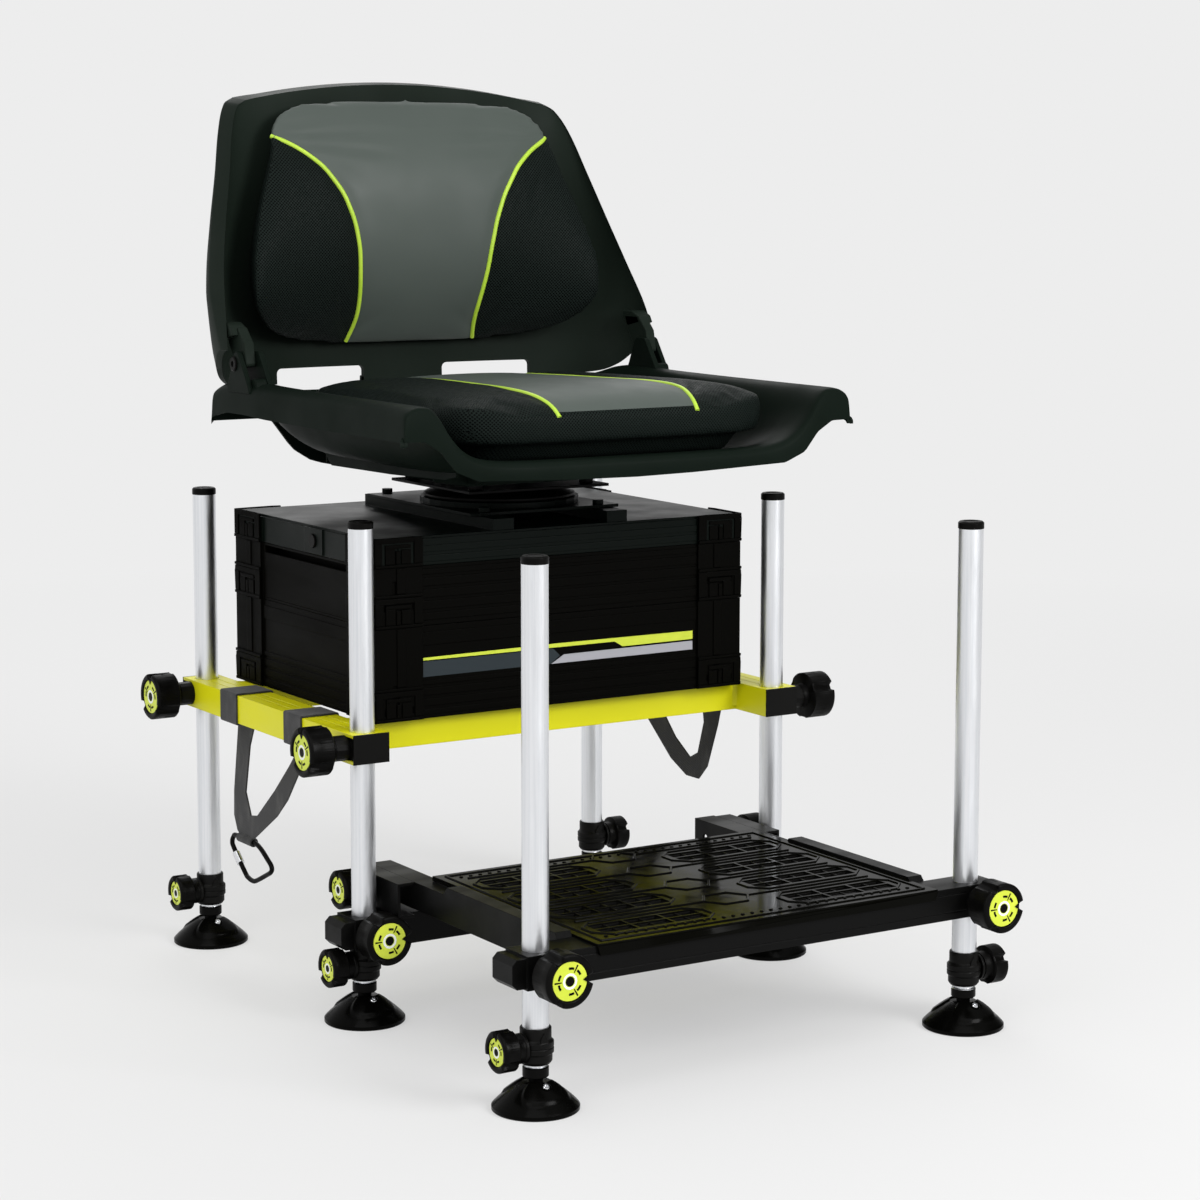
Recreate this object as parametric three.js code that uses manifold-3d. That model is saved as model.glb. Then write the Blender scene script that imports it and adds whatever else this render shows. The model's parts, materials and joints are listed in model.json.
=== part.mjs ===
// Fishing seat box: a padded swivel seat on a stack of tackle trays, carried by a welded alloy frame
// on telescopic legs, with a footplate clamped to the two front legs.
// Millimetres, +Z up, the footplate towards -Y, the origin on the floor midway between the box legs.
import * as THREE from 'three';
import { mergeVertices } from 'three/addons/utils/BufferGeometryUtils.js';
import Module from 'manifold-3d';

const wasm = await Module();
wasm.setup();

// Clearances
const FIT = 0.3;
const OVERRUN = 1;

// Facets
const LEG_STEPS = 16;
const INNER_STEPS = 12;
const ROD_STEPS = 8;
const HOLE_STEPS = 10;
const KNOB_STEPS = 18;
const SMALL_KNOB_STEPS = 15;
const FOOT_STEPS = 18;
const SWIVEL_STEPS = 28;

// Legs: where they stand, and the outer tube
const BOX_LEG_Y = 185;
const PLATE_LEG_Y = 522.5;
const BOX_LEG_TOP = 510;
const PLATE_LEG_TOP = 513;
const TUBE_RADIUS = 12.5;
const TUBE_WALL = 1.7;
const CAP_HEIGHT = 7.5;
const CAP_LIP = 0.5;
const CAP_BEVEL = 1.6;

// Collar at the lower end of each tube
const COLLAR_TOP = 78;
const COLLAR_RADIUS = 14.7;
const BELLY_TOP = 66;
const BELLY_BOTTOM = 54;
const BELLY_RADIUS = 17;
const NECK_RADIUS = 15.6;
const NECK_CHAMFER = 3;
const COLLAR_BOTTOM = 43.5;
const COLLAR_LIP = 4.5;
const COLLAR_KNOB_HEIGHT = 59.5;
const COLLAR_BOSS_RADIUS = 14;
const COLLAR_BOSS_REACH = 17.6;

// Inner leg and its foot
const INNER_RADIUS = 10.2;
const INNER_WALL = 1.6;
const INNER_TOP = 300;
const FERRULE_RADIUS = 12.3;
const FERRULE_BOTTOM = 30.7;
const FERRULE_TOP = 41;
const STEM_RADIUS = 6.8;
const STEM_BOTTOM = 13;
const FOOT_RADIUS = 41;
const FOOT_RIM = 4.6;
const FOOT_SHOULDER_RADIUS = 27;
const FOOT_SHOULDER = 17;
const FOOT_HUB_RADIUS = 13.5;
const FOOT_HEIGHT = 26.5;
const FOOT_PIN_HEIGHT = 19.5;
const FOOT_PIN_RADIUS = 3;
const FOOT_SLOT_LENGTH = 24;
const FOOT_SLOT_DEPTH = 18.5;

// Knobs: rod, neck, rim and the three notches
const ROD_RADIUS = 4;
const KNOB_RADIUS = 25;
const KNOB_DEPTH = 27;
const KNOB_NECK_RADIUS = 13;
const KNOB_FACE_RADIUS = 18.5;
const KNOB_FACE_DEPTH = 2;
const KNOB_NOTCH_WIDTH = 7;
const KNOB_NOTCH_DEPTH = 4;
const COLLAR_KNOB_RADIUS = 19.5;
const COLLAR_KNOB_DEPTH = 17;
const COLLAR_KNOB_NECK_RADIUS = 14;
const COLLAR_KNOB_NECK = 8;
const COLLAR_KNOB_NOTCH_WIDTH = 6;
const COLLAR_KNOB_NOTCH_DEPTH = 3;
const KNOB_NOTCHES = 3;

// Frame under the box
const RAIL_WIDTH = 40;
const RAIL_BOX_GAP = 7;
const RAIL_BOTTOM = 268;
const RAIL_HEIGHT = 30;
const RAIL_WALL = 2.2;
const CLAMP_INNER_REACH = 32;
const CLAMP_FLANGE = 1.7;
const CLAMP_BOSS_RADIUS = 13;
const CLAMP_SLOT_RADIUS = 11.5;
const CLAMP_BOSS_REACH = 35;
const CLAMP_NECK = 6.5;
const CROSS_WIDTH = 30;
const CROSS_OUTER_Y = 145.5;
const WELD_SIZE = 4;
const GROOVE_WIDTH = 1.2;
const GROOVE_DEPTH = 0.7;
const RAIL_GROOVE_OFFSET = 6;

// Footplate bars, arms and brackets
const BAR_DEPTH = 40;
const BAR_HEIGHT = 32;
const BAR_WALL = 2.5;
const BAR_OVERHANG = 20;
const BAR_PLUG = 15;
const BAR_PLUG_INSET = 2;
const BAR_PLUG_CHAMFER = 5;
const REAR_BAR_BOTTOM = 78.4;
const REAR_BOSS_REACH = 24;
const REAR_BAR_NECK = 5;
const FRONT_BAR_BOTTOM = 118;
const FRONT_BOSS_REACH = 27.5;
const FRONT_BAR_NECK = 7;
const FRONT_GROOVE_SPACING = 9;
const ARM_LEG_GAP = 36;
const ARM_WIDTH = 25;
const ARM_BOTTOM = 119;
const ARM_HEIGHT = 28;
const ARM_END_Y = -128;
const GUARD_WIDTH = 16.7;
const GUARD_HEIGHT = 8;
const GUARD_REAR_Y = -285;
const GUARD_FRONT_Y = -505;
const GUARD_SLOPE = 8;
const BRACKET_WIDTH = 18.7;
const BRACKET_TOP = 147;
const BRACKET_WALL = 3;
const BRACKET_FRONT_Y = -226;
const BRACKET_REAR_Y = -132;
const PIVOT_Y = -148;
const PIVOT_Z = 128.5;
const PIVOT_KNOB_RADIUS = 20;
const PIVOT_KNOB_DEPTH = 22;
const PIVOT_NECK_RADIUS = 9;
const PIVOT_NECK = 6;

// Tread plate
const TREAD_REAR_Y = -232;
const TREAD_TOP = 153.5;
const TREAD_WALL = 2.8;
const TREAD_LIP = 12.5;
const SLOT_ROWS = 4;
const SLOTS_ACROSS = 3;
const SLOTS_ALONG = 2;
const SLOT_GROUP_WIDTH = 118;
const SLOT_GROUP_DEPTH = 32;
const SLOT_GROUP_X = 112;
const SLOT_PITCH = 68;
const SLOT_FIRST_Y = -278;
const SLOT_RIB = 3;

// Box: three tiers with stepped corner posts
const BOX_HALF_WIDTH = 224;
const BOX_HALF_DEPTH = 163;
const POST_PROUD = 3;
const FRONT_POST = 55;
const SIDE_POST = 62;
const BASE_BOTTOM = 298.4;
const BASE_TOP = 394.3;
const CASE_TOP = 456.3;
const LID_TOP = 486.5;
const TIER_GAP = 0.5;
const BOX_WALL = 3;
const BOX_FLOOR = 2.5;
const CLIP_WIDTH = 34;
const CLIP_HEIGHT = 30;
const CLIP_BAND = 7;
const CLIP_DEPTH = 1.5;
const PANEL_GROOVE = 2;
const RIM_STEP = 5;

// Side drawer
const DRAWER_FRONT_HALF = 100;
const DRAWER_HALF = 97;
const DRAWER_WALL = 2;
const DRAWER_REAR_X = 190;
const DRAWER_TRAY_HEIGHT = 40;
const DRAWER_HEAD = 20;
const DRAWER_PANEL = 4;
const PULL_DEPTH = 14;
const PULL_LIP = 2.5;
const PULL_FLOOR = 12.5;
const PULL_WINDOW = 7.5;
const RUNNER_HEIGHT = 20;
const RUNNER_REAR_GAP = 25;

// Lid latch and hinge
const LATCH_Y = -23;
const LATCH_Z = 471;
const LATCH_PLATE = 42;
const LATCH_PLATE_HEIGHT = 27;
const LATCH_RADIUS = 7;
const LATCH_STEM = 9;
const LATCH_FLANGE = 2;
const HINGE_RADIUS = 3;
const HINGE_REACH = 3.3;
const HINGE_PIN = 1.2;
const HINGE_LENGTH = 30;
const HINGE_Y = 75;
const HINGE_LEAF = 2;

// Swivel between the lid and the seat
const SWIVEL_Y = -28;
const SWIVEL_RAIL_INNER = 57;
const SWIVEL_RAIL_WIDTH = 25;
const SWIVEL_RAIL_HEIGHT = 12;
const SWIVEL_RAIL_FRONT_INSET = 7;
const SWIVEL_RAIL_REAR_INSET = 35;
const SWIVEL_BASE_HALF_WIDTH = 91;
const SWIVEL_BASE_FRONT_INSET = 38;
const SWIVEL_BASE_REAR_INSET = 58;
const SWIVEL_BASE_WALL = 3;
const SWIVEL_RACE_RADIUS = 86;
const SWIVEL_RACE_HEIGHT = 6;
const SWIVEL_BOLT_X = 70;
const SWIVEL_BOLT_RADIUS = 6;
const SWIVEL_BOLT_HEIGHT = 5;
const SWIVEL_BOLT_FRONT_INSET = 8;
const SWIVEL_BOLT_REAR_INSET = 7;
const SWIVEL_PIN_RADIUS = 14;
const SWIVEL_DISH_RADIUS = 82;
const SWIVEL_DISH_RIM = 4;
const SWIVEL_DISH_NECK_RADIUS = 58;
const SWIVEL_DISH_HEIGHT = 12;
const SWIVEL_GAP = 0.5;
const SEAT_PLATE_HALF = 86;
const SEAT_PLATE_WALL = 3;
const SEAT_STUD_OFFSET = 68;
const SEAT_STUD_RADIUS = 6;

// Seat shell: a pan with a rolled front lip and hollow arms
const SEAT_HALF_WIDTH = 265;
const SEAT_FRONT_Y = -303;
const SEAT_DEPTH = 434;
const PAN_FLOOR = 553;
const PAN_RISE = 78;
const SKIRT_DEPTH = 34;
const SEAT_WALL = 4;
const SEAT_FACE_WALL = 4;
const SEAT_FACE_INSET = 0.6;
const CHEEK_INSET = 0.4;
const CHEEK_WALL = 5.6;
const CHEEK_GAP = 13;
const CHEEK_BASE_FRONT_Y = 36;
const CHEEK_BASE_REAR_Y = 100;
const CHEEK_HEAD_FRONT_Y = 60;
const CHEEK_HEAD_REAR_Y = 75;
const CHEEK_TOP = 665;
const BACK_PIVOT_Y = 74;
const BACK_PIVOT_Z = 652;
const BACK_PIN_RADIUS = 4;
const BACK_SCREW_RADIUS = 8;
const BACK_SCREW_HEAD = 2.2;

// Backrest shell: a bucket that wraps forward towards its lower corners
const BACK_OVERHANG = 3.8;
const BACK_BOTTOM = 620;
const BACK_HEIGHT = 311.6;
const BACK_CROWN = 19.4;
const BACK_WRAP = 111;
const BACK_FACE_Y = 188;
const BACK_LEAN = 12;
const BACK_WALL = 5;
const BACK_RIM = 15;
const BACK_FLARE = 7;
const BACK_TOP_FLARE = 3;
const BACK_TAB_HALF = 50;
const BACK_TAB_DROP = 16;
const BACK_SLOT_INSET = 105.8;
const BACK_SLOT_TOP = 636;
const TONGUE_RADIUS = 10.5;
const TONGUE_BACK = 24;
const TONGUE_RISE = 50;
const TONGUE_ROOT = 22;

// Cushions
const CUSHION_GAP = 1.6;
const SEAT_CUSHION_INSET = 102;
const SEAT_CUSHION_FRONT_Y = -290;
const SEAT_CUSHION_REAR_Y = 84;
const SEAT_CUSHION_SEAM = 604;
const SEAT_CUSHION_TOP = 612;
const SEAT_CUSHION_CROWN = 11;
const BACK_CUSHION_INSET = 50.2;
const BACK_CUSHION_BOTTOM = 665;
const BACK_CUSHION_HEIGHT = 270;
const BACK_CUSHION_SEAM_Y = 111;
const BACK_CUSHION_SWEEP = 67;
const BACK_CUSHION_CENTRE = 800;
const BACK_CUSHION_BULGE = 12;
const BACK_CUSHION_GAP = 1.6;

// Straps on the side rails, and the carabiner
const STRAP_WIDTH = 40;
const STRAP_WALL = 2;
const STRAP_REAR_Y = 83;
const STRAP_FRONT_Y = -71;
const STRAP_REACH = 100;
const STRAP_DROP = 132;
const STRAP_HANG_TOP = 266;
const STRAP_EYE_Z = 134;
const STRAP_EYE_FRONT_Y = 70;
const STRAP_EYE_REAR_Y = 105;
const WIRE_RADIUS = 2.6;
const WIRE_CLEARANCE = 0.5;
const CARABINER_LENGTH = 100;
const CARABINER_DROP = 43;
const CARABINER_FRONT_Y = 25;

// Sizes that follow from others
const LEG_X = BOX_HALF_WIDTH + RAIL_BOX_GAP + RAIL_WIDTH / 2;
const BAR_HALF_LENGTH = LEG_X + BAR_OVERHANG;
const ARM_OUTER_X = LEG_X - ARM_LEG_GAP;
const TREAD_HALF_WIDTH = ARM_OUTER_X - GUARD_WIDTH - FIT;
const SWIVEL_RAIL_FRONT_Y = SWIVEL_RAIL_FRONT_INSET - BOX_HALF_DEPTH;
const SWIVEL_RAIL_REAR_Y = BOX_HALF_DEPTH - SWIVEL_RAIL_REAR_INSET;
const SWIVEL_BASE_FRONT_Y = SWIVEL_BASE_FRONT_INSET - BOX_HALF_DEPTH;
const SWIVEL_BASE_REAR_Y = BOX_HALF_DEPTH - SWIVEL_BASE_REAR_INSET;
const SWIVEL_BOLT_FRONT_Y = SWIVEL_BASE_FRONT_Y + SWIVEL_BOLT_FRONT_INSET;
const SWIVEL_BOLT_REAR_Y = SWIVEL_BASE_REAR_Y - SWIVEL_BOLT_REAR_INSET;
const CHEEK_OUTER_X = SEAT_HALF_WIDTH - CHEEK_INSET;
const BACK_HALF_WIDTH = SEAT_HALF_WIDTH + BACK_OVERHANG;
const BACK_SLOT_OUTER_X = BACK_HALF_WIDTH - BACK_SLOT_INSET;
const SEAT_CUSHION_HALF_WIDTH = SEAT_HALF_WIDTH - SEAT_CUSHION_INSET;
const BACK_CUSHION_HALF_WIDTH = BACK_HALF_WIDTH - BACK_CUSHION_INSET;

// Outlines, as shares of the sizes that they follow.
// Grooves in the base tray's walls, as shares of its height
const TRAY_GROOVE_SHARES = [1 / 6, 1 / 4, 7 / 8];
// Exponent that squares off the seat cushion's corners
const CUSHION_CORNER_SHARE = 0.42;
// Seat rows: share of the depth, arm top and pan floor as shares of the rise.
const SEAT_ROW_SHARES = [
  [0, 0.955, 0.27],
  [0.008, 0.99, 0.335],
  [0.028, 1, 0.355],
  [0.071, 1, 0.32],
  [0.145, 1, 0.15],
  [0.237, 1, 0.04],
  [0.42, 1, 0],
  [0.698, 1.01, 0],
  [0.813, 1.03, 0.03],
  [0.896, 1.03, 0.16],
  [0.952, 0.96, 0.42],
  [0.984, 0.87, 0.7],
  [1, 0.828, 0.815],
];
// Seat columns: share of the half width, height between floor and arm top, share of the skirt below it.
const SEAT_COLUMN_SHARES = [
  [0, 0, 0],
  [0.25, 0, 0],
  [0.51, 0.013, 0],
  [0.66, 0.076, 0],
  [0.743, 0.24, 0],
  [0.804, 0.52, 0],
  [0.849, 0.82, 0],
  [0.887, 0.975, 0],
  [0.932, 1, 0],
  [0.97, 1, 0.09],
  [1, 1, 0.38],
  [1, 1, 1],
];
// Lower edge of the seat's front face: shares of the half width and of the rise.
const SEAT_FACE_SHARES = [
  [0.997, 0.57],
  [0.913, 0.564],
  [0.845, 0.423],
  [0.783, 0.167],
  [0.69, 0.038],
  [0.264, -0.013],
];
// Backrest edge: share of the height, share of the half width, share of the wrap.
const BACK_EDGE_SHARES = [
  [0, 1, 1.1],
  [0.128, 1, 1],
  [0.257, 0.986, 0.9],
  [0.417, 0.949, 0.69],
  [0.578, 0.9, 0.515],
  [0.738, 0.848, 0.36],
  [0.899, 0.796, 0.19],
  [0.979, 0.748, 0.08],
  [1, 0.701, 0.04],
];
// Backrest rows: share of the height, share of the crown, share of the rim.
const BACK_ROW_SHARES = [
  [0, 0, 0.5],
  [0.08, 0, 0.2],
  [0.16, 0, 0],
  [0.257, 0, 0],
  [0.37, 0, 0],
  [0.48, 0, 0],
  [0.59, 0, 0],
  [0.7, 0, 0],
  [0.81, 0.25, 0],
  [0.91, 0.7, 0.2],
  [0.965, 0.9, 0.75],
  [1, 1, 1],
];
// Backrest columns: share of the half width, share of the rim, and lift of the lower edge as a share
// of the height.
const BACK_COLUMN_SHARES = [
  [0, 0, 0],
  [0.22, 0, 0],
  [0.42, 0, 0],
  [0.58, 0, 0],
  [0.7, 0, 0],
  [0.8, 0, 0.003],
  [0.88, 0.15, 0.013],
  [0.935, 0.6, 0.035],
  [0.97, 0.85, 0.066],
  [0.99, 0.97, 0.1],
  [1, 1, 0.128],
];
// Back cushion seam: share of the half width, of the height, of the sweep back from the foremost point.
const BACK_SEAM_SHARES = [
  [0, 0, 0.95],
  [0.3, 0.002, 0.93],
  [0.6, 0.015, 0.8],
  [0.79, 0.045, 0.55],
  [0.9, 0.09, 0.33],
  [0.97, 0.15, 0.12],
  [1, 0.22, 0],
  [1, 0.32, 0.03],
  [0.957, 0.463, 0.21],
  [0.915, 0.574, 0.36],
  [0.86, 0.685, 0.49],
  [0.8, 0.796, 0.6],
  [0.75, 0.87, 0.79],
  [0.7, 0.93, 0.88],
  [0.55, 0.972, 0.95],
  [0.3, 0.993, 0.98],
  [0, 1, 1],
];
// Back cushion middle: share of the height, share of the sweep.
const BACK_MIDDLE_SHARES = [
  [0, 0.85],
  [0.09, 0.5],
  [0.17, 0.37],
  [0.28, 0.3],
  [0.39, 0.25],
  [0.5, 0.22],
  [0.61, 0.22],
  [0.72, 0.27],
  [0.8, 0.36],
  [0.9, 0.6],
  [1, 0.95],
];
// Straps: shares of the reach along the rail and of the drop below it.
const LEFT_STRAP_SHARES = [
  [1.03, 0],
  [1.17, 0.62],
  [1.18, 0.83],
  [1.1, 0.95],
  [1.03, 0.98],
  [0.72, 0.98],
  [0.61, 0.93],
  [0.12, 0.7],
  [-0.14, 0.53],
  [-0.26, 0.42],
  [-0.5, 0.2],
  [-0.91, 0],
  [-0.51, 0],
  [-0.2, 0.24],
  [0.16, 0.49],
  [0.6, 0.76],
  [0.76, 0.78],
  [0.88, 0.6],
  [0.76, 0.2],
  [0.63, 0],
];
const RIGHT_STRAP_SHARES = [
  [1.03, 0],
  [0.62, 0.32],
  [0.12, 0.62],
  [-0.2, 0.73],
  [-0.45, 0.73],
  [-0.62, 0.6],
  [-0.82, 0.22],
  [-0.91, 0],
  [-0.51, 0],
  [-0.55, 0.22],
  [-0.43, 0.5],
  [-0.27, 0.56],
  [0.03, 0.42],
  [0.38, 0.16],
  [0.63, 0],
];
// Carabiner wire: shares of its length and of its drop.
const CARABINER_SHARES = [
  [0.4, 0],
  [0.88, 0],
  [0.96, 0.06],
  [1, 0.2],
  [0.96, 0.36],
  [0.68, 0.88],
  [0.6, 0.97],
  [0.5, 1],
  [0.4, 0.95],
  [0.14, 0.68],
  [0.04, 0.56],
  [0.02, 0.44],
  [0.1, 0.3],
];

// Finishes
const lime = new THREE.MeshStandardMaterial({ color: 0xc6cb28, roughness: 0.38, metalness: 0.35 });
const bareAlloy = new THREE.MeshStandardMaterial({ color: 0xb9bcbf, roughness: 0.36, metalness: 0.9 });
const blackAlloy = new THREE.MeshStandardMaterial({ color: 0x17171a, roughness: 0.42, metalness: 0.5 });
const blackPlastic = new THREE.MeshStandardMaterial({ color: 0x141415, roughness: 0.5, metalness: 0 });
const glossPlastic = new THREE.MeshStandardMaterial({ color: 0x0c0c0d, roughness: 0.12, metalness: 0 });
const shellPlastic = new THREE.MeshStandardMaterial({ color: 0x1b211f, roughness: 0.55, metalness: 0 });
const vinyl = new THREE.MeshStandardMaterial({ color: 0x2b2e2e, roughness: 0.6, metalness: 0 });
const webbing = new THREE.MeshStandardMaterial({ color: 0x202022, roughness: 0.85, metalness: 0 });
const wire = new THREE.MeshStandardMaterial({ color: 0x101011, roughness: 0.3, metalness: 0.6 });

// Solids
function solidOf(shape) {
  if (shape instanceof wasm.Manifold) return shape;
  const plain = shape.index ? shape.toNonIndexed() : shape.clone();
  plain.deleteAttribute('normal');
  plain.deleteAttribute('uv');
  const merged = mergeVertices(plain);
  const vertProperties = new Float32Array(merged.attributes.position.array);
  const triVerts = new Uint32Array(merged.index.array);
  const made = new wasm.Manifold(new wasm.Mesh({ numProp: 3, vertProperties, triVerts }));
  if (made.volume() > 0) return made;
  for (let corner = 0; corner < triVerts.length; corner += 3) {
    [triVerts[corner + 1], triVerts[corner + 2]] = [triVerts[corner + 2], triVerts[corner + 1]];
  }
  return new wasm.Manifold(new wasm.Mesh({ numProp: 3, vertProperties, triVerts }));
}

function join(shapes) {
  return shapes.map(solidOf).reduce((whole, piece) => whole.add(piece));
}

function cut(shape, tools) {
  return tools.map(solidOf).reduce((rest, tool) => rest.subtract(tool), solidOf(shape));
}

function meshOf(name, shape, material) {
  const { vertProperties, triVerts, numProp } = solidOf(shape).getMesh();
  const count = vertProperties.length / numProp;
  const positions = new Float32Array(count * 3);
  for (let vertex = 0; vertex < count; vertex += 1) {
    for (let axis = 0; axis < 3; axis += 1) {
      positions[vertex * 3 + axis] = vertProperties[vertex * numProp + axis];
    }
  }
  const geometry = new THREE.BufferGeometry();
  geometry.setAttribute('position', new THREE.BufferAttribute(positions, 3));
  geometry.setIndex(new THREE.BufferAttribute(new Uint32Array(triVerts), 1));
  geometry.computeVertexNormals();
  const mesh = new THREE.Mesh(geometry, material);
  mesh.name = name;
  return mesh;
}

function block([x0, x1], [y0, y1], [z0, z1]) {
  const box = new THREE.BoxGeometry(Math.abs(x1 - x0), Math.abs(y1 - y0), Math.abs(z1 - z0));
  return box.translate((x0 + x1) / 2, (y0 + y1) / 2, (z0 + z1) / 2);
}

// A revolve about Z through points of radius and height.
function turned(profile, steps) {
  const points = profile.map(([radius, height]) => new THREE.Vector2(radius, height));
  return new THREE.LatheGeometry(points, steps).rotateX(Math.PI / 2);
}

// An outline pushed along one axis: points are (x, y) along Z, (y, z) along X and (x, z) along Y.
function prism(outline, [from, to], axis) {
  const shape = new THREE.Shape(outline.map(([a, b]) => new THREE.Vector2(a, b)));
  const solid = new THREE.ExtrudeGeometry(shape, { depth: to - from, bevelEnabled: false });
  solid.translate(0, 0, from);
  const unitX = new THREE.Vector3(1, 0, 0);
  const unitY = new THREE.Vector3(0, 1, 0);
  const unitZ = new THREE.Vector3(0, 0, 1);
  const frames = { x: [unitY, unitZ, unitX], y: [unitX, unitZ, unitY], z: [unitX, unitY, unitZ] };
  return solid.applyMatrix4(new THREE.Matrix4().makeBasis(...frames[axis]));
}

function rod([x, y, z], radius, [from, to], axis, steps) {
  const cylinder = new THREE.CylinderGeometry(radius, radius, to - from, steps);
  cylinder.translate(0, (from + to) / 2, 0);
  if (axis === 'x') cylinder.rotateZ(-Math.PI / 2);
  if (axis === 'z') cylinder.rotateX(Math.PI / 2);
  return cylinder.translate(x, y, z);
}

// A closed skin between a front and a back grid of points.
function skin(front, back) {
  const rows = front.length;
  const columns = front[0].length;
  const positions = [...front.flat(), ...back.flat()].flatMap((point) => point.toArray());
  const frontAt = (row, column) => row * columns + column;
  const backAt = (row, column) => rows * columns + row * columns + column;
  const faces = [];
  const quad = (a, b, c, d) => faces.push(a, b, c, a, c, d);
  for (let row = 0; row + 1 < rows; row += 1) {
    for (let column = 0; column + 1 < columns; column += 1) {
      const [next, over] = [row + 1, column + 1];
      quad(frontAt(row, column), frontAt(row, over), frontAt(next, over), frontAt(next, column));
      quad(backAt(row, column), backAt(next, column), backAt(next, over), backAt(row, over));
    }
  }
  for (let row = 0; row + 1 < rows; row += 1) {
    const last = columns - 1;
    quad(frontAt(row, 0), frontAt(row + 1, 0), backAt(row + 1, 0), backAt(row, 0));
    quad(frontAt(row + 1, last), frontAt(row, last), backAt(row, last), backAt(row + 1, last));
  }
  for (let column = 0; column + 1 < columns; column += 1) {
    const last = rows - 1;
    quad(frontAt(0, column + 1), frontAt(0, column), backAt(0, column), backAt(0, column + 1));
    quad(frontAt(last, column), frontAt(last, column + 1), backAt(last, column + 1), backAt(last, column));
  }
  return indexed(positions, faces);
}

function indexed(positions, faces) {
  const geometry = new THREE.BufferGeometry();
  geometry.setAttribute('position', new THREE.Float32BufferAttribute(positions, 3));
  geometry.setIndex(faces);
  return geometry;
}

// Rings of points, each closed on itself, between two single points.
function rings(first, loops, last) {
  const spokes = loops[0].length;
  const positions = [first, ...loops.flat(), last].flatMap((point) => point.toArray());
  const at = (loop, spoke) => 1 + loop * spokes + (spoke % spokes);
  const end = 1 + loops.length * spokes;
  const faces = [];
  for (let spoke = 0; spoke < spokes; spoke += 1) {
    faces.push(0, at(0, spoke), at(0, spoke + 1));
    for (let loop = 0; loop + 1 < loops.length; loop += 1) {
      faces.push(at(loop, spoke), at(loop + 1, spoke), at(loop + 1, spoke + 1));
      faces.push(at(loop, spoke), at(loop + 1, spoke + 1), at(loop, spoke + 1));
    }
    faces.push(at(loops.length - 1, spoke), end, at(loops.length - 1, spoke + 1));
  }
  return indexed(positions, faces);
}

// Straight-line reading of a table whose first column rises.
function tableAt(table, place, column) {
  const next = table.findIndex((row, index) => index > 0 && place <= row[0]);
  const upper = next < 0 ? table.length - 1 : next;
  const [low, high] = [table[upper - 1], table[upper]];
  const share = Math.min(Math.max((place - low[0]) / (high[0] - low[0]), 0), 1);
  return low[column] + (high[column] - low[column]) * share;
}

const mirrored = (rows) => [
  ...rows.slice(1).reverse().map((row) => [-1, row]),
  ...rows.map((row) => [1, row]),
];

// Leg pieces, each about its own leg axis with the collar knob towards +X
const BORE_RADIUS = TUBE_RADIUS + FIT;
const ROD_HOLE = ROD_RADIUS + FIT;

function legTube(top) {
  const bottom = COLLAR_BOTTOM + COLLAR_LIP + FIT;
  const inner = TUBE_RADIUS - TUBE_WALL;
  const cap = TUBE_RADIUS + CAP_LIP;
  const profile = [
    [0, top - CAP_HEIGHT],
    [inner, top - CAP_HEIGHT],
    [inner, bottom],
    [TUBE_RADIUS, bottom],
    [TUBE_RADIUS, top - CAP_HEIGHT],
    [cap, top - CAP_HEIGHT],
    [cap, top - CAP_BEVEL],
    [cap - CAP_BEVEL, top],
    [0, top],
  ];
  return turned(profile, LEG_STEPS);
}

function legCollar() {
  const lip = INNER_RADIUS + FIT + CAP_LIP / 2;
  const body = turned([
    [0, COLLAR_BOTTOM],
    [NECK_RADIUS - NECK_CHAMFER, COLLAR_BOTTOM],
    [NECK_RADIUS, COLLAR_BOTTOM + NECK_CHAMFER],
    [NECK_RADIUS, BELLY_BOTTOM - OVERRUN],
    [BELLY_RADIUS, BELLY_BOTTOM],
    [BELLY_RADIUS, BELLY_TOP - OVERRUN],
    [COLLAR_RADIUS, BELLY_TOP],
    [COLLAR_RADIUS, COLLAR_TOP],
    [0, COLLAR_TOP],
  ], LEG_STEPS);
  const boss = rod([0, 0, COLLAR_KNOB_HEIGHT], COLLAR_BOSS_RADIUS, [0, COLLAR_BOSS_REACH], 'x', LEG_STEPS);
  const boreSpan = [COLLAR_BOTTOM + COLLAR_LIP, COLLAR_TOP + OVERRUN];
  const bore = rod([0, 0, 0], BORE_RADIUS, boreSpan, 'z', LEG_STEPS);
  const throat = rod([0, 0, 0], lip, [COLLAR_BOTTOM - OVERRUN, COLLAR_TOP], 'z', LEG_STEPS);
  const screwHole = rod([0, 0, COLLAR_KNOB_HEIGHT], ROD_HOLE, [0, BELLY_RADIUS + OVERRUN], 'x', HOLE_STEPS);
  return cut(join([body, boss]), [bore, throat, screwHole]);
}

function innerLeg() {
  const inner = INNER_RADIUS - INNER_WALL;
  const body = turned([
    [0, STEM_BOTTOM],
    [STEM_RADIUS, STEM_BOTTOM],
    [STEM_RADIUS, FERRULE_BOTTOM],
    [FERRULE_RADIUS, FERRULE_BOTTOM],
    [FERRULE_RADIUS, FERRULE_TOP],
    [INNER_RADIUS, FERRULE_TOP],
    [INNER_RADIUS, INNER_TOP],
    [inner, INNER_TOP],
    [inner, FERRULE_TOP],
    [0, FERRULE_TOP],
  ], INNER_STEPS);
  const eye = FOOT_PIN_RADIUS + FIT;
  return cut(body, [rod([0, 0, FOOT_PIN_HEIGHT], eye, [-FERRULE_RADIUS, FERRULE_RADIUS], 'y', HOLE_STEPS)]);
}

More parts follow.
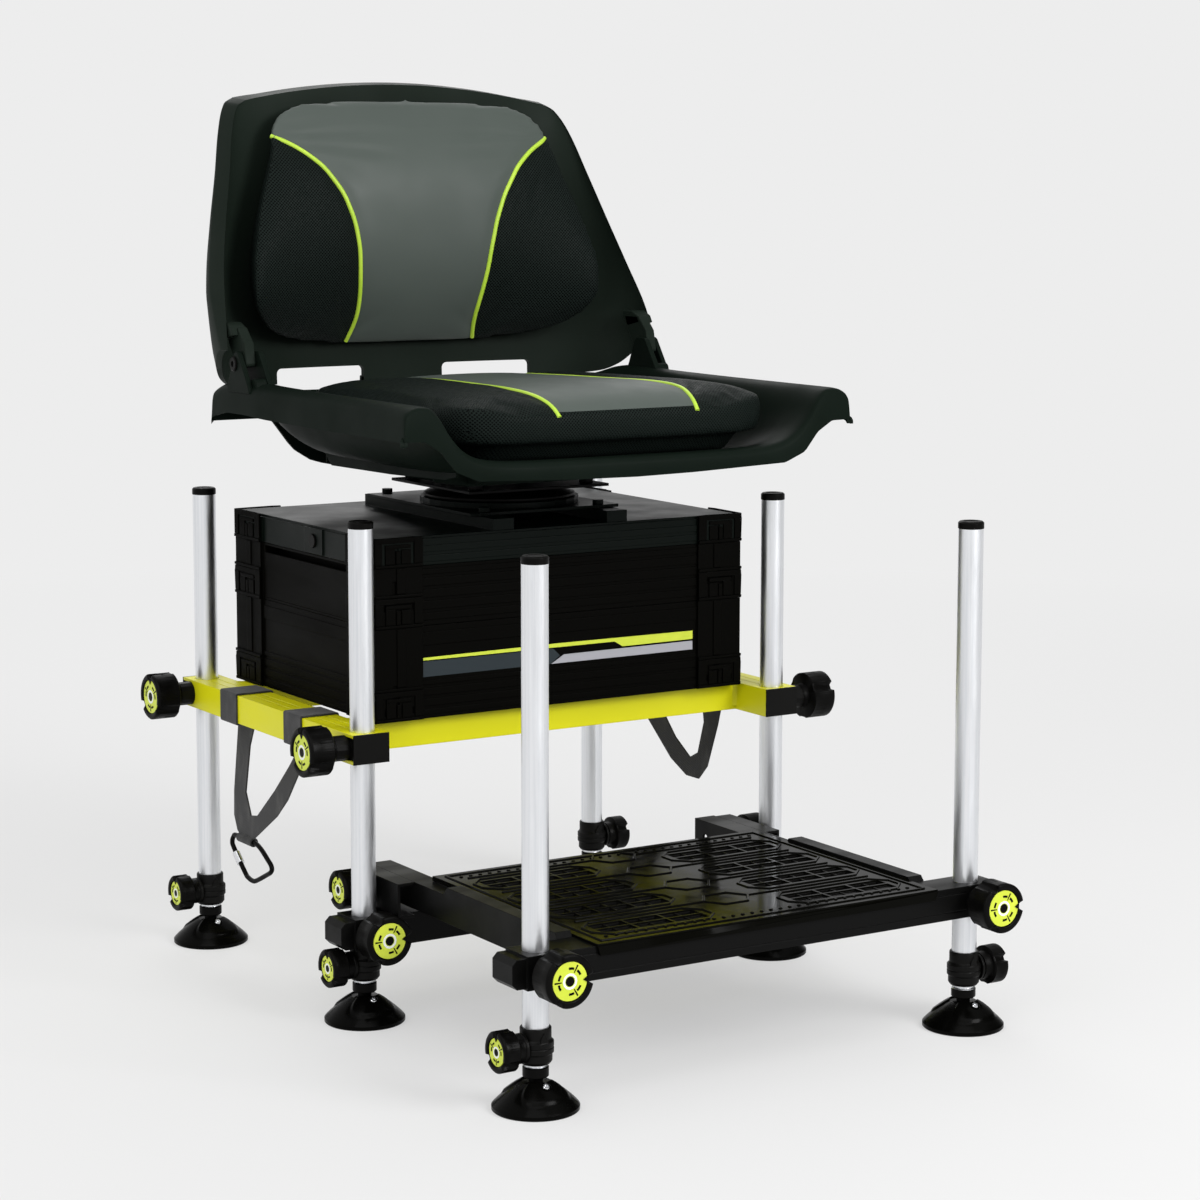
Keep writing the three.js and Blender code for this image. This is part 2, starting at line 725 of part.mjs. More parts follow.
function foot() {
  const disc = turned([
    [0, 0],
    [FOOT_RADIUS, 0],
    [FOOT_RADIUS, FOOT_RIM],
    [FOOT_SHOULDER_RADIUS, FOOT_SHOULDER],
    [FOOT_HUB_RADIUS, FOOT_HEIGHT],
    [0, FOOT_HEIGHT],
  ], FOOT_STEPS);
  const slotHalf = STEM_RADIUS + FIT;
  const slotBottom = FOOT_HEIGHT - FOOT_SLOT_DEPTH;
  const slot = block(
    [-FOOT_SLOT_LENGTH / 2, FOOT_SLOT_LENGTH / 2],
    [-slotHalf, slotHalf],
    [slotBottom, FOOT_HEIGHT + OVERRUN],
  );
  const pinSpan = [-FOOT_HUB_RADIUS + FIT, FOOT_HUB_RADIUS - FIT];
  const pin = rod([0, 0, FOOT_PIN_HEIGHT], FOOT_PIN_RADIUS, pinSpan, 'y', ROD_STEPS);
  return join([cut(disc, [slot]), pin]);
}

// Knobs turn about +X and are measured from the axis of the tube that they clamp.
function knob({ start, neckFrom, neck, neckRadius, radius, depth, notchWidth, notchDepth, face, steps }) {
  const rim = neckFrom + neck;
  const end = rim + depth;
  const recess = face ? [[face, end], [face, end - KNOB_FACE_DEPTH], [0, end - KNOB_FACE_DEPTH]] : [[0, end]];
  const neckProfile = [[0, neckFrom], [neckRadius, neckFrom], [neckRadius, rim]];
  const body = turned([...neckProfile, [radius, rim], [radius, end], ...recess], steps);
  body.rotateY(Math.PI / 2);
  const notch = block(
    [rim - OVERRUN, end + OVERRUN],
    [-notchWidth / 2, notchWidth / 2],
    [radius - notchDepth, radius + OVERRUN],
  );
  const notches = Array.from({ length: KNOB_NOTCHES }, (_, index) => (
    notch.clone().rotateX((index * 2 * Math.PI) / KNOB_NOTCHES)
  ));
  const screw = rod([0, 0, 0], ROD_RADIUS, [start, neckFrom + neck / 2], 'x', ROD_STEPS);
  return join([cut(body, notches), screw]);
}

const SCREW_START = TUBE_RADIUS + FIT;
const bigKnob = (neckFrom, neck) => knob({
  start: SCREW_START,
  neckFrom: neckFrom + FIT,
  neck,
  neckRadius: KNOB_NECK_RADIUS,
  radius: KNOB_RADIUS,
  depth: KNOB_DEPTH,
  notchWidth: KNOB_NOTCH_WIDTH,
  notchDepth: KNOB_NOTCH_DEPTH,
  face: KNOB_FACE_RADIUS,
  steps: KNOB_STEPS,
});
const collarKnob = () => knob({
  start: SCREW_START,
  neckFrom: COLLAR_BOSS_REACH + FIT,
  neck: COLLAR_KNOB_NECK,
  neckRadius: COLLAR_KNOB_NECK_RADIUS,
  radius: COLLAR_KNOB_RADIUS,
  depth: COLLAR_KNOB_DEPTH,
  notchWidth: COLLAR_KNOB_NOTCH_WIDTH,
  notchDepth: COLLAR_KNOB_NOTCH_DEPTH,
  face: 0,
  steps: SMALL_KNOB_STEPS,
});

// Frame under the box
const RAIL_TOP = RAIL_BOTTOM + RAIL_HEIGHT;
const RAIL_MID = RAIL_BOTTOM + RAIL_HEIGHT / 2;
const RAIL_INNER_X = LEG_X - RAIL_WIDTH / 2;
const RAIL_END_Y = BOX_LEG_Y + RAIL_WIDTH / 2;
const RAIL_METAL_END_Y = RAIL_END_Y - CLAMP_FLANGE - FIT;

function frameClamp(end) {
  const halfWidth = RAIL_WIDTH / 2 - RAIL_WALL - FIT;
  const z = [RAIL_BOTTOM + RAIL_WALL + FIT, RAIL_TOP - RAIL_WALL - FIT];
  const endY = RAIL_WIDTH / 2;
  const core = block([-halfWidth, halfWidth], [-end * CLAMP_INNER_REACH, end * endY], z);
  const flange = block(
    [-RAIL_WIDTH / 2, RAIL_WIDTH / 2],
    [end * (endY - CLAMP_FLANGE), end * endY],
    [RAIL_BOTTOM, RAIL_TOP],
  );
  const centre = [0, 0, RAIL_MID];
  const shank = rod(centre, CLAMP_SLOT_RADIUS, [0, CLAMP_BOSS_REACH], 'x', LEG_STEPS);
  const boss = rod(centre, CLAMP_BOSS_RADIUS, [RAIL_WIDTH / 2 + FIT, CLAMP_BOSS_REACH], 'x', LEG_STEPS);
  const bore = rod([0, 0, 0], BORE_RADIUS, [RAIL_BOTTOM, RAIL_TOP], 'z', LEG_STEPS);
  const screwHole = rod(centre, ROD_HOLE, [0, CLAMP_BOSS_REACH + OVERRUN], 'x', HOLE_STEPS);
  return cut(join([core, flange, shank, boss]), [bore, screwHole]);
}

function mainFrame() {
  const sides = [-1, 1];
  const metal = [];
  const voids = [];
  const zOuter = [RAIL_BOTTOM, RAIL_TOP];
  const zInner = [RAIL_BOTTOM + RAIL_WALL, RAIL_TOP - RAIL_WALL];
  sides.forEach((side) => {
    const centre = side * LEG_X;
    const half = RAIL_WIDTH / 2;
    metal.push(block([centre - half, centre + half], [-RAIL_METAL_END_Y, RAIL_METAL_END_Y], zOuter));
    const inner = half - RAIL_WALL;
    voids.push(block([centre - inner, centre + inner], [-RAIL_END_Y, RAIL_END_Y], zInner));
    [-RAIL_GROOVE_OFFSET, RAIL_GROOVE_OFFSET].forEach((offset) => {
      const x = centre + offset;
      const reach = [-RAIL_END_Y, RAIL_END_Y];
      voids.push(block([x, x + GROOVE_WIDTH], reach, [RAIL_TOP - GROOVE_DEPTH, RAIL_TOP + OVERRUN]));
    });
    sides.forEach((end) => {
      const y = end * BOX_LEG_Y;
      const hole = BORE_RADIUS + FIT;
      const slot = CLAMP_SLOT_RADIUS + FIT;
      const wall = [half - RAIL_WALL - OVERRUN, half + OVERRUN].map((reach) => centre + side * reach);
      voids.push(rod([centre, y, 0], hole, [RAIL_BOTTOM - OVERRUN, RAIL_TOP + OVERRUN], 'z', LEG_STEPS));
      voids.push(rod([0, y, RAIL_MID], slot, [Math.min(...wall), Math.max(...wall)], 'x', LEG_STEPS));
      voids.push(block(wall, [y, end * RAIL_END_Y], [RAIL_MID - slot, RAIL_MID + slot]));
    });
  });
  sides.forEach((end) => {
    const y = [CROSS_OUTER_Y - CROSS_WIDTH, CROSS_OUTER_Y].map((reach) => end * reach);
    const reach = RAIL_INNER_X + RAIL_WALL / 2;
    metal.push(block([-reach, reach], y, zOuter));
    const walls = [CROSS_OUTER_Y - CROSS_WIDTH + RAIL_WALL, CROSS_OUTER_Y - RAIL_WALL];
    const hollow = walls.map((place) => end * place);
    const into = RAIL_INNER_X + RAIL_WALL + OVERRUN;
    voids.push(block([-into, into], hollow, zInner));
    sides.forEach((side) => {
      const root = side * (RAIL_INNER_X + RAIL_WALL / 2);
      const toe = side * (RAIL_INNER_X - WELD_SIZE);
      y.forEach((face, index) => {
        const away = (index === 0 ? -end : end) * WELD_SIZE;
        const into = (index === 0 ? end : -end) * RAIL_WALL / 2;
        const outline = [[root, face + into], [toe, face + into], [toe, face], [root, face + away]];
        metal.push(prism(outline, [RAIL_BOTTOM + WELD_SIZE, RAIL_TOP], 'z'));
      });
    });
  });
  return cut(join(metal), voids);
}

// Footplate
const REAR_BAR_TOP = REAR_BAR_BOTTOM + BAR_HEIGHT;
const FRONT_BAR_TOP = FRONT_BAR_BOTTOM + BAR_HEIGHT;
const ARM_INNER_X = ARM_OUTER_X - ARM_WIDTH;
const ARM_TOP = ARM_BOTTOM + ARM_HEIGHT;

// A hollow bar across the two legs with a clamp in each end, its bosses towards -Y.
function clampBar(axisY, bottom, bossReach) {
  const y = [axisY - BAR_DEPTH / 2, axisY + BAR_DEPTH / 2];
  const top = bottom + BAR_HEIGHT;
  const middle = bottom + BAR_HEIGHT / 2;
  const end = BAR_HALF_LENGTH + BAR_PLUG;
  const bar = block([-BAR_HALF_LENGTH, BAR_HALF_LENGTH], y, [bottom, top]);
  const plugTop = top - BAR_PLUG_INSET;
  const plugBottom = bottom + BAR_PLUG_INSET;
  const plug = prism([
    [-end, plugBottom + BAR_PLUG_CHAMFER],
    [-end + BAR_PLUG_CHAMFER, plugBottom],
    [end - BAR_PLUG_CHAMFER, plugBottom],
    [end, plugBottom + BAR_PLUG_CHAMFER],
    [end, plugTop - BAR_PLUG_CHAMFER],
    [end - BAR_PLUG_CHAMFER, plugTop],
    [-end + BAR_PLUG_CHAMFER, plugTop],
    [-end, plugTop - BAR_PLUG_CHAMFER],
  ], [y[0] + BAR_PLUG_INSET, y[1] - BAR_PLUG_INSET], 'y');
  const metal = [bar, plug];
  const voids = [];
  const hollowEnd = LEG_X - TUBE_RADIUS + BAR_WALL / 2;
  voids.push(block(
    [-hollowEnd, hollowEnd],
    [y[0] + BAR_WALL, y[1] - BAR_WALL],
    [bottom + BAR_WALL, top - BAR_WALL],
  ));
  [-1, 1].forEach((side) => {
    const x = side * LEG_X;
    metal.push(rod([x, 0, middle], CLAMP_BOSS_RADIUS, [axisY - bossReach, axisY], 'y', LEG_STEPS));
    voids.push(rod([x, axisY, 0], BORE_RADIUS, [bottom - OVERRUN, top + OVERRUN], 'z', LEG_STEPS));
    voids.push(rod([x, 0, middle], ROD_HOLE, [axisY - bossReach - OVERRUN, axisY], 'y', HOLE_STEPS));
  });
  return { metal, voids };
}

function rearBar() {
  const { metal, voids } = clampBar(-BOX_LEG_Y, REAR_BAR_BOTTOM, REAR_BOSS_REACH);
  [-1, 1].forEach((side) => {
    const inner = side * (ARM_OUTER_X + FIT);
    const outer = side * (ARM_OUTER_X + FIT + BRACKET_WIDTH);
    const web = outer - side * BRACKET_WALL;
    const low = REAR_BAR_TOP - BAR_WALL / 2;
    const floor = REAR_BAR_TOP + BRACKET_WALL;
    const outline = [
      [inner, low],
      [web, low],
      [web, REAR_BAR_TOP],
      [outer, REAR_BAR_TOP + BRACKET_WALL],
      [outer, BRACKET_TOP],
      [inner, BRACKET_TOP],
      [inner, BRACKET_TOP - BRACKET_WALL],
      [web, BRACKET_TOP - BRACKET_WALL],
      [web, floor],
      [inner, floor],
    ];
    metal.push(prism(outline, [BRACKET_FRONT_Y, BRACKET_REAR_Y], 'y'));
    const hole = [web, outer].map((x) => x + Math.sign(x - (web + outer) / 2) * OVERRUN);
    voids.push(rod([0, PIVOT_Y, PIVOT_Z], ROD_HOLE, [Math.min(...hole), Math.max(...hole)], 'x', HOLE_STEPS));
  });
  // The bracket's floor hangs clear of the bar in front of it and behind it.
  const under = [REAR_BAR_TOP - BAR_WALL, REAR_BAR_TOP];
  const reach = [-BAR_HALF_LENGTH, BAR_HALF_LENGTH];
  const front = block(reach, [BRACKET_FRONT_Y - OVERRUN, -BOX_LEG_Y - BAR_DEPTH / 2], under);
  const rear = block(reach, [-BOX_LEG_Y + BAR_DEPTH / 2, BRACKET_REAR_Y + OVERRUN], under);
  const middle = REAR_BAR_BOTTOM + BAR_HEIGHT / 2;
  const bossSpan = [-BOX_LEG_Y - REAR_BOSS_REACH, -BOX_LEG_Y];
  const bosses = [-1, 1].map((side) => (
    rod([side * LEG_X, 0, middle], CLAMP_BOSS_RADIUS, bossSpan, 'y', LEG_STEPS)
  ));
  return cut(join([cut(join(metal), [front, rear]), ...bosses]), voids);
}

function footplateFrame() {
  const { metal, voids } = clampBar(-PLATE_LEG_Y, FRONT_BAR_BOTTOM, FRONT_BOSS_REACH);
  const barRear = -PLATE_LEG_Y + BAR_DEPTH / 2;
  [-1, 1].forEach((side) => {
    const x = [ARM_INNER_X, ARM_OUTER_X].map((place) => side * place);
    const hollow = [ARM_INNER_X + BAR_WALL, ARM_OUTER_X - BAR_WALL].map((place) => side * place);
    metal.push(block(x, [barRear - BAR_WALL / 2, ARM_END_Y], [ARM_BOTTOM, ARM_TOP]));
    const hollowZ = [ARM_BOTTOM + BAR_WALL, ARM_TOP - BAR_WALL];
    voids.push(block(hollow, [barRear + OVERRUN, ARM_END_Y + OVERRUN], hollowZ));
    const bore = [ARM_INNER_X - OVERRUN, ARM_OUTER_X + OVERRUN].map((place) => side * place);
    voids.push(rod([0, PIVOT_Y, PIVOT_Z], ROD_HOLE, [Math.min(...bore), Math.max(...bore)], 'x', HOLE_STEPS));
    const guard = [
      [GUARD_REAR_Y, ARM_TOP - BAR_WALL / 2],
      [GUARD_REAR_Y - GUARD_SLOPE, ARM_TOP + GUARD_HEIGHT],
      [GUARD_FRONT_Y + GUARD_SLOPE, ARM_TOP + GUARD_HEIGHT],
      [GUARD_FRONT_Y, ARM_TOP - BAR_WALL / 2],
    ];
    const guardX = [ARM_OUTER_X - GUARD_WIDTH, ARM_OUTER_X].map((place) => side * place);
    metal.push(prism(guard, [Math.min(...guardX), Math.max(...guardX)], 'x'));
  });
  const frontFace = -PLATE_LEG_Y - BAR_DEPTH / 2;
  const grooveReach = LEG_X - CLAMP_BOSS_RADIUS - OVERRUN;
  [-1, 1].forEach((offset) => {
    const z = FRONT_BAR_BOTTOM + BAR_HEIGHT / 2 + offset * FRONT_GROOVE_SPACING;
    voids.push(block(
      [-grooveReach, grooveReach],
      [frontFace - OVERRUN, frontFace + GROOVE_DEPTH],
      [z, z + GROOVE_WIDTH],
    ));
  });
  return cut(join(metal), voids);
}

function treadPlate() {
  const frontFace = -PLATE_LEG_Y - BAR_DEPTH / 2 - FIT;
  const frontY = frontFace - TREAD_WALL;
  const underside = FRONT_BAR_TOP + FIT;
  const slots = [];
  const slotWidth = (SLOT_GROUP_WIDTH - (SLOTS_ACROSS - 1) * SLOT_RIB) / SLOTS_ACROSS;
  const slotDepth = (SLOT_GROUP_DEPTH - (SLOTS_ALONG - 1) * SLOT_RIB) / SLOTS_ALONG;
  [-1, 1].forEach((side) => {
    for (let row = 0; row < SLOT_ROWS; row += 1) {
      for (let across = 0; across < SLOTS_ACROSS; across += 1) {
        for (let along = 0; along < SLOTS_ALONG; along += 1) {
          const x = side * SLOT_GROUP_X - SLOT_GROUP_WIDTH / 2 + across * (slotWidth + SLOT_RIB);
          const y = SLOT_FIRST_Y - row * SLOT_PITCH - along * (slotDepth + SLOT_RIB);
          const z = [underside - OVERRUN, TREAD_TOP + OVERRUN];
          slots.push(block([x, x + slotWidth], [y - slotDepth, y], z));
        }
      }
    }
  });
  const edge = TREAD_HALF_WIDTH;
  const panel = cut(block([-edge, edge], [frontY, TREAD_REAR_Y], [underside, TREAD_TOP]), slots);
  const lip = prism([
    [-edge, underside + OVERRUN],
    [edge, underside + OVERRUN],
    [edge - TREAD_WALL, TREAD_TOP - TREAD_LIP],
    [-edge + TREAD_WALL, TREAD_TOP - TREAD_LIP],
  ], [frontY, frontFace], 'y');
  const skirts = [-1, 1].map((side) => block(
    [side * (edge - TREAD_WALL), side * edge],
    [-PLATE_LEG_Y + BAR_DEPTH / 2 + OVERRUN, TREAD_REAR_Y],
    [ARM_TOP + FIT, underside + OVERRUN],
  ));
  return join([panel, lip, ...skirts]);
}

// Box
function tierOutline(inset = 0) {
  const outerX = BOX_HALF_WIDTH - inset;
  const outerY = BOX_HALF_DEPTH - inset;
  const wallX = outerX - POST_PROUD;
  const wallY = outerY - POST_PROUD;
  const postX = BOX_HALF_WIDTH - FRONT_POST;
  const postY = BOX_HALF_DEPTH - SIDE_POST;
  const corner = [[wallX, postY], [outerX, postY], [outerX, outerY], [postX, outerY], [postX, wallY]];
  const turnedBack = [...corner].reverse();
  return [
    ...corner,
    ...turnedBack.map(([x, y]) => [-x, y]),
    ...corner.map(([x, y]) => [-x, -y]),
    ...turnedBack.map(([x, y]) => [x, -y]),
  ];
}

const WALL_X = BOX_HALF_WIDTH - POST_PROUD;
const WALL_Y = BOX_HALF_DEPTH - POST_PROUD;
const HOLLOW_X = WALL_X - BOX_WALL;
const HOLLOW_Y = WALL_Y - BOX_WALL;

// L-shaped clip reliefs on the front and back faces of the corner posts.
function clipReliefs(height) {
  const low = height - CLIP_HEIGHT / 2;
  const reliefs = [];
  [-1, 1].forEach((side) => {
    [-1, 1].forEach((end) => {
      const middle = side * (BOX_HALF_WIDTH - FRONT_POST / 2);
      const left = middle - CLIP_WIDTH / 2;
      const outline = [
        [left, low],
        [left + CLIP_WIDTH, low],
        [left + CLIP_WIDTH, low + CLIP_BAND],
        [left + CLIP_WIDTH / 2, low + CLIP_BAND],
        [left + CLIP_WIDTH / 2, low + CLIP_HEIGHT],
        [left + CLIP_WIDTH / 2 - CLIP_BAND, low + CLIP_HEIGHT],
        [left + CLIP_WIDTH / 2 - CLIP_BAND, low + CLIP_BAND],
        [left, low + CLIP_BAND],
      ];
      const faceY = [BOX_HALF_DEPTH - CLIP_DEPTH, BOX_HALF_DEPTH + OVERRUN].map((place) => end * place);
      reliefs.push(prism(outline, [Math.min(...faceY), Math.max(...faceY)], 'y'));
    });
  });
  return reliefs;
}

// Long shallow grooves across the recessed walls between the posts.
function panelGrooves(heights, sides = [-1, 1]) {
  const postX = BOX_HALF_WIDTH - FRONT_POST;
  const postY = BOX_HALF_DEPTH - SIDE_POST;
  const grooves = [];
  heights.forEach((height) => {
    const z = [height, height + PANEL_GROOVE];
    [-1, 1].forEach((end) => {
      grooves.push(block([-postX, postX], [end * (WALL_Y - GROOVE_DEPTH), end * (WALL_Y + OVERRUN)], z));
    });
    sides.forEach((side) => {
      grooves.push(block([side * (WALL_X - GROOVE_DEPTH), side * (WALL_X + OVERRUN)], [-postY, postY], z));
    });
  });
  return grooves;
}

function baseTray() {
  const height = BASE_TOP - BASE_BOTTOM;
  const body = prism(tierOutline(), [BASE_BOTTOM, BASE_TOP], 'z');
  const hollow = block(
    [-HOLLOW_X, HOLLOW_X],
    [-HOLLOW_Y, HOLLOW_Y],
    [BASE_BOTTOM + BOX_FLOOR, BASE_TOP + OVERRUN],
  );
  const grooves = panelGrooves(TRAY_GROOVE_SHARES.map((share) => BASE_BOTTOM + share * height));
  return cut(body, [
    hollow,
    ...grooves,
    ...clipReliefs(BASE_BOTTOM + CLIP_HEIGHT / 2 + CLIP_BAND),
  ]);
}

const CASE_BOTTOM = BASE_TOP + TIER_GAP;
const LID_BOTTOM = CASE_TOP + TIER_GAP;
const HINGE_X = BOX_HALF_WIDTH + HINGE_REACH;
const HINGE_Z = (CASE_TOP + LID_BOTTOM) / 2;

function drawerCase() {
  const body = prism(tierOutline(), [CASE_BOTTOM, CASE_TOP], 'z');
  const z = [CASE_BOTTOM + BOX_FLOOR, CASE_TOP - BOX_FLOOR];
  const hollow = block([-HOLLOW_X, HOLLOW_X], [-HOLLOW_Y, HOLLOW_Y], z);
  const mouth = block(
    [-BOX_HALF_WIDTH - OVERRUN, -HOLLOW_X + OVERRUN],
    [-DRAWER_FRONT_HALF - FIT, DRAWER_FRONT_HALF + FIT],
    z,
  );
  const runners = [-1, 1].map((side) => block(
    [-HOLLOW_X + OVERRUN, HOLLOW_X - RUNNER_REAR_GAP],
    [side * (DRAWER_HALF + FIT), side * (DRAWER_HALF + FIT + DRAWER_WALL)],
    [CASE_BOTTOM + BOX_FLOOR / 2, CASE_BOTTOM + BOX_FLOOR + RUNNER_HEIGHT],
  ));
  const shell = cut(body, [
    hollow,
    mouth,
    ...panelGrooves([CASE_BOTTOM + BOX_FLOOR + RUNNER_HEIGHT], [1]),
    ...clipReliefs(CASE_TOP - CLIP_HEIGHT / 2 - CLIP_BAND * 2),
  ]);
  return join([shell, ...runners, ...hingeHalf(-1)]);
}

// Knuckles on the right side: side 1 is the lid's half, -1 the case's half with the pin.
function hingeHalf(side) {
  const pieces = [];
  [-1, 1].forEach((end) => {
    const middle = end * HINGE_Y;
    const spans = side > 0
      ? [[middle - HINGE_LENGTH / 2, middle + HINGE_LENGTH / 2]]
      : [
        [middle - HINGE_LENGTH, middle - HINGE_LENGTH / 2 - FIT],
        [middle + HINGE_LENGTH / 2 + FIT, middle + HINGE_LENGTH],
      ];
    spans.forEach((span) => {
      const knuckle = rod([HINGE_X, 0, HINGE_Z], HINGE_RADIUS, span, 'y', HOLE_STEPS);
      const near = HINGE_Z + side * HINGE_PIN;
      const leaf = block([WALL_X - OVERRUN, HINGE_X], span, [near, near + side * HINGE_LEAF]);
      pieces.push(join([knuckle, leaf]));
    });
    const reach = [middle - HINGE_LENGTH, middle + HINGE_LENGTH];
    if (side < 0) pieces.push(rod([HINGE_X, 0, HINGE_Z], HINGE_PIN, reach, 'y', ROD_STEPS));
  });
  return pieces;
}

function sideDrawer() {
  const bottom = CASE_BOTTOM + BOX_FLOOR + FIT;
  const top = CASE_TOP - BOX_FLOOR - FIT;
  const head = [-WALL_X, -WALL_X + DRAWER_HEAD];
  const front = block(
    [head[0], head[0] + DRAWER_PANEL],
    [-DRAWER_FRONT_HALF, DRAWER_FRONT_HALF],
    [bottom, top],
  );
  const pullBlock = block(head, [-DRAWER_HALF, DRAWER_HALF], [top - PULL_FLOOR - DRAWER_PANEL, top]);
  const tray = block(
    [head[0] + DRAWER_PANEL / 2, DRAWER_REAR_X],
    [-DRAWER_HALF, DRAWER_HALF],
    [bottom, bottom + DRAWER_TRAY_HEIGHT],
  );
  const inside = block(
    [head[0] + DRAWER_HEAD + DRAWER_WALL, DRAWER_REAR_X - DRAWER_WALL],
    [-DRAWER_HALF + DRAWER_WALL, DRAWER_HALF - DRAWER_WALL],
    [bottom + DRAWER_WALL, top + OVERRUN],
  );
  const grip = block(
    [head[0] + PULL_LIP, head[0] + PULL_LIP + PULL_DEPTH],
    [-DRAWER_HALF + DRAWER_WALL, DRAWER_HALF - DRAWER_WALL],
    [top - PULL_FLOOR, top + OVERRUN],
  );
  const window = block(
    [head[0] - OVERRUN, head[0] + PULL_LIP + OVERRUN],
    [-DRAWER_HALF + DRAWER_WALL, DRAWER_HALF - DRAWER_WALL],
    [top - PULL_WINDOW, top + OVERRUN],
  );
  return cut(join([front, pullBlock, tray]), [inside, grip, window]);
}

function lid() {
  const roof = LID_TOP - BOX_WALL;
  const body = prism(tierOutline(), [LID_BOTTOM, LID_TOP - RIM_STEP / 2], 'z');
  const step = RIM_STEP;
  const top = block(
    [-BOX_HALF_WIDTH + step, BOX_HALF_WIDTH - step],
    [-BOX_HALF_DEPTH + step, BOX_HALF_DEPTH - step],
    [LID_BOTTOM + OVERRUN, LID_TOP],
  );
  const latchZ = [LATCH_Z - LATCH_PLATE_HEIGHT / 2, LATCH_Z + LATCH_PLATE_HEIGHT / 2];
  const latchPlate = block(
    [-WALL_X - POST_PROUD / 2, -WALL_X + OVERRUN],
    [LATCH_Y - LATCH_PLATE / 2, LATCH_Y + LATCH_PLATE / 2],
    latchZ,
  );
  const hollow = block([-HOLLOW_X, HOLLOW_X], [-HOLLOW_Y, HOLLOW_Y], [LID_BOTTOM - OVERRUN, roof]);
  const buttonHole = rod(
    [0, LATCH_Y, LATCH_Z],
    LATCH_RADIUS + FIT * 2,
    [-BOX_HALF_WIDTH - OVERRUN, -HOLLOW_X + OVERRUN],
    'x',
    LEG_STEPS,
  );
  const railTop = LID_TOP + SWIVEL_RAIL_HEIGHT;
  const plateTop = railTop + SWIVEL_BASE_WALL;
  const rails = [-1, 1].map((side) => block(
    [side * SWIVEL_RAIL_INNER, side * (SWIVEL_RAIL_INNER + SWIVEL_RAIL_WIDTH)],
    [SWIVEL_RAIL_FRONT_Y, SWIVEL_RAIL_REAR_Y],
    [LID_TOP - OVERRUN, railTop],
  ));
  const plate = block(
    [-SWIVEL_BASE_HALF_WIDTH, SWIVEL_BASE_HALF_WIDTH],
    [SWIVEL_BASE_FRONT_Y, SWIVEL_BASE_REAR_Y],
    [railTop - FIT, plateTop],
  );
  const centre = [0, SWIVEL_Y, 0];
  const raceSpan = [plateTop - FIT, plateTop + SWIVEL_RACE_HEIGHT];
  const race = rod(centre, SWIVEL_RACE_RADIUS, raceSpan, 'z', SWIVEL_STEPS);
  const raceBore = rod(
    centre,
    SWIVEL_PIN_RADIUS + FIT,
    [railTop - OVERRUN, plateTop + SWIVEL_RACE_HEIGHT + OVERRUN],
    'z',
    LEG_STEPS,
  );
  const bolts = [-SWIVEL_BOLT_X, SWIVEL_BOLT_X].flatMap((x) => (
    [SWIVEL_BOLT_FRONT_Y, SWIVEL_BOLT_REAR_Y].map((y) => (
      rod([x, y, 0], SWIVEL_BOLT_RADIUS, [plateTop - FIT, plateTop + SWIVEL_BOLT_HEIGHT], 'z', ROD_STEPS)
    ))
  ));
  const knuckleBores = [-1, 1].map((end) => rod(
    [HINGE_X, 0, HINGE_Z],
    HINGE_PIN + FIT,
    [end * HINGE_Y - HINGE_LENGTH, end * HINGE_Y + HINGE_LENGTH],
    'y',
    HOLE_STEPS,
  ));
  const shell = cut(join([body, top, latchPlate]), [
    hollow,
    buttonHole,
    ...clipReliefs(LID_BOTTOM + CLIP_HEIGHT / 2 - CLIP_BAND),
  ]);
  const hinges = cut(join(hingeHalf(1)), knuckleBores);
  return cut(join([shell, hinges, ...rails, plate, race, ...bolts]), [raceBore]);
}

function lidLatch() {
  const face = -WALL_X - POST_PROUD / 2 - LATCH_FLANGE;
  const button = rod([0, LATCH_Y, LATCH_Z], LATCH_RADIUS, [face, face + LATCH_STEM], 'x', LEG_STEPS);
  const flangeFrom = -HOLLOW_X + FIT;
  const flange = rod(
    [0, LATCH_Y, LATCH_Z],
    LATCH_RADIUS + LATCH_FLANGE,
    [flangeFrom, flangeFrom + LATCH_FLANGE],
    'x',
    LEG_STEPS,
  );
  return join([button, flange]);
}

// Seat shell
function seatPoint([depthShare, armShare, floorShare], side, [acrossShare, upShare, skirtShare]) {
  const armTop = PAN_FLOOR + armShare * PAN_RISE;
  const floor = PAN_FLOOR + floorShare * PAN_RISE;
  const z = floor + upShare * (armTop - floor) - skirtShare * SKIRT_DEPTH;
  return new THREE.Vector3(side * acrossShare * SEAT_HALF_WIDTH, SEAT_FRONT_Y + depthShare * SEAT_DEPTH, z);
}

function panHeight(x, y) {
  const depthShare = (y - SEAT_FRONT_Y) / SEAT_DEPTH;
  const armTop = tableAt(SEAT_ROW_SHARES, depthShare, 1) * PAN_RISE;
  const floor = tableAt(SEAT_ROW_SHARES, depthShare, 2) * PAN_RISE;
  const up = tableAt(SEAT_COLUMN_SHARES, Math.abs(x) / SEAT_HALF_WIDTH, 1);
  return PAN_FLOOR + floor + up * (armTop - floor);
}

// The grid's points moved along the surface's own normal by the wall.
function thickened(grid, wall) {
  const rows = grid.length;
  const columns = grid[0].length;
  return grid.map((line, row) => line.map((point, column) => {
    const along = grid[Math.min(row + 1, rows - 1)][column].clone().sub(grid[Math.max(row - 1, 0)][column]);
    const across = line[Math.min(column + 1, columns - 1)].clone().sub(line[Math.max(column - 1, 0)]);
    return point.clone().addScaledVector(across.cross(along).normalize(), -wall);
  }));
}

